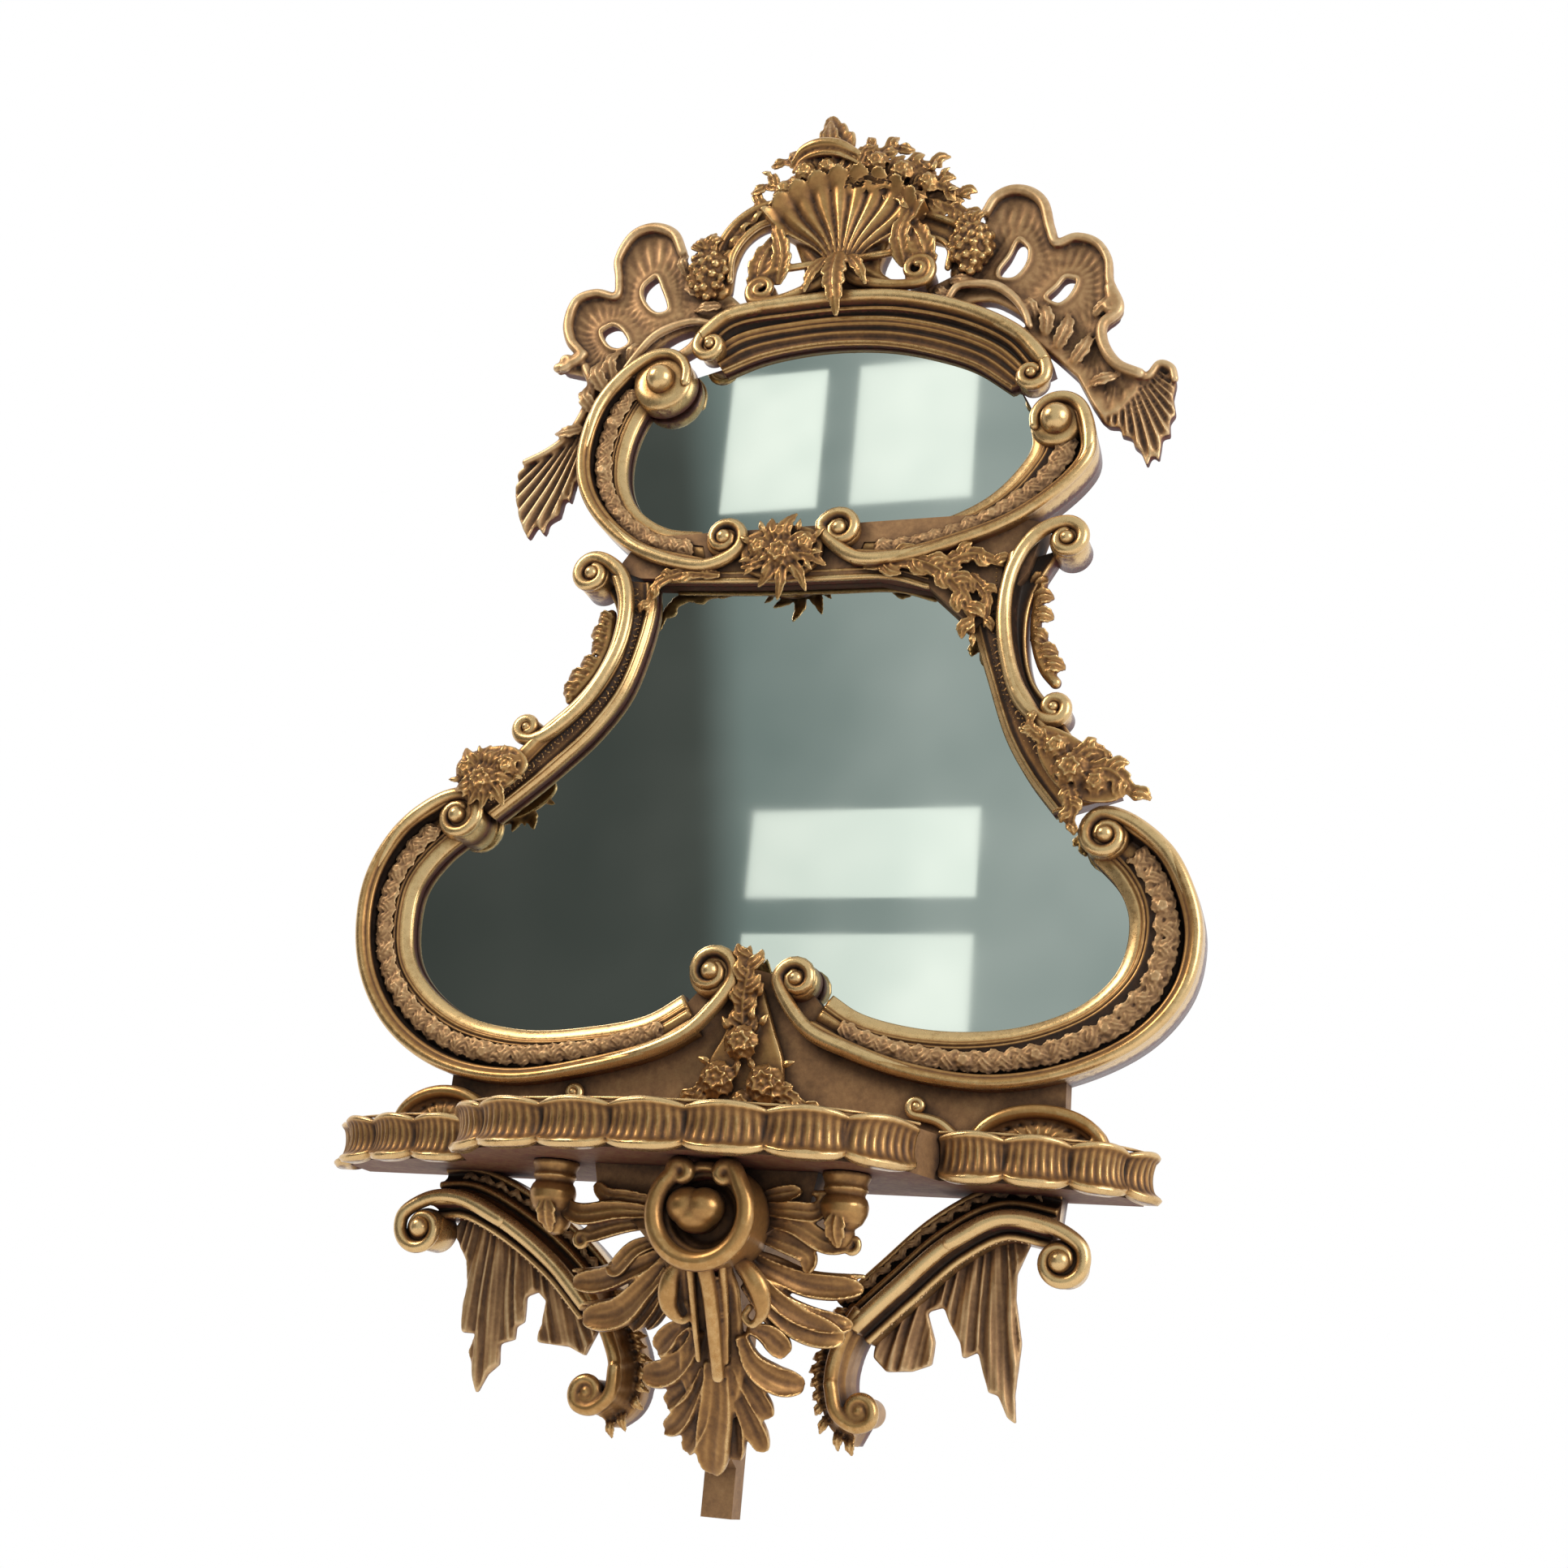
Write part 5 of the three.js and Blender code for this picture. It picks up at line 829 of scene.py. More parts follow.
MEMBERS = {
    "oval_left": dict(
        sight=[(-181, 1192), (-206, 1165), (-221, 1120), (-219, 1073), (-200, 1038), (-165, 1014),
               (-122, 1006)],
        rim=[(-232, 1206), (-259, 1168), (-271, 1111), (-263, 1065), (-236, 1022), (-184, 980), (-108, 957)],
        ends=[dict(centre=(-186, 1194), start=(-215, 1217), turns=0.42, hand=-1, tighten=0.8, back=18,
                   eye=17),
              dict(centre=(-88, 988), start=(-85, 965), turns=1.25, hand=1, tighten=0.3, back=18)]),
    "oval_right": dict(
        sight=[(238, 1106), (241, 1079), (224, 1050), (197, 1024), (159, 1005), (117, 995), (74, 994)],
        rim=[(296, 1110), (304, 1063), (291, 1038), (233, 992), (163, 966), (105, 953), (60, 956)],
        ends=[dict(centre=(269, 1100), start=(294, 1114), turns=0.45, hand=1, tighten=0.8, back=18, eye=17),
              dict(centre=(42, 990), start=(21, 982), turns=1.3, hand=-1, tighten=0.3, back=18)]),
    "oval_arch": dict(
        sight=[(-119, 1208), (-75, 1223), (-17, 1230), (30, 1229), (78, 1222), (124, 1208), (171, 1187),
               (214, 1154)],
        rim=[(-143, 1246), (-113, 1271), (-37, 1279), (40, 1278), (96, 1270), (168, 1245), (222, 1211),
             (253, 1172)],
        style="arch",
        ends=[dict(centre=(-131, 1234), start=(-146, 1241), turns=0.9, hand=1, back=18),
              dict(centre=(240, 1158), start=(256, 1162), turns=0.9, hand=-1, back=18)]),
    "waist_left": dict(
        sight=[(-170, 945), (-167, 915), (-174, 867), (-190, 816), (-219, 773), (-256, 736), (-294, 703),
               (-326, 677)],
        rim=[(-232, 950), (-214, 915), (-214, 872), (-228, 838), (-252, 808), (-288, 780), (-325, 738),
             (-365, 708)],
        bead=[(-221, 968), (-203, 950), (-193, 915), (-197, 866), (-226, 807), (-262, 771), (-283, 761)],
        style="waist",
        ends=[dict(centre=(-240, 955), start=(-228, 972), turns=1.05, hand=1),
              dict(centre=(-293, 775), start=(-290, 762), turns=1.0, hand=-1)]),
    "waist_right": dict(
        sight=[(166, 934), (183, 898), (197, 849), (209, 811), (230, 750), (252, 710), (280, 672)],
        rim=[(276, 958), (250, 908), (245, 862), (254, 815), (280, 778), (306, 738), (345, 692)],
        bead=[(262, 974), (245, 959), (230, 928), (224, 881), (230, 832), (244, 789), (264, 766)],
        style="waist",
        ends=[dict(centre=(286, 961), start=(274, 977), turns=1.05, hand=-1),
              dict(centre=(280, 776), start=(274, 763), turns=1.05, hand=1)]),
    "lobe_left": dict(
        sight=[(-344, 664), (-381, 633), (-402, 600), (-405, 560), (-396, 521), (-370, 489), (-322, 460),
               (-256, 447), (-187, 451), (-123, 464), (-86, 486)],
        rim=[(-380, 697), (-425, 665), (-452, 615), (-456, 560), (-440, 500), (-400, 446), (-339, 409),
             (-263, 396), (-176, 408), (-101, 429), (-64, 450)],
        ends=[dict(centre=(-361, 676), start=(-368, 701), turns=1.1, hand=-1),
              dict(centre=(-52, 506), start=(-34, 487), turns=1.25, hand=1, tighten=0.3, back=18)]),
    "lobe_right": dict(
        sight=[(322, 622), (345, 596), (357, 568), (356, 535), (345, 508), (315, 480), (265, 460), (207, 453),
               (150, 457), (100, 470), (72, 487)],
        rim=[(358, 657), (394, 625), (416, 577), (421, 539), (410, 492), (375, 449), (312, 416), (240, 402),
             (165, 409), (100, 428), (52, 450)],
        ends=[dict(centre=(335, 643), start=(345, 664), turns=1.3, hand=1, tighten=0.3),
              dict(centre=(38, 499), start=(21, 488), turns=1.25, hand=-1, tighten=0.3, back=18)]),
}


def member_lines(spec, stations=150):
    sight = route(spec["sight"], stations)
    rim = route(spec["rim"], stations)
    return sight, rim, np.linalg.norm(rim - sight, axis=1), unit(rim - sight)


HANGER_POCKETS = {"oval_left": -251, "oval_right": 280}  # x of the pocket that a hanger lies in
POCKET_HALF, POCKET_FOOT, POCKET_HEAD, POCKET_DEEP = 13.0, 1059.0, 1123.0, 9.0


def pocketed(lump, x):
    """Cuts the flat-bottomed pocket for a hanger out of the back of a moulding."""
    obj = crisp("moulding", [lump])
    corners = [(x + i * POCKET_HALF, POCKET_FOOT if j < 0 else POCKET_HEAD, POCKET_DEEP if k > 0 else -5)
               for k in (-1, 1) for j in (-1, 1) for i in (-1, 1)]
    room = crisp("pocket", [(on_face(corners), [(0, 1, 3, 2), (4, 5, 7, 6), (0, 1, 5, 4), (2, 3, 7, 6),
        (0, 2, 6, 4), (1, 3, 7, 5)])])
    cut = obj.modifiers.new("pocket", "BOOLEAN")
    cut.operation = "DIFFERENCE"
    cut.solver = "EXACT"
    cut.object = room
    left = lump_of(plain(obj))
    bpy.data.objects.remove(room)
    return left


def member(name, spec):
    """A scrolled member: its mouldings run from end to end, and the bead rolls up in a volute at each end."""
    style = spec.get("style", "scroll")
    sight, _, width, across = member_lines(spec)
    section = np.array([scroll_section(w, style) for w in width])
    rings = sight[:, None] + across[:, None] * section[..., :1] + FORWARD * section[..., 1:]
    bead = spec.get("bead", spec["rim"])
    first, last = spec["ends"]
    body = skin(rings)
    if name in HANGER_POCKETS:
        body = pocketed(body, HANGER_POCKETS[name])
    lumps = [body, *scroll_end(bead[:3][::-1], **first), *scroll_end(bead[-3:], **last)]
    if style == "waist":
        lumps.append(rod(route(bead, 90, BEAD_DEPTH), BEAD_RADIUS - 0.6, 18))
    finished(crisp(f"{name}_mouldings", lumps), "burnished_gilding", name)


def band_line(spec, share, depth, first=0.06, last=0.94, sway=0.0, waves=0, count=200):
    """A line along a member's band, at a share of its width, swaying from side to side."""
    sight, _, width, across = member_lines(spec, count)
    s = np.linspace(0, 1, count + 1)
    line = sight + across * (width * share + sway * np.sin(TAU * waves * s))[:, None] + FORWARD * depth
    keep = (s >= first) & (s <= last)
    return line[keep]


def band_carving(name, spec, seed):
    """The carved band of a scroll member: a swaying stem, leaves to both sides, berries and small flowers."""
    length = np.linalg.norm(np.diff(member_lines(spec)[0], axis=0), axis=1).sum()
    waves = max(3, round(length / 70))
    middle = band_line(spec, 0.58, 33.0)
    lumps = [rod(band_line(spec, 0.58, 34.5, sway=3.4, waves=waves), 1.9, 8), rod(band_line(spec, 0.58, 31.5),
        7.5, 12, 0.4)]
    lumps.append(row(middle, MOTIF["leaf"], 9.0, (1.05, 1.5), 52, seed))
    lumps.append(row(band_line(spec, 0.71, 32.8), MOTIF["leaf"], 9.5, (0.85, 1.15), 24, seed + 1))
    lumps.append(row(band_line(spec, 0.45, 33.0), MOTIF["leaf"], 9.0, (0.85, 1.15), -28, seed + 2))
    lumps.append(row(band_line(spec, 0.58, 36.0, sway=5.0, waves=waves), MOTIF["berry"], 12.0, (1.6, 2.6), 0,
                     seed + 3))
    rng = np.random.default_rng(seed)
    spots = band_line(spec, 0.58, 35.5, 0.1, 0.9, count=400)
    for k in range(waves):
        x, y, z = spots[int((k + 0.5) / waves * (len(spots) - 1))]
        lumps += flower(x, z, -y, 8.2 * rng.uniform(0.85, 1.1), rng.uniform(0, 1), 5)
    finished(carved(f"{name}_band", lumps, 1.25, 1), "matte_gilding")


def waist_carving(name, spec, seed):
    """The punched band inside the waist bead, and the fine pearls beside it."""
    punched = band_line(spec, 0.36, 32.6, 0.03, 0.97)
    lumps = [row(band_line(spec, 0.42, 33.4, 0.03, 0.97), MOTIF["berry"], 4.6, (1.5, 1.7), 0, seed),
             row(band_line(spec, 0.27, 32.0, 0.03, 0.97), MOTIF["berry"], 4.6, (1.3, 1.5), 0, seed),
             row(punched, MOTIF["gadroon"], 7.0, (0.5, 0.6), 40, seed)]
    finished(carved(f"{name}_punched_band", lumps, 1.0, 0), "burnished_gilding")


# ---------------------------------------------------------------- rail, apron, flowers and leaves

RAIL_SIGHT = [(-150, 947), (-60, 941), (30, 938), (100, 935), (140, 922)]


def tooled(depth, pitch):
    """Relief of a ground that was gone over with a gouge: shallow strokes side by side."""
    def relief(x, z, edges):
        wobble = np.sin(x / 17.0) + np.sin(z / 13.0 + 1.0)
        return depth * np.cos(TAU * (x * 0.5 + z * 0.5 + 2.2 * wobble) / pitch) * ease(edges[0], 0, 6)
    return relief


def rail_pieces():
    lumps = [rod(route(RAIL_SIGHT, 90, 31.5), 3.6, 14),
             rod(route([(p[0], p[1] + 8) for p in RAIL_SIGHT], 90, 33), 1.8, 10)]
    finished(crisp("rail_bead", lumps), "burnished_gilding")


def apron():
    lumps = []
    for (x, z), hand in (((-190, 383), 1), ((165, 379), -1)):
        places = [(x - hand * 46, z - 34, 28), (x - hand * 22, z - 14, 31),
                  *curl((x, z), (x, z - 9), 1.1, hand, 0.3, 33)]
        lumps.append(rod(route(places, 50), lambda s: 5.2 - 1.6 * s, 14))
        lumps.append(ball(x, z, 32, 5.5))
    finished(crisp("apron_curls", lumps), "burnished_gilding")


def middle_flowers():
    rng = np.random.default_rng(11)
    lumps = [plate([(-62, 950), (-66, 985), (-21, 999), (22, 985), (18, 950), (-20, 936)], RAIL_FRONT, 44,
                   bevel=3)]
    lumps += flower(-20, 962, 47, 19, 0.3, 6)
    lumps += flowers((-46, 972, 46, 13, 0.6), (6, 974, 46, 13, 0.2), (-22, 988, 46, 12, 0.9))
    for x, z, angle in ((-20, 940, 268), (-34, 946, 240), (-6, 944, 300), (-58, 958, 200), (-60, 980, 150),
                        (20, 960, -10), (20, 982, 40), (-2, 992, 80), (-42, 992, 110), (-36, 958, 215),
                        (-4, 958, 320), (-52, 944, 225), (12, 946, 310)):
        lumps.append(bud(x, z, 49 + rng.uniform(-2, 2), 6.4, angle))
    lumps += leaves_round(rng, -20, 964, 43, 9, 50, 17, 10)
    carve("middle_flowers", lumps)


def leaf_branch(rng, places, width, count, reach, side_width):
    """A leaf along a line, with smaller leaves that spring from both sides of it."""
    lumps = [leaf(places, width, 7, lobes=6, cut=0.3)]
    line = route(places, 60)
    along, across, _ = frames(line)
    for k in range(count):
        i = int((0.12 + 0.76 * k / max(count - 1, 1)) * 60)
        hand = -1 if k % 2 else 1
        base, way = line[i], unit(along[i] * 0.75 + across[i] * hand)
        size = reach * rng.uniform(0.85, 1.15)
        points = [base, base + way * size * 0.55 + FORWARD * 2.0, base + unit(way + along[i] * 0.5) * size]
        lumps.append(leaf([(p[0], p[2], -p[1]) for p in points], side_width * 1.3, 6.5, lobes=3, cut=0.2,
                          tip=0.16, steps=22))
    return lumps


def branches(rng, *each):
    return [lump for one in each for lump in leaf_branch(rng, *one)]


def corner_leaves():
    rng = np.random.default_rng(5)
    right = branches(rng, ([(70, 946, 38), (130, 946, 42), (172, 918, 43), (189, 885, 42), (193, 851, 36)],
                           22, 9, 24, 13),
                     ([(150, 938, 38), (188, 950, 42), (222, 936, 38)], 22, 4, 18, 11),
                     ([(186, 930, 38), (206, 900, 41), (204, 868, 37)], 16, 4, 16, 9))
    right += [bud(193, 856, 38, 7, 275), bud(176, 900, 44, 5, 250), ball(166, 926, 43, 6)]
    left = leaf_branch(rng, [(-90, 946, 38), (-135, 948, 41), (-164, 936, 40), (-173, 903, 35)], 17, 5, 16, 9)
    carve("corner_leaf_right", right)
    carve("corner_leaf_left", left)


def shoulder_flowers():
    rng = np.random.default_rng(7)
    left = [plate([(-298, 748), (-280, 728), (-300, 704), (-335, 692), (-360, 708), (-364, 733), (-336, 748)],
                  50.4, 55.5, bevel=2)]
    left += flowers((-330, 711, 56, 18, 0.2, 6), (-303, 728, 56, 14, 0.5), (-352, 725, 55, 12, 0.9))
    left += leaves_round(rng, -328, 716, 51, 10, 40, 17, 5, rise=7)
    left += buds(55, 6, (-312, 742, 70), (-346, 698, 230), (-318, 694, 290), (-338, 742, 100),
                 (-290, 714, -20), (-362, 712, 180))
    right = [plate([(272, 752), (268, 725), (292, 686), (322, 672), (350, 676), (340, 704), (304, 740)], 50.4,
                   55.5, bevel=2)]
    right += flowers((302, 706, 56, 17, 0.1, 6), (286, 730, 55, 13, 0.5), (326, 692, 55, 13, 0.9))
    right += branches(rng, ([(316, 704, 54), (342, 702, 57), (366, 674, 50)], 26, 4, 20, 13),
                      ([(300, 712, 54), (320, 726, 56), (340, 722, 50)], 20, 3, 15, 10),
                      ([(276, 736, 54), (262, 748, 55), (256, 764, 50)], 16, 3, 12, 8),
                      ([(300, 690, 54), (304, 668, 55), (300, 646, 49)], 20, 4, 14, 9))
    finished(carved("shoulder_left_carving", left, 1.3), "burnished_gilding", "shoulder_flowers_left")
    finished(carved("shoulder_right_carving", right, 1.3), "burnished_gilding", "shoulder_flowers_right")


def garland():
    rng = np.random.default_rng(9)
    lumps = [plate([(-48, 414), (-34, 446), (-20, 506), (-8, 506), (18, 448), (30, 414), (26, 372),
                    (-42, 372)], 27.4, 37, bevel=3)]
    lumps += leaf_branch(rng, [(-12, 432, 36), (-15, 474, 41), (-11, 508, 46), (-14, 533, 41)], 24, 8, 20, 12)
    lumps += flowers((-12, 434, 44, 18, 0.2, 6), (-34, 398, 41, 19, 0.4, 6), (16, 394, 42, 20, 0.7, 6))
    lumps += flower(-8, 376, 40, 13, 0.1)
    lumps += branches(rng, ([(8, 388, 36), (38, 384, 40), (64, 368, 34)], 20, 4, 16, 11),
                      ([(-28, 394, 36), (-50, 388, 40), (-68, 366, 34)], 20, 4, 16, 11))
    lumps += buds(42, 6.6, (-30, 452, 120), (8, 456, 60), (-26, 480, 110), (2, 486, 70), (-48, 416, 160),
                  (36, 414, 20), (-14, 412, 270), (-52, 372, 230), (40, 366, 310), (0, 414, 300),
                  (-4, 462, 80))
    carve("garland", lumps)


def waist_leaves(side, stem, tips):
    """Fluted leaves outside the waist, each opening like a small shell."""
    lumps = [rod(route(stem, 40, 18), 6.2, 12)]
    for a, b in tips:
        middle = ((a[0] + b[0]) / 2, (a[1] + b[1]) / 2 + 2, 23)
        lumps.append(leaf([(*a, 17), middle, (*b, 15)], 20, 6.5, lobes=5, cut=0.22, tip=0.3, belly=0.66,
                          cup=0.4))
    carve(f"waist_leaves_{side}", lumps)


WAIST_LEAVES = {
    "left": ([(-222, 915), (-222, 880), (-234, 848), (-258, 816)],
             [((-216, 904), (-238, 910)), ((-216, 888), (-245, 893)), ((-220, 872), (-242, 874)),
              ((-226, 850), (-253, 859)), ((-234, 838), (-265, 842)), ((-246, 824), (-269, 825))]),
    "right": ([(258, 925), (254, 895), (254, 862), (264, 828), (276, 812)],
              [((248, 918), (263, 930)), ((248, 902), (270, 908)), ((248, 884), (271, 885)),
               ((248, 864), (265, 859)), ((254, 844), (277, 845)), ((260, 830), (285, 829))]),
}

# ---------------------------------------------------------------- crest

WING = {
    "left": dict(
        line=[(-325, 1231), (-297, 1243), (-313, 1266), (-320, 1292), (-312, 1322), (-289, 1329),
              (-262, 1322), (-262, 1345), (-266, 1372), (-250, 1404), (-226, 1411), (-199, 1399),
              (-184, 1370)],
        root=[(-170, 1345), (-150, 1320), (-122, 1312), (-104, 1294), (-112, 1270), (-150, 1245),
              (-205, 1215), (-248, 1190), (-275, 1200), (-290, 1220)],
        holes=[[(-217, 1348), (-231, 1337), (-233, 1324), (-222, 1303), (-208, 1293), (-195, 1297),
                (-205, 1328)],
               [(-266, 1287), (-279, 1280), (-267, 1256), (-251, 1250), (-239, 1258), (-253, 1281)],
               [(-212, 1240), (-198, 1254), (-180, 1264), (-160, 1267), (-166, 1252), (-190, 1238)]],
        c_bead=[(-236, 1219), (-222, 1240), (-205, 1259), (-181, 1270), (-156, 1273), (-138, 1268)],
        eyes=[(-212, 1318, 44), (-262, 1268, 44), (-180, 1290, 60)],
        drop=[(-293, 1237), (-279, 1203), (-285, 1172), (-301, 1142), (-324, 1123), (-362, 1105),
              (-363, 1074), (-353, 1042), (-339, 1016), (-330, 1034), (-319, 1019), (-316, 1036),
              (-303, 1043), (-300, 1066), (-292, 1060), (-288, 1088), (-276, 1087), (-272, 1118),
              (-262, 1150), (-262, 1196), (-262, 1222)],
        drop_line=[(-292, 1232), (-280, 1203), (-286, 1172), (-302, 1142), (-325, 1124), (-352, 1112)],
        drop_eye=(-268, 1190), tip=[(-296, 1246), (-310, 1238), *curl((-316, 1238), (-322, 1232), 0.8, 1, 0.4,
            32)]),
    "right": dict(
        line=[(176, 1376), (187, 1395), (204, 1402), (224, 1397), (240, 1381), (250, 1345), (258, 1326),
              (278, 1331), (300, 1322), (314, 1299), (317, 1270), (328, 1234), (312, 1218), (312, 1196),
              (328, 1167), (352, 1153)],
        root=[(350, 1135), (330, 1112), (312, 1108), (302, 1125), (285, 1160), (262, 1185), (225, 1222),
              (170, 1255), (122, 1268), (112, 1290), (138, 1302), (160, 1318)],
        holes=[[(215, 1341), (227, 1327), (226, 1306), (212, 1289), (195, 1292), (193, 1302), (204, 1320)],
               [(269, 1286), (282, 1281), (275, 1259), (262, 1250), (247, 1261), (258, 1274)],
               [(160, 1263), (184, 1266), (207, 1254), (224, 1238), (226, 1228), (198, 1241)]],
        c_bead=[(141, 1268), (150, 1282), (172, 1283), (193, 1278), (212, 1263), (227, 1241), (233, 1222)],
        eyes=[(210, 1314, 44), (265, 1266, 44), (300, 1200, 50), (170, 1290, 60)],
        drop=[(312, 1196), (318, 1182), (330, 1164), (345, 1154), (360, 1152), (371, 1166), (376, 1172),
              (387, 1160), (389, 1145), (386, 1128), (389, 1109), (383, 1100), (384, 1084), (376, 1084),
              (373, 1055), (366, 1066), (361, 1049), (354, 1068), (347, 1074), (345, 1084), (334, 1088),
              (332, 1098), (320, 1100), (312, 1108), (302, 1130)],
        drop_line=[(314, 1192), (320, 1178), (332, 1163), (347, 1153), (361, 1153), (372, 1166), (384, 1160),
                   (388, 1146)],
        drop_eye=(330, 1192), tip=[(318, 1262), (320, 1248), *curl((321, 1240), (327, 1235), 0.8, -1, 0.4,
            32)]),
}


def fluting(eyes, pitch, depth):
    """Relief of flutes that radiate from several eyes (x, z, radius); each has its say near itself."""
    def relief(x, z, edges):
        rows, shares = [], []
        for cx, cz, radius in eyes:
            away = np.hypot(x - cx, z - cz)
            turn = np.arctan2(z - cz, x - cx)
            count = round(TAU * radius / pitch)
            rows.append(np.cos(count * turn + 0.04 * away))
            shares.append(np.exp(-(away / radius) ** 2))
        shares = np.array(shares)
        wave = (np.array(rows) * shares).sum(axis=0) / shares.sum(axis=0)
        rim = np.min(edges, axis=0)
        return depth * wave * ease(rim, 3, 16) - 3.2 * ease(rim, 5, 22)
    return relief


def wing(side, flute_pitch):
    spec = WING[side]
    line = route(spec["line"], 60, CREST_FRONT)
    edge = [(p[0], p[2]) for p in line]
    lumps = [board([*edge, *spec["root"]], CREST_BACK, CREST_FRONT - 4,
                   fluting(spec["eyes"], flute_pitch / MM, 0.9), spec["holes"], smooth=False)]
    rim = route(spec["line"], 150, CREST_FRONT + 1)
    lumps.append(rod(rim, lambda s: 5.6 + 0.8 * math.sin(9 * s), 14))
    lumps.append(rod(rim + FORWARD * -8, 4.2, 12))
    for hole in spec["holes"][:2]:
        loop = smooth_line(on_face([*hole, hole[0], hole[1]], CREST_FRONT - 4), dense=10)
        lumps.append(rod(even(loop, 60), 3.2, 10))
    lumps.append(rod(route(spec["c_bead"], 70, CREST_FRONT + 4), lambda s: 5.4 - 1.2 * abs(2 * s - 1), 14))
    lumps.append(rod(route(spec["tip"], 40, CREST_FRONT), lambda s: 7 - 2.5 * s, 14))
    lumps.append(ball(*spec["tip"][-1][:2], CREST_FRONT, 4.5))
    lumps.append(board(spec["drop"], CREST_BACK, CREST_FRONT - 8, pleats(spec["drop_eye"], 8.0, 3.2),
                       smooth=False, bevel=2))
    drop_rim = route(spec["drop_line"], 70, CREST_FRONT - 4)
    lumps.append(rod(drop_rim, lambda s: 5.6 - 1.5 * s, 14))
    rng = np.random.default_rng(21 if side == "left" else 22)
    hand = -1 if side == "left" else 1
    for x, z, angle, size in LEAF_SPOTS[side]:
        a = math.radians(angle)
        way = [(x, z, 26), beside(x, z, size * 0.55, a, 32 + rng.uniform(0, 3)),
               beside(x, z, size, a + 0.25 * hand, 25)]
        lumps.append(leaf(way, size * 0.5, 6, lobes=4, cut=0.3, steps=24))
    carve(f"wing_{side}", lumps, 1.6, slot="matte_gilding")


LEAF_SPOTS = {
    "left": [(-262, 1196, 118, 44), (-270, 1170, 130, 40), (-255, 1210, 95, 40), (-284, 1150, 200, 36),
             (-236, 1230, 70, 30), (-130, 1296, 200, 34), (-150, 1312, 160, 34), (-116, 1286, 230, 28),
             (-176, 1340, 110, 30)],
    "right": [(262, 1196, 62, 44), (280, 1176, 50, 40), (250, 1214, 88, 40), (300, 1150, 0, 34),
              (238, 1236, 110, 30), (140, 1296, -20, 34), (156, 1312, 20, 34), (124, 1288, -50, 28),
              (300, 1232, 40, 30)],
}


def pleats(eye, pitch, depth):
    """Relief of drapery pleats that fan out from an eye, deeper toward the ragged foot."""
    def relief(x, z, edges):
        away = np.hypot(x - eye[0], z - eye[1])
        turn = np.arctan2(x - eye[0], eye[1] - z)
        count = TAU * 90 / pitch
        wave = np.cos(count * turn + 0.6 * np.sin(away / 22))
        wave = np.sign(wave) * np.abs(wave) ** 0.8
        return depth * wave * ease(away, 8, 60) * ease(edges[0], 0, 4)
    return relief


def shell(flutes):
    """The shell: a ruffled fan of tall flutes over a base tooled with a gouge, with a volute at each foot."""
    spread = np.linspace(0, 1, flutes * 12 + 1)
    lean = (spread - 0.46)[None] * 1.72
    share = np.linspace(0, 1, 44)[:, None]
    flute = np.abs(np.cos(math.pi * flutes * spread))[None] ** 0.75
    reach = 18 + (140 - 18) * share
    reach = reach * (1 - 0.11 * lean ** 2) * (1 - 0.05 * (1 - flute) * share)
    waist = 0.62 + 0.38 * ease(share, 0.1, 0.75)
    x = 13 + reach * np.sin(lean * waist)
    z = 1300 + reach * np.cos(lean * waist * 0.96)
    roll = 10 * ease(share, 0.82, 1.0)
    swell = (5.5 + 2.5 * share) * flute * np.minimum(1, 3 * share + 0.3)
    d = 36 + 16 * share ** 1.4 + roll + swell - 7 * lean ** 2
    front = np.stack([x, -d, z], axis=-1)
    rear = front.copy()
    rear[..., 1] = -(CREST_BACK + 14 + 12 * share - 4 * lean ** 2 * share + roll * 0.8)
    lumps = [skin(np.concatenate([front, rear[:, ::-1]], axis=1))]
    lumps.append(board([(-62, 1415), (-40, 1350), (-30, 1312), (-60, 1290), (20, 1282), (85, 1292),
                        (60, 1316), (68, 1352), (90, 1405), (50, 1430), (-20, 1432)], CREST_BACK,
                        CREST_FRONT + 4, tooled(1.0, 9)))
    for hand, (cx, cz), outer in ((-1, (-76, 1299), 17), (1, (106, 1304), 19)):
        places = [(13 + hand * 8, 1312, 40), (13 + hand * 26, 1298, 42), (cx - hand * 22, cz - outer + 2, 42),
                  *curl((cx, cz), (cx, cz - outer), 1.5, hand, 0.25, 42, 4)]
        lumps.append(rod(route(places, 110), lambda s: 7.4 - 3.4 * s, 16))
        lumps.append(turned(cx, cz, [(0.5, CREST_BACK), (outer - 3, CREST_BACK), (outer - 2, 34),
            (outer - 5, 38), (0.5, 39)]))
        lumps.append(rod(route([(13 + hand * 12, 1330, 38), (cx - hand * 8, cz + outer + 6, 42),
            (cx + hand * 4, cz + outer + 1, 40)], 40), 4.5, 12))
        tip = (13 + hand * 66, 1384, 38)
        lumps.append(leaf([(cx + hand * 8, cz, 34), (cx + hand * 2, cz + 36, 44), tip], 34, 8, lobes=5,
                          cut=0.28))
        lumps.append(leaf([(cx - hand * 16, cz + 8, 38), (cx - hand * 22, cz + 44, 48),
                           (cx - hand * 6, cz + 92, 46)], 26, 7, lobes=5, cut=0.28))
    lumps.append(leaf([(13, 1336, 46), (14, 1300, 57), (18, 1268, 60), (20, 1247, 53)], 32, 8, lobes=5,
                      cut=0.3))
    lumps.append(leaf([(0, 1330, 46), (-14, 1306, 54), (-22, 1284, 50)], 18, 6, lobes=4))
    lumps.append(leaf([(26, 1330, 46), (42, 1306, 54), (50, 1286, 50)], 18, 6, lobes=4))
    carve("crest_shell", lumps, 1.5)


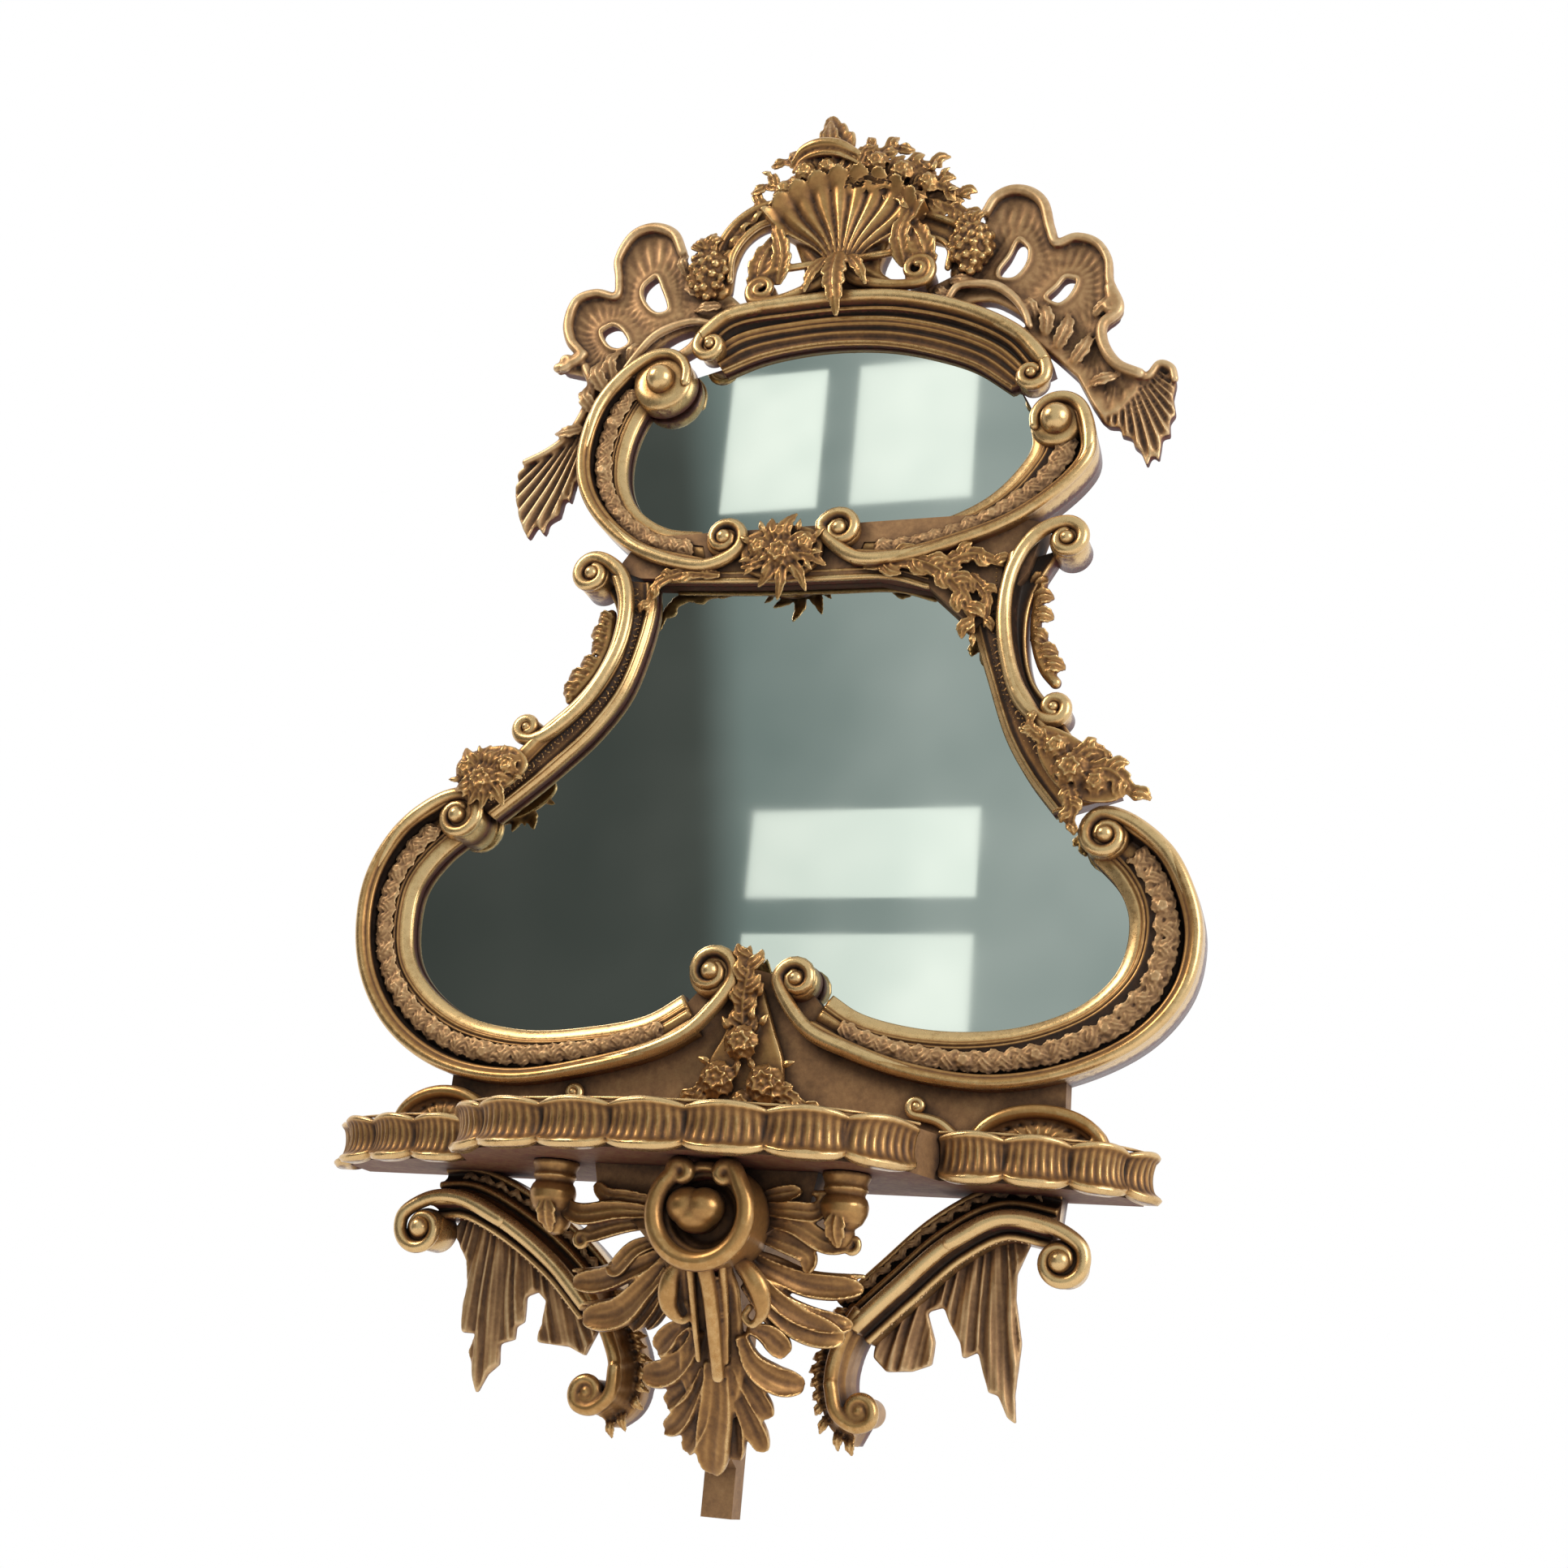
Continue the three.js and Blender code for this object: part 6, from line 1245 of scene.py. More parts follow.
def finial():
    rng = np.random.default_rng(31)
    lumps = [leaf([(-4, 1427, 40), (0, 1476, 47), (-8, 1506, 43), (-15, 1531, 36)], 58, 11, lobes=5, cut=0.26,
                  belly=0.35, tip=0.04)]
    lumps.append(leaf([(2, 1450, 46), (-6, 1486, 52), (-13, 1520, 42)], 26, 8, lobes=4, cut=0.25, tip=0.04))
    lip = route([(-50, 1463, 50), (-38, 1474, 55), (-18, 1477, 59), (6, 1473, 59), (30, 1461, 52)], 60)
    lumps.append(rod(lip, lambda s: 6.6 - 3 * abs(2 * s - 1) ** 2, 14))
    lumps.append(rod(lip + [0, 3, -11], lambda s: 4.5 - 2 * abs(2 * s - 1) ** 2, 12))
    lumps += branches(rng, ([(-12, 1450, 42), (-44, 1462, 46), (-73, 1478, 38)], 20, 4, 18, 11),
                      ([(0, 1438, 44), (-44, 1430, 48), (-99, 1446, 38)], 22, 6, 20, 12),
                      ([(-20, 1446, 44), (-52, 1416, 48), (-66, 1396, 42)], 20, 5, 16, 11))
    lumps += flowers((-34, 1446, 52, 13, 0.2), (-60, 1430, 48, 10, 0.5), (-8, 1448, 54, 11, 0.8))
    lumps += buds(48, 6, (-80, 1452, 160), (-48, 1470, 130), (-24, 1458, 100), (-70, 1412, 215),
                  (8, 1452, 60), (-40, 1424, 250))
    finished(carved("finial_carving", lumps, 1.4), "burnished_gilding", "finial_leaf")


def spray():
    rng = np.random.default_rng(37)
    lumps = branches(rng, ([(40, 1438, 42), (58, 1460, 48), (80, 1474, 40)], 22, 5, 20, 13),
                     ([(50, 1425, 42), (92, 1438, 48), (125, 1440, 38)], 22, 6, 22, 13),
                     ([(70, 1408, 40), (115, 1414, 46), (160, 1393, 36)], 20, 6, 20, 12),
                     ([(24, 1440, 44), (34, 1466, 50), (46, 1480, 42)], 18, 4, 15, 10),
                     ([(60, 1410, 44), (84, 1398, 50), (112, 1384, 42)], 20, 5, 16, 11))
    lumps += flowers((52, 1446, 52, 14, 0.1, 6), (82, 1430, 51, 15, 0.5, 6), (112, 1414, 49, 12, 0.9),
                     (30, 1430, 52, 11, 0.4))
    lumps += buds(48, 6.2, (66, 1460, 80), (98, 1444, 60), (130, 1424, 30), (140, 1400, -10), (72, 1412, 250),
                  (40, 1462, 100), (100, 1400, -60), (118, 1432, 70))
    lumps.append(rod(route([(34, 1436, 36), (80, 1434, 38), (136, 1404, 34)], 40), lambda s: 17 - 7 * s, 16,
                     0.6))
    carve("flower_spray", lumps, 1.4)


def crest_arms():
    rng = np.random.default_rng(41)
    left = [rod(route([(-132, 1316, 22), (-130, 1352, 23), (-118, 1384, 24), (-94, 1404, 24),
                       (-62, 1410, 24)], 60), lambda s: 13 + 3 * s, 18, 0.9)]
    left.append(rod(route([(-139, 1328, 36), (-138, 1360, 38), (-122, 1394, 38), (-94, 1415, 38),
                           (-58, 1419, 38)], 70), 4.6, 14))
    left.append(rod(route([(-119, 1322, 36), (-118, 1352, 38), (-106, 1376, 38), (-86, 1392, 38),
                           (-62, 1396, 38)], 70), 4.2, 14))
    left += [leaf([(x, z, 36), (x + 6, z + 9, 40), (x + 15, z + 14, 36)], 9, 4.5, lobes=3, steps=16)
             for x, z in ((-131, 1330), (-129, 1348), (-123, 1366), (-112, 1383), (-97, 1396), (-80, 1404))]
    left.append(leaf([(-86, 1412, 36), (-94, 1428, 40), (-99, 1444, 34)], 16, 6, lobes=3))
    right = [rod(route([(148, 1306, 22), (150, 1330, 23), (140, 1350, 24), (112, 1364, 24), (80, 1382, 24)],
                       60), lambda s: 10 + 5 * s, 18, 0.9)]
    right.append(rod(route([(157, 1310, 34), (160, 1334, 36), (148, 1358, 37), (118, 1376, 37),
                            (84, 1392, 37)], 70), 4.4, 14))
    right.append(rod(route([(138, 1308, 34), (140, 1328, 36), (131, 1341, 36), (106, 1353, 36),
                            (78, 1370, 36)], 70), 4.0, 14))
    right += leaf_branch(rng, [(78, 1400, 30), (120, 1394, 38), (166, 1366, 30)], 30, 6, 20, 13)
    carve("crest_arm_left", left, 1.4)
    carve("crest_arm_right", right, 1.4)


def grapes(side, x, z, wide, high, seed):
    """A bunch of grapes: berries crowded on a core that narrows downward, with a leaf over the stalk."""
    verts, faces = BALLS[3]
    taper = 1 - 0.3 * ease(-verts[:, 2], -0.2, 1.0)
    core = (verts * np.array([wide, 15, high]) * np.c_[taper, taper, np.ones(len(taper))]
            + on_face([(x, z, CREST_FRONT + 6)])[0], faces)
    rng = np.random.default_rng(seed)
    lumps = [core, cluster(core, MOTIF["berry"], 9.0, (5.4, 6.6), seed)]
    lumps += leaves_round(rng, x, z + high * 0.8, CREST_FRONT + 10, 4, 24, 14, 20, 150)
    carve(f"grapes_{side}", lumps)


# ---------------------------------------------------------------- shelf

MIDDLE_EDGE = [(-230, 156), (-179, 208), (-115, 226), (0, 238), (115, 226), (179, 208), (230, 156)]
END_EDGE = [(233.7, 118), (285.5, 120), (341, 104), (389.1, 76), (415, 34), (413.2, 8)]
LEFT_END_EDGE = [(-x, d) for x, d in END_EDGE]
SCALLOP_STATIONS = 36


def edge_line(places, count):
    """The shelf's edging line, with its outward direction at each point."""
    knots = np.array([(SHELF_X + x, -d, 0) for x, d in places])
    line = even(smooth_line(knots), count)
    along = unit(np.gradient(line, axis=0))
    out = np.stack([along[:, 1], -along[:, 0], np.zeros(len(line))], axis=1)
    facing = (out * np.stack([line[:, 0] - SHELF_X, line[:, 1] * 3, line[:, 2]], axis=1)).sum(axis=1)
    return line, np.where(facing[:, None] < 0, -out, out)


def shelf_edge(name, places, scallops, flutes_each):
    """Carved edging: scallops side by side, each fluted like a shell, with a lip above and a lid below."""
    line, out = edge_line(places, scallops * SCALLOP_STATIONS)
    station = np.arange(len(line))
    phase = (station / SCALLOP_STATIONS) % 1
    number = station // SCALLOP_STATIONS
    bulge = np.abs(np.sin(math.pi * station / SCALLOP_STATIONS)) ** 0.8
    levels = np.linspace(0, 1, 30)
    rings = []
    for i in range(len(line)):
        top = SHELF_TOP - 5 * (1 - bulge[i])
        foot = SHELF_FOOT + 6.5 * (1 - bulge[i]) ** 1.5
        lip = 3.4 * np.exp(-(((levels - 0.93) / 0.07) ** 2))
        lid = (1.5 + 4.2 * bulge[i]) * np.exp(-(((levels - 0.1) / 0.09) ** 2))
        hollow = -4.2 * np.sin(math.pi * np.clip((levels - 0.12) / 0.76, 0, 1))
        bend = (phase[i] - 0.5) * (0.92 + 0.16 * levels)
        shown = np.sin(math.pi * np.clip((levels - 0.13) / 0.75, 0, 1)) ** 0.5
        flutes = 0.9 * np.cos(TAU * flutes_each * bend + 0.7 * np.sin(math.pi * levels) + number[i]) * shown
        reach = np.minimum(7.4 * bulge[i] - 7.2 + lip + lid + hollow + flutes, 4.9)
        front = [line[i] + out[i] * r + [0, 0, foot + (top - foot) * s] for r, s in zip(reach, levels)]
        back = [line[i] + out[i] * -SHELF_EDGE + [0, 0, h] for h in (top, (top + foot) / 2, foot)]
        rings.append(front + back)
    finished(crisp(f"{name}_carving", [skin(np.array(rings))]), "burnished_gilding", name)


def ear(side, x, half, height):
    """A half-moon on the shelf: a rolled rim over a fan of gadroons."""
    foot = SHELF_TOP - 2
    angle = np.linspace(math.pi * 0.98, math.pi * 0.02, 60)
    moon = lambda shrink, d, drop=0: np.stack([x + (half - shrink) * np.cos(angle), np.full(60, -d),
        foot + (height - shrink) * np.sin(angle) - drop], axis=1)
    arc_places = [(p[0], p[2]) for p in moon(0, 0)[::4]] + [(x + half * 0.98, foot)]
    lumps = [plate(arc_places, 27.4, 36, bevel=1.5, smooth=False)]
    lumps.append(rod(moon(6.5, 42), lambda s: 6.6 - 2.0 * abs(2 * s - 1) ** 3, 16))
    lumps.append(rod(moon(14.5, 38), 2.0, 10))
    for k in range(9):
        a = math.pi * (0.1 + 0.8 * k / 8)
        r = 0.68
        lumps.append(leaf([(x + half * 0.12 * math.cos(a), foot + 3, 36),
                           (x + half * 0.42 * math.cos(a), foot + height * 0.42 * math.sin(a), 40),
                           (x + half * r * math.cos(a), foot + height * r * math.sin(a), 37)], 12, 5, lobes=0,
                           tip=0.35, belly=0.62, cup=0.0, rib=0.3, steps=12))
    for hand in (-1, 1):
        lumps.append(rod(route([(x + hand * (half - 9), foot + 16, 42),
            *curl((x + hand * (half - 12), foot + 8), (x + hand * (half - 5), foot + 9), 0.9, -hand, 0.3,
                  43)], 30), 3.6, 12))
    carve(f"shelf_ear_{side}", lumps)


def shelf_reed():
    """The thin reed that follows the edging on top of the shelf."""
    lumps = []
    for places, count in ((MIDDLE_EDGE, 56), (END_EDGE, 32), (LEFT_END_EDGE, 32)):
        line, out = edge_line(places, count)
        inner = line - out * 6.5 + [0, 0, SHELF_TOP - 1.2]
        lumps.append(rod(inner, 1.6, 8))
    finished(crisp("shelf_top_reed", lumps), "burnished_gilding")


# ---------------------------------------------------------------- bracket

RING = dict(x=19, z=252, radius=43, floor=168, front=192)


def boss_ring():
    """The open ring: a broad rolled rim that turns in at the top, two steps inside it and a dished floor."""
    x, z, radius, front = RING["x"], RING["z"], RING["radius"], RING["front"]
    opening = 0.5
    angle = np.linspace(math.pi / 2 + opening, math.pi * 2.5 - opening, 120)
    rim = [(x + radius * math.cos(a), z + radius * math.sin(a), front) for a in angle]
    left = curl((x - 21, z + 33), (x - 30, z + 36), 0.95, -1, 0.35, front)
    right = curl((x + 21, z + 33), (x + 30, z + 36), 0.95, 1, 0.35, front)
    places = [*left[::-1], *rim[6:-6:6], *right]
    lumps = [rod(route(places, 200), lambda s: 8.6 - 4.2 * abs(2 * s - 1) ** 5, 20)]
    lumps.append(turned(x, z, [(radius - 12, 124), (radius + 3, 124), (radius + 5, 150), (radius + 4, 178),
        (radius + 1, 190),
                               (radius - 4, 192), (radius - 7, 190), (radius - 8.5, 184), (radius - 11, 184),
                               (radius - 12, 181), (radius - 13, 175), (radius - 16, 173), (radius - 20, 168),
                               (0.5, 168), (0.5, 160), (radius - 14, 150)], 96))
    carve("boss_ring", lumps, sanded=1)


def cabochon():
    """A burnished heart-shaped boss on a collar."""
    x, z = RING["x"] - 6, RING["z"] + 2
    lumps = [ball(x - 9, z + 3, RING["front"] - 8, 18, (1.05, 1, 0.95), 4),
             ball(x + 7, z + 3, RING["front"] - 8, 18, (1.05, 1, 0.95), 4),
             ball(x - 1, z - 4, RING["front"] - 9, 17, (1.15, 1, 0.95), 4),
             turned(x, z, [(0.5, 160), (17, 160), (19, 170), (18, 176), (0.5, 177)])]
    finished(carved("cabochon_boss", lumps, 1.2, 8), "burnished_gilding", "cabochon")


ARM_PROFILE = [(-17, 10), (-17.5, 30), (-17, 46), *arc(-14.5, 51, 3.6, 200, 20),
               (-9.5, 50), (-8, 56), *arc(0, 66, 7.6, 200, -20, 17),
               (9, 56), (11, 49.5), *arc(15, 50, 3.2, 180, 10),
               (20, 44), (24, 38.5), (28, 37.5), *arc(31.5, 39, 3.4, 170, -30),
               (34.5, 30), (34.5, 10)]
ARMS = {
    "left": ([(-134, 176), (-174, 213), (-232, 250), (-280, 269), (-312, 268)], -1,
             dict(centre=(-319, 239), start=(-331, 261), turns=1.2, hand=1, tighten=0.3)),
    "right": ([(128, 172), (166, 209), (212, 251), (258, 275), (304, 270)], 1,
              dict(centre=(313, 240), start=(322, 262), turns=1.2, hand=-1, tighten=0.3)),
}
FEET = {
    "left": ([(-134, 190), (-118, 166), (-106, 146), (-97, 122), (-99, 98), (-116, 84)], 1,
             dict(centre=(-122, 98), start=(-124, 83), turns=1.1, hand=-1, tighten=0.4)),
    "right": ([(134, 188), (122, 168), (114, 146), (112, 122), (120, 98), (138, 88)], -1,
              dict(centre=(140, 101), start=(145, 88), turns=1.1, hand=1, tighten=0.4)),
}


def scroll_arm(side):
    """One arm of the bracket: a bright bead between coves, thin beads beside it, a ball in the roll."""
    places, hand, end = ARMS[side]
    line = route(places, 110)
    profile = np.array(ARM_PROFILE) * [-hand, 1]
    lumps = [sweep(line, profile)]
    lumps.append(rod(route([(x, z, 68) for x, z in places[-3:]] + curl(**{**end, "depth": 68}), 80),
                     lambda s: 7.4 - 2.6 * s ** 2, 18))
    cx, cz = end["centre"]
    lumps.append(turned(cx, cz, [(0.5, 24), (18, 24), (20, 28), (20, 58), (17, 64), (10, 66), (0.5, 67)]))
    lumps.append(ball(cx, cz, 69, 10.5, level=4))
    finished(crisp(f"bracket_arm_{side}_mouldings", lumps), "burnished_gilding", f"bracket_arm_{side}")
    above = -hand * frames(line)[1]
    way = line + above * 25.0 + FORWARD * 40.5
    pearls = line - above * 17.5 + FORWARD * 52
    carving = [row(way[6:-12], MOTIF["leaf"], 9.0, (0.8, 1.05), 38, 3),
               row(pearls[8:-10], MOTIF["berry"], 6.0, (1.6, 2.2), 0, 4)]
    finished(carved(f"bracket_arm_{side}_band", carving, 1.2, 1), "matte_gilding")


def scroll_foot(side):
    """A C-scroll under the arm, its back edged with small leaves."""
    places, hand, end = FEET[side]
    line = route(places, 90)
    section = np.array([(-11, 10), (-11.5, 40), (-10.5, 56), (-8, 60), *arc(0, 66, 6.8, 190, -10, 15),
                        (8.5, 57), (11, 50), (15, 44), (18, 42), (19, 36), (18.5, 10)]) * [-hand, 1]
    lumps = [sweep(line, section)]
    lumps.append(rod(route([(x, z, 68) for x, z in places[-3:]] + curl(**{**end, "depth": 68}), 70),
                     lambda s: 6.8 - 2.2 * s ** 2, 18))
    cx, cz = end["centre"]
    lumps.append(turned(cx, cz, [(0.5, 20), (12, 20), (13, 24), (13, 56), (11, 61), (0.5, 63)]))
    lumps.append(ball(cx, cz, 66, 7.5, level=4))
    rng = np.random.default_rng(51 if side == "left" else 52)
    along, across, _ = frames(line)
    above = -hand * across
    for i in range(8, 86, 7):
        base = line[i] + above[i] * 12 + FORWARD * 44
        way = unit(above[i] + along[i] * 0.55)
        size = 17 * rng.uniform(0.85, 1.1)
        points = [base, base + way * size * 0.5 + FORWARD * 5, base + way * size + FORWARD * -2]
        lumps.append(leaf([(p[0], p[2], -p[1]) for p in points], 11, 5, lobes=3, steps=18))
    carve(f"bracket_foot_{side}", lumps, sanded=1)


ACANTHUS_LOBES = [  # places from the stem to the tip, and the width there
    ([(-1, 163, 128), (-20, 155, 116), (-43, 138, 98)], 26),
    ([(5, 158, 124), (-9, 135, 110), (-35, 119, 94), (-62, 118, 80)], 30),
    ([(4, 130, 108), (-12, 110, 94), (-37, 93, 76)], 22),
    ([(7, 121, 104), (-10, 96, 88), (-28, 77, 72), (-42, 72, 62)], 24),
    ([(50, 162, 126), (66, 157, 112), (80, 144, 98)], 26),
    ([(44, 156, 124), (54, 133, 110), (70, 121, 94), (91, 118, 78)], 30),
    ([(36, 132, 108), (50, 110, 92), (61, 90, 74)], 22),
    ([(32, 122, 104), (41, 96, 86), (48, 76, 68), (54, 61, 58)], 24),
    ([(12, 112, 98), (2, 86, 82), (-14, 64, 64), (-20, 54, 56)], 22),
    ([(28, 112, 96), (30, 84, 78), (27, 52, 54)], 22),
]
ACANTHUS_COMMAS = [
    ([(-8, 214, 156), (-18, 196, 152), (-19, 174, 144), (-8, 163, 137), (-1, 170, 136), (-5, 179, 138)], 1),
    ([(40, 218, 156), (55, 208, 154), (66, 192, 150), (68, 174, 144), (58, 164, 138), (50, 170, 138),
      (55, 178, 140)], -1),
]


def acanthus():
    """The hanging acanthus: a rib on a fluted stem, round lobes in pairs, a comma curl at each side."""
    stem = [(14, 214, 156), (14, 170, 126), (13, 120, 104), (10, 90, 84)]
    lumps = [blade(stem, 62, 11, flutes=6, root=0.85, peak=0.2, cup=0.2, steps=60)]
    lumps.append(blade([(20, 132, 112), (17, 96, 94), (9, 66, 72), (2, 38, 47)], 34, 11, flutes=3, root=0.7,
                       peak=0.55, steps=50))
    lumps.append(rod(route([(20, 212, 172), (22, 186, 154), (24, 152, 138), (24, 119, 119)], 60),
                     lambda s: 7.6 - 1.8 * s, 16))
    for hand in (-1, 1):
        lumps.append(rod(route([(19 + 15 * hand, 212, 164), (18 + 15 * hand, 176, 142),
            (18 + 13 * hand, 132, 121)], 50), lambda s: 4.4 - 1.6 * s, 12))
    lumps += [blade(places, width * 0.86, 11, flutes=3, cup=0.55) for places, width in ACANTHUS_LOBES]
    for places, _ in ACANTHUS_COMMAS:
        lumps.append(rod(route(places, 70), lambda s: 4.5 + 5.5 * math.sin(math.pi * min(1, s * 1.35)) ** 1.2
                         - 1.0 * s, 16, 0.75))
    carve("acanthus", lumps, 1.4)


SIDE_BLADES = {
    "left": [([(-30, 222, 128), (-66, 206, 122), (-106, 196, 100), (-140, 194, 86)], 26),
             ([(-28, 214, 130), (-52, 190, 122), (-82, 168, 106), (-124, 162, 90)], 32),
             ([(-26, 208, 130), (-44, 182, 118), (-70, 155, 100)], 22),
             ([(-20, 202, 130), (-36, 176, 116), (-56, 158, 98)], 18)],
    "right": [([(42, 224, 128), (68, 212, 122), (98, 203, 104), (142, 204, 86)], 26),
              ([(42, 216, 130), (62, 193, 122), (90, 170, 104), (128, 159, 88)], 34),
              ([(46, 208, 128), (78, 184, 114), (104, 174, 98), (134, 172, 84)], 24),
              ([(44, 200, 128), (62, 180, 118), (79, 162, 102)], 20)],
}
UPPER_BLADES = {
    "left": [([(-40, 266, 130), (-72, 268, 136), (-96, 270, 134), (-110, 281, 130)], 15),
             ([(-40, 256, 132), (-80, 256, 139), (-122, 252, 132), (-146, 262, 124)], 20),
             ([(-40, 248, 132), (-78, 243, 136), (-122, 232, 122)], 18),
             ([(-34, 234, 130), (-62, 224, 130), (-86, 206, 118), (-95, 210, 112)], 18)],
    "right": [([(46, 270, 132), (68, 276, 136), (92, 282, 132)], 15),
              ([(50, 264, 134), (84, 263, 140), (108, 264, 134), (116, 277, 128)], 18),
              ([(50, 255, 132), (89, 251, 137), (118, 238, 127), (142, 240, 118)], 20),
              ([(46, 243, 130), (73, 237, 132), (100, 226, 124), (98, 212, 118)], 18)],
}


def leaf_pairs(side):
    """The two leaf groups beside the ring: one below along the arm, one above under the shelf."""
    hand = -1 if side == "left" else 1
    low = [blade(places, width * 0.88, 10, flutes=3, root=0.6, cup=0.6)
           for places, width in SIDE_BLADES[side]]
    for places, width in SIDE_BLADES[side][:2]:
        edge = [(x, z + width * 0.42, d + 3) for x, z, d in places[1:]]
        low.append(rod(route([(places[0][0], places[0][1] + 3, places[0][2] + 4), *edge], 50),
                       lambda s: 3.6 - 1.4 * s, 12))
    carve(f"side_leaf_{side}", low, 1.4)
    high = [blade(places, width, 8, flutes=2, root=0.6) for places, width in UPPER_BLADES[side]]
    for places, _ in UPPER_BLADES[side][1:3]:
        x, z, d = places[-1]
        high.append(rod(route([(x - hand * 12, z + 3, d + 5),
            *curl((x - hand * 4, z - 3), (x - hand * 3, z + 5), 0.9, -hand, 0.35, d + 5)], 30), 3.2, 12))
    carve(f"upper_leaf_{side}", high)


def corbel(side):
    """A turned corbel under the shelf, with a smaller knob and a leaf below it."""
    x, hand = (-153, 1) if side == "left" else (131, -1)
    lumps = [post(x, 128, [(0.5, 248), (9, 250), (17, 256), (21, 264), (22, 271), (20, 277), (17, 280),
                           (18, 282), (20.5, 285), (19, 289), (20, 292), (22, 296), (22, 299.3),
                           (0.5, 299.3)])]
    lumps.append(ball(x + hand * 4, 246, 122, 13.5, level=3))
    lumps.append(leaf([(x + hand * 2, 262, 146), (x + hand * 3, 248, 142), (x + hand * 3, 234, 130)], 22, 6,
                      lobes=3))
    carve(f"corbel_{side}", lumps)


DROPS = {
    "left": ([(-304, 240), (-286, 214), (-281, 190), (-283, 171), (-280, 145), (-265, 145), (-270, 128),
              (-256, 89), (-247, 108), (-236, 118), (-238, 137), (-223, 142), (-223, 154), (-215, 159),
              (-216, 183), (-204, 188), (-194, 180), (-198, 141), (-164, 139), (-147, 132), (-136, 156),
              (-150, 186), (-190, 222), (-240, 254), (-290, 268)], (-262, 420)),
    "right": ([(280, 262), (267, 231), (267, 209), (274, 171), (270, 127), (272, 102), (264, 107), (255, 125),
               (246, 127), (240, 144), (235, 161), (221, 154), (218, 168), (207, 185), (201, 198), (186, 193),
               (195, 167), (193, 147), (175, 140), (151, 138), (138, 150), (142, 178), (184, 222),
               (226, 256)], (236, 430)),
}


def drop(side, pleats_round):
    """Fluted drapery that hangs under the arm and ends in torn points."""
    outline, eye = DROPS[side]

    def relief(x, z, edges):
        turn = np.arctan2(x - eye[0], eye[1] - z)
        wave = np.cos(turn * pleats_round + 1.1 * np.sin(z / 23.0) + 1.4 * np.sin(turn * 47))
        fine = np.cos(turn * 290 + 1.3)
        return (2.3 * wave + 0.6 * fine) * ease(edges[0], 0, 3)

    lumps = [board(outline, 20, 29, relief, smooth=False, bevel=1.5, voxel=1.5)]
    carve(f"drop_{side}", lumps, sanded=1, slot="matte_gilding")


# ---------------------------------------------------------------- stage

CAMERA_AT = (0.641, -1.804, 50.0 * MM - HUNG * MM)
CAMERA_RIGHT = (0.947, 0.309, 0.088)
CAMERA_VIEW = (-0.320, 0.888, 0.329)
PHOTO_PIXELS, FOCAL_PIXELS = 1932, 2400
SENSOR = 36.0
FLOOR_HALF, FLOOR_LEVEL = 2.4, -1.62
PAPER = [(0.3, "#E6E4E0"), (0.7, "#EEECE9")]
ROOM = [(0.0, "#4C4D49"), (0.24, "#5C5F5A"), (0.262, "#93A09C"), (0.35, "#C2CBC6"), (1.0, "#D2D8D5")]
# Places, targets, widths and heights of the softboxes, in metres from the wall mount.
KEY = ((-2.6, -2.2, 2.2), (0, 0, -0.2), 1.6, 1.6)
FILL = ((3.0, -1.8, 0.6), (0, 0, -0.3), 1.6, 2.2)
PANEL_AWAY = 3.0
PANELS = [(-1.21, 1.93, 0.3, 0.46), (-0.78, 1.93, 0.36, 0.46), (-0.84, 0.645, 0.64, 0.25),
          (-0.84, 0.285, 0.64, 0.27)]


def camera():
    """The camera of the photograph, solved from the lines of the frame."""
    data = bpy.data.cameras.new("camera")
    data.sensor_width = SENSOR
    data.lens = SENSOR * FOCAL_PIXELS / PHOTO_PIXELS
    data.clip_start = 0.01
    obj = object_of("camera", data)
    view = Vector(CAMERA_VIEW).normalized()
    right = Vector(CAMERA_RIGHT)
    right = (right - right.dot(view) * view).normalized()
    up = right.cross(view)
    turn = Matrix((right, up, -view)).transposed().to_4x4()
    obj.matrix_world = Matrix.Translation(CAMERA_AT) @ turn
    bpy.context.scene.camera = obj


def softbox(name, place, target, wide, high, power, colour):
    """A rectangular light that faces its target."""
    data = bpy.data.lights.new(name, "AREA")
    data.shape = "RECTANGLE"
    data.size, data.size_y = wide, high
    data.energy = power
    data.color = linear(colour)[:3]
    obj = object_of(name, data)
    obj.location = place
    obj.rotation_euler = (Vector(target) - Vector(place)).to_track_quat("-Z", "Y").to_euler()


def backdrop():
    """A pale room, white to the camera and behind the mirror, and quieter in front, where its plates look."""
    world = bpy.data.worlds.new("pale studio")
    bpy.context.scene.world = world
    world.use_nodes = True
    tree = world.node_tree
    tree.nodes.clear()
    way = add(tree, "ShaderNodeTexCoord", out="Generated")
    parts = add(tree, "ShaderNodeSeparateXYZ", [way]).node.outputs
    front = add(tree, "ShaderNodeMapRange", (parts[1], -0.35, 0.1, 0.0, 1.0))
    side = add(tree, "ShaderNodeMapRange", (parts[0], -0.6, 0.4, 0.0, 1.0))
    shade = add(tree, "ShaderNodeValToRGB", [side], ROOM)
    for white in (front, add(tree, "ShaderNodeLightPath", out="Is Camera Ray")):
        shade = add(tree, "ShaderNodeMix", {"Factor": white, 6: shade, 7: linear("#FFFFFF")}, out=2,
                    data_type="RGBA")
    light = add(tree, "ShaderNodeBackground", {"Color": shade, "Strength": 1.0})
    add(tree, "ShaderNodeOutputWorld", {"Surface": light})


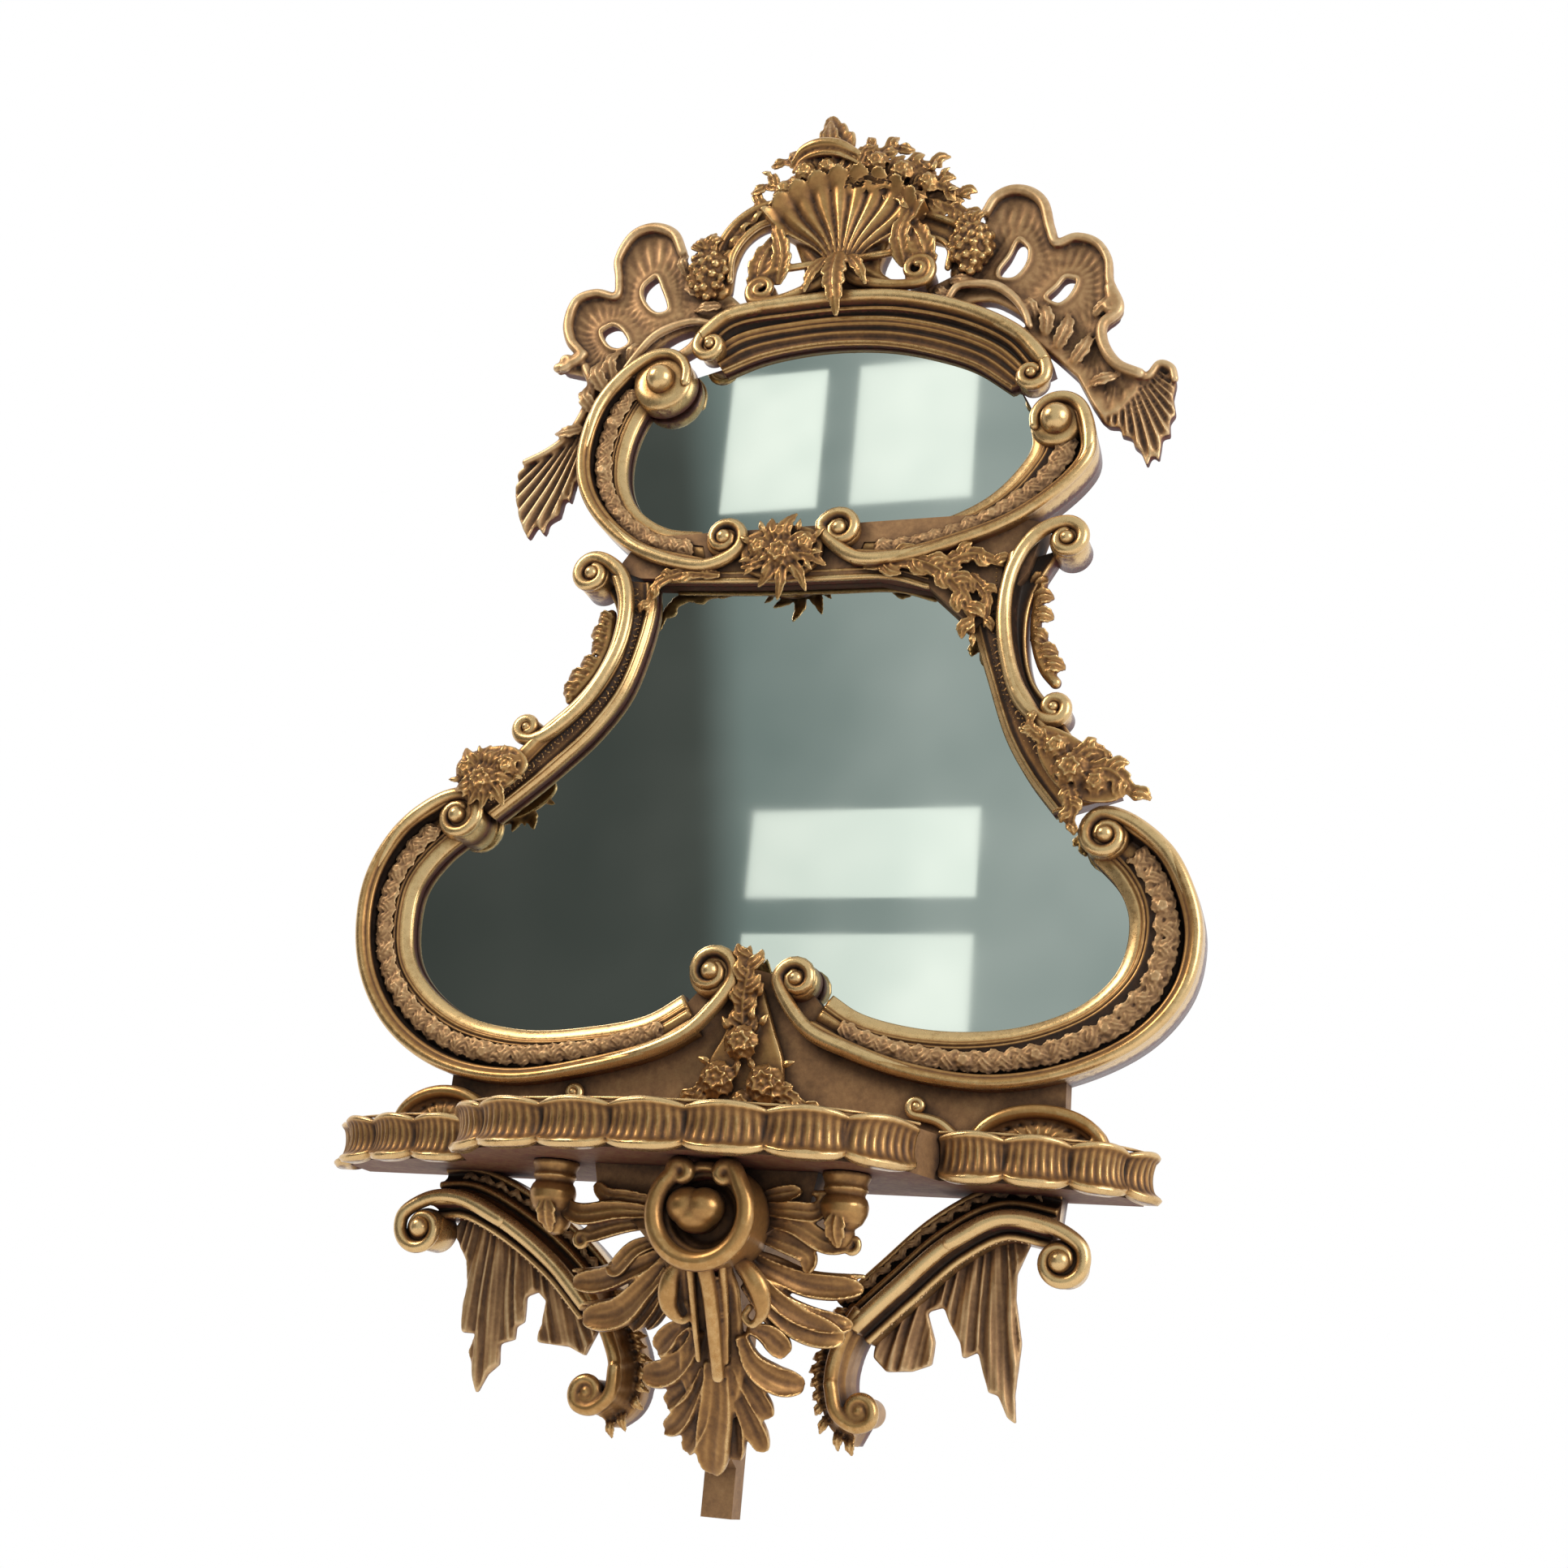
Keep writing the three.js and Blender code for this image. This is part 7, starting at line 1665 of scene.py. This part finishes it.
def floor():
    """A plain pale floor below the mirror."""
    size, low = FLOOR_HALF, FLOOR_LEVEL
    mesh = bpy.data.meshes.new("floor")
    mesh.from_pydata([(-size, -size, low), (size, -size, low), (size, size, low), (-size, size, low)], [],
                     [(0, 1, 2, 3)])
    obj = object_of("floor", mesh)
    material, tree, shader, where = blank("pale matte paper floor")
    cloud = add(tree, "ShaderNodeTexNoise", {
        "Vector": where, "Scale": 1 / (900.0 * MM), "Detail": 3.0, "Roughness": 0.55})
    tint = add(tree, "ShaderNodeValToRGB", [cloud], PAPER)
    tree.links.new(tint, shader.inputs["Base Color"])
    shader.inputs["Roughness"].default_value = 0.9
    mesh.materials.append(material)


# ---------------------------------------------------------------- the add-on


class PierMirrorSizes(bpy.types.PropertyGroup):
    """Sizes of the carving that a user would change."""

    middle_scallops: bpy.props.IntProperty(
        name="Middle scallops", description="Scallops along the middle of the shelf's edging", default=7,
        min=3, max=11)
    end_scallops: bpy.props.IntProperty(
        name="End scallops", description="Scallops along each end of the shelf's edging", default=4, min=2,
        max=7)
    scallop_flutes: bpy.props.IntProperty(
        name="Flutes in a scallop", description="Flutes cut into each scallop", default=8, min=3, max=12)
    shell_flutes: bpy.props.IntProperty(
        name="Shell flutes", description="Flutes of the shell on the crest", default=9, min=5, max=13)
    wing_flute_pitch: bpy.props.FloatProperty(
        name="Wing flute pitch", description="Width of one flute in the wings' lobes", default=9.5 * MM,
        min=5 * MM, max=20 * MM, unit="LENGTH")
    drop_pleats: bpy.props.IntProperty(
        name="Drop pleats", description="Pleats in a full turn round the eye of a hanging drop", default=112,
        min=60, max=160)


class PierMirrorLook(bpy.types.PropertyGroup):
    """Finish of the gilding and of the plates."""

    burnished: bpy.props.FloatProperty(
        name="Burnished roughness", description="Roughness of the leaf where it was rubbed most",
        default=0.28, min=0.05, max=1.0, subtype="FACTOR")
    matte: bpy.props.FloatProperty(
        name="Matte roughness", description="Roughness of the unburnished leaf where it is smoothest",
        default=0.4, min=0.05, max=1.0, subtype="FACTOR")
    # Reach of the ambient occlusion that paints shade into the gilding's creases.
    painted_shade_reach: bpy.props.FloatProperty(
        name="Hollow reach", description="Width of the hollows that old wax has darkened", default=16 * MM,
        min=4 * MM, max=60 * MM, unit="LENGTH")
    glass_light: bpy.props.FloatVectorProperty(
        name="Glass", description="Tint of the plates where the silver is clear",
        default=linear("#C9CFCC")[:3],
        size=3, min=0, max=1, subtype="COLOR")
    glass_dim: bpy.props.FloatVectorProperty(
        name="Dimmed glass", description="Tint of the plates where the silver has dimmed",
        default=linear("#B4BDBA")[:3],
        size=3, min=0, max=1, subtype="COLOR")


class PierMirrorStage(bpy.types.PropertyGroup):
    """Lights of the studio."""

    key_power: bpy.props.FloatProperty(
        name="Key", description="Power of the warm softbox at upper left", default=90.0, min=0, unit="POWER")
    fill_power: bpy.props.FloatProperty(
        name="Fill", description="Power of the softbox at the right", default=60.0, min=0, unit="POWER")
    panel_power: bpy.props.FloatProperty(
        name="Panels", description="Power of each pale panel that the plates reflect", default=0.5, min=0,
        unit="POWER")


class PIERMIRROR_OT_finishes(bpy.types.Operator):
    """Makes the finishes and the small motifs that the carving repeats"""
    bl_idname = "piermirror.finishes"
    bl_label = "Finishes"

    def execute(self, context):
        finishes(context.scene.pier_mirror_look)
        motifs()
        return {"FINISHED"}


class PIERMIRROR_OT_plates(bpy.types.Operator):
    """Finishes the glass, the boards and the hangers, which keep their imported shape"""
    bl_idname = "piermirror.plates"
    bl_label = "Glass, boards and hangers"

    def execute(self, context):
        refinished("mirror_glass", "mirror_plate_upper", "mirror_plate_lower")
        refinished("backing_board", "backboard_upper", "backboard_lower")
        refinished("zinc_steel", *[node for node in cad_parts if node.startswith("hanger_")])
        refinished("matte_gilding", "middle_rail", "apron_panel", "shelf_board", "bracket_backbone")
        return {"FINISHED"}


class PIERMIRROR_OT_rail_and_apron(bpy.types.Operator):
    """Carves the bead of the middle rail and the curls of the apron"""
    bl_idname = "piermirror.rail_and_apron"
    bl_label = "Rail and apron"

    def execute(self, context):
        rail_pieces()
        apron()
        return {"FINISHED"}


class PIERMIRROR_OT_members(bpy.types.Operator):
    """Carves the seven mouldings of the frame with their scrolled ends"""
    bl_idname = "piermirror.members"
    bl_label = "Frame mouldings"

    def execute(self, context):
        for name, spec in MEMBERS.items():
            member(name, spec)
        return {"FINISHED"}


class PIERMIRROR_OT_bands(bpy.types.Operator):
    """Sets rows of leaves and punched beads along the mouldings"""
    bl_idname = "piermirror.bands"
    bl_label = "Carved bands"

    def execute(self, context):
        for seed, name in enumerate(("oval_left", "oval_right", "lobe_left", "lobe_right"), BAND_SEED):
            band_carving(name, MEMBERS[name], seed)
        for name in ("waist_left", "waist_right"):
            waist_carving(name, MEMBERS[name], WAIST_SEED)
        return {"FINISHED"}


class PIERMIRROR_OT_flowers(bpy.types.Operator):
    """Carves the flowers of the rail, the shoulders and the garland, and the leaves in the corners"""
    bl_idname = "piermirror.flowers"
    bl_label = "Flowers and leaves"

    def execute(self, context):
        middle_flowers()
        corner_leaves()
        shoulder_flowers()
        garland()
        for side, (stem, tips) in WAIST_LEAVES.items():
            waist_leaves(side, stem, tips)
        return {"FINISHED"}


class PIERMIRROR_OT_crest(bpy.types.Operator):
    """Carves the shell, the finial, the spray of flowers and the crest's two arms"""
    bl_idname = "piermirror.crest"
    bl_label = "Crest"

    def execute(self, context):
        shell(context.scene.pier_mirror_sizes.shell_flutes)
        finial()
        spray()
        crest_arms()
        return {"FINISHED"}


class PIERMIRROR_OT_wings(bpy.types.Operator):
    """Carves the two pierced wings of the crest"""
    bl_idname = "piermirror.wings"
    bl_label = "Wings"

    def execute(self, context):
        for side in WING:
            wing(side, context.scene.pier_mirror_sizes.wing_flute_pitch)
        return {"FINISHED"}


class PIERMIRROR_OT_grapes(bpy.types.Operator):
    """Carves the two bunches of grapes"""
    bl_idname = "piermirror.grapes"
    bl_label = "Grapes"

    def execute(self, context):
        for bunch in GRAPES:
            grapes(*bunch)
        return {"FINISHED"}


class PIERMIRROR_OT_shelf(bpy.types.Operator):
    """Carves the scalloped edging of the shelf, its ears and its reed"""
    bl_idname = "piermirror.shelf"
    bl_label = "Shelf"

    def execute(self, context):
        sizes = context.scene.pier_mirror_sizes
        shelf_edge("shelf_edge_middle", MIDDLE_EDGE, sizes.middle_scallops, sizes.scallop_flutes)
        shelf_edge("shelf_edge_right", END_EDGE, sizes.end_scallops, sizes.scallop_flutes)
        shelf_edge("shelf_edge_left", LEFT_END_EDGE, sizes.end_scallops, sizes.scallop_flutes)
        for each in EARS:
            ear(*each)
        shelf_reed()
        return {"FINISHED"}


class PIERMIRROR_OT_ring(bpy.types.Operator):
    """Turns and carves the ring with its heart-shaped boss"""
    bl_idname = "piermirror.ring"
    bl_label = "Ring and boss"

    def execute(self, context):
        boss_ring()
        cabochon()
        return {"FINISHED"}


class PIERMIRROR_OT_arms(bpy.types.Operator):
    """Carves the bracket's scrolled arms and feet"""
    bl_idname = "piermirror.arms"
    bl_label = "Bracket arms and feet"

    def execute(self, context):
        for side in SIDES:
            scroll_arm(side)
            scroll_foot(side)
        return {"FINISHED"}


class PIERMIRROR_OT_bracket_leaves(bpy.types.Operator):
    """Carves the hanging acanthus, the leaf groups beside the ring and the corbels"""
    bl_idname = "piermirror.bracket_leaves"
    bl_label = "Bracket leaves"

    def execute(self, context):
        acanthus()
        for side in SIDES:
            leaf_pairs(side)
            corbel(side)
        return {"FINISHED"}


class PIERMIRROR_OT_drops(bpy.types.Operator):
    """Carves the two pleated drops that hang under the arms"""
    bl_idname = "piermirror.drops"
    bl_label = "Drops"

    def execute(self, context):
        for side in SIDES:
            drop(side, context.scene.pier_mirror_sizes.drop_pleats)
        return {"FINISHED"}


class PIERMIRROR_OT_stage(bpy.types.Operator):
    """Sets the camera, the pale room, the floor and the softboxes"""
    bl_idname = "piermirror.stage"
    bl_label = "Studio"

    def execute(self, context):
        stage = context.scene.pier_mirror_stage
        camera()
        backdrop()
        floor()
        softbox("key", *KEY, stage.key_power, "#FFF1DC")
        softbox("fill", *FILL, stage.fill_power, "#FFF6EA")
        for x, z, wide, high in PANELS:
            softbox("panel", (x, -PANEL_AWAY, z), (x, 0, z), wide, high, stage.panel_power, "#FFFDF2")
        context.scene.view_settings.view_transform = "Standard"
        return {"FINISHED"}


PIECES = (
    PIERMIRROR_OT_finishes, PIERMIRROR_OT_plates, PIERMIRROR_OT_rail_and_apron, PIERMIRROR_OT_members,
    PIERMIRROR_OT_bands, PIERMIRROR_OT_flowers, PIERMIRROR_OT_crest, PIERMIRROR_OT_wings,
    PIERMIRROR_OT_grapes, PIERMIRROR_OT_shelf, PIERMIRROR_OT_ring, PIERMIRROR_OT_arms,
    PIERMIRROR_OT_bracket_leaves, PIERMIRROR_OT_drops, PIERMIRROR_OT_stage,
)
GROUPS = {
    "pier_mirror_sizes": PierMirrorSizes,
    "pier_mirror_look": PierMirrorLook,
    "pier_mirror_stage": PierMirrorStage,
}


class PIERMIRROR_PT_pieces(bpy.types.Panel):
    """Lists the settings and the pieces in the order in which they are made"""
    bl_idname = "PIERMIRROR_PT_pieces"
    bl_label = "Pier Mirror"
    bl_space_type = "VIEW_3D"
    bl_region_type = "UI"
    bl_category = "Pier Mirror"

    def draw(self, context):
        for key, group in GROUPS.items():
            box = self.layout.box()
            for name in group.__annotations__:
                box.prop(getattr(context.scene, key), name)
        for piece in PIECES:
            self.layout.operator(piece.bl_idname)


def register():
    for made in (*GROUPS.values(), *PIECES, PIERMIRROR_PT_pieces):
        bpy.utils.register_class(made)
    for key, group in GROUPS.items():
        setattr(bpy.types.Scene, key, bpy.props.PointerProperty(type=group))


def unregister():
    for key in GROUPS:
        delattr(bpy.types.Scene, key)
    for made in reversed((*GROUPS.values(), *PIECES, PIERMIRROR_PT_pieces)):
        bpy.utils.unregister_class(made)


def main():
    register()
    for piece in PIECES:
        family, name = piece.bl_idname.split(".")
        getattr(getattr(bpy.ops, family), name)()
    for obj in MOTIF.values():
        bpy.data.objects.remove(obj)


if __name__ == "__main__":
    main()
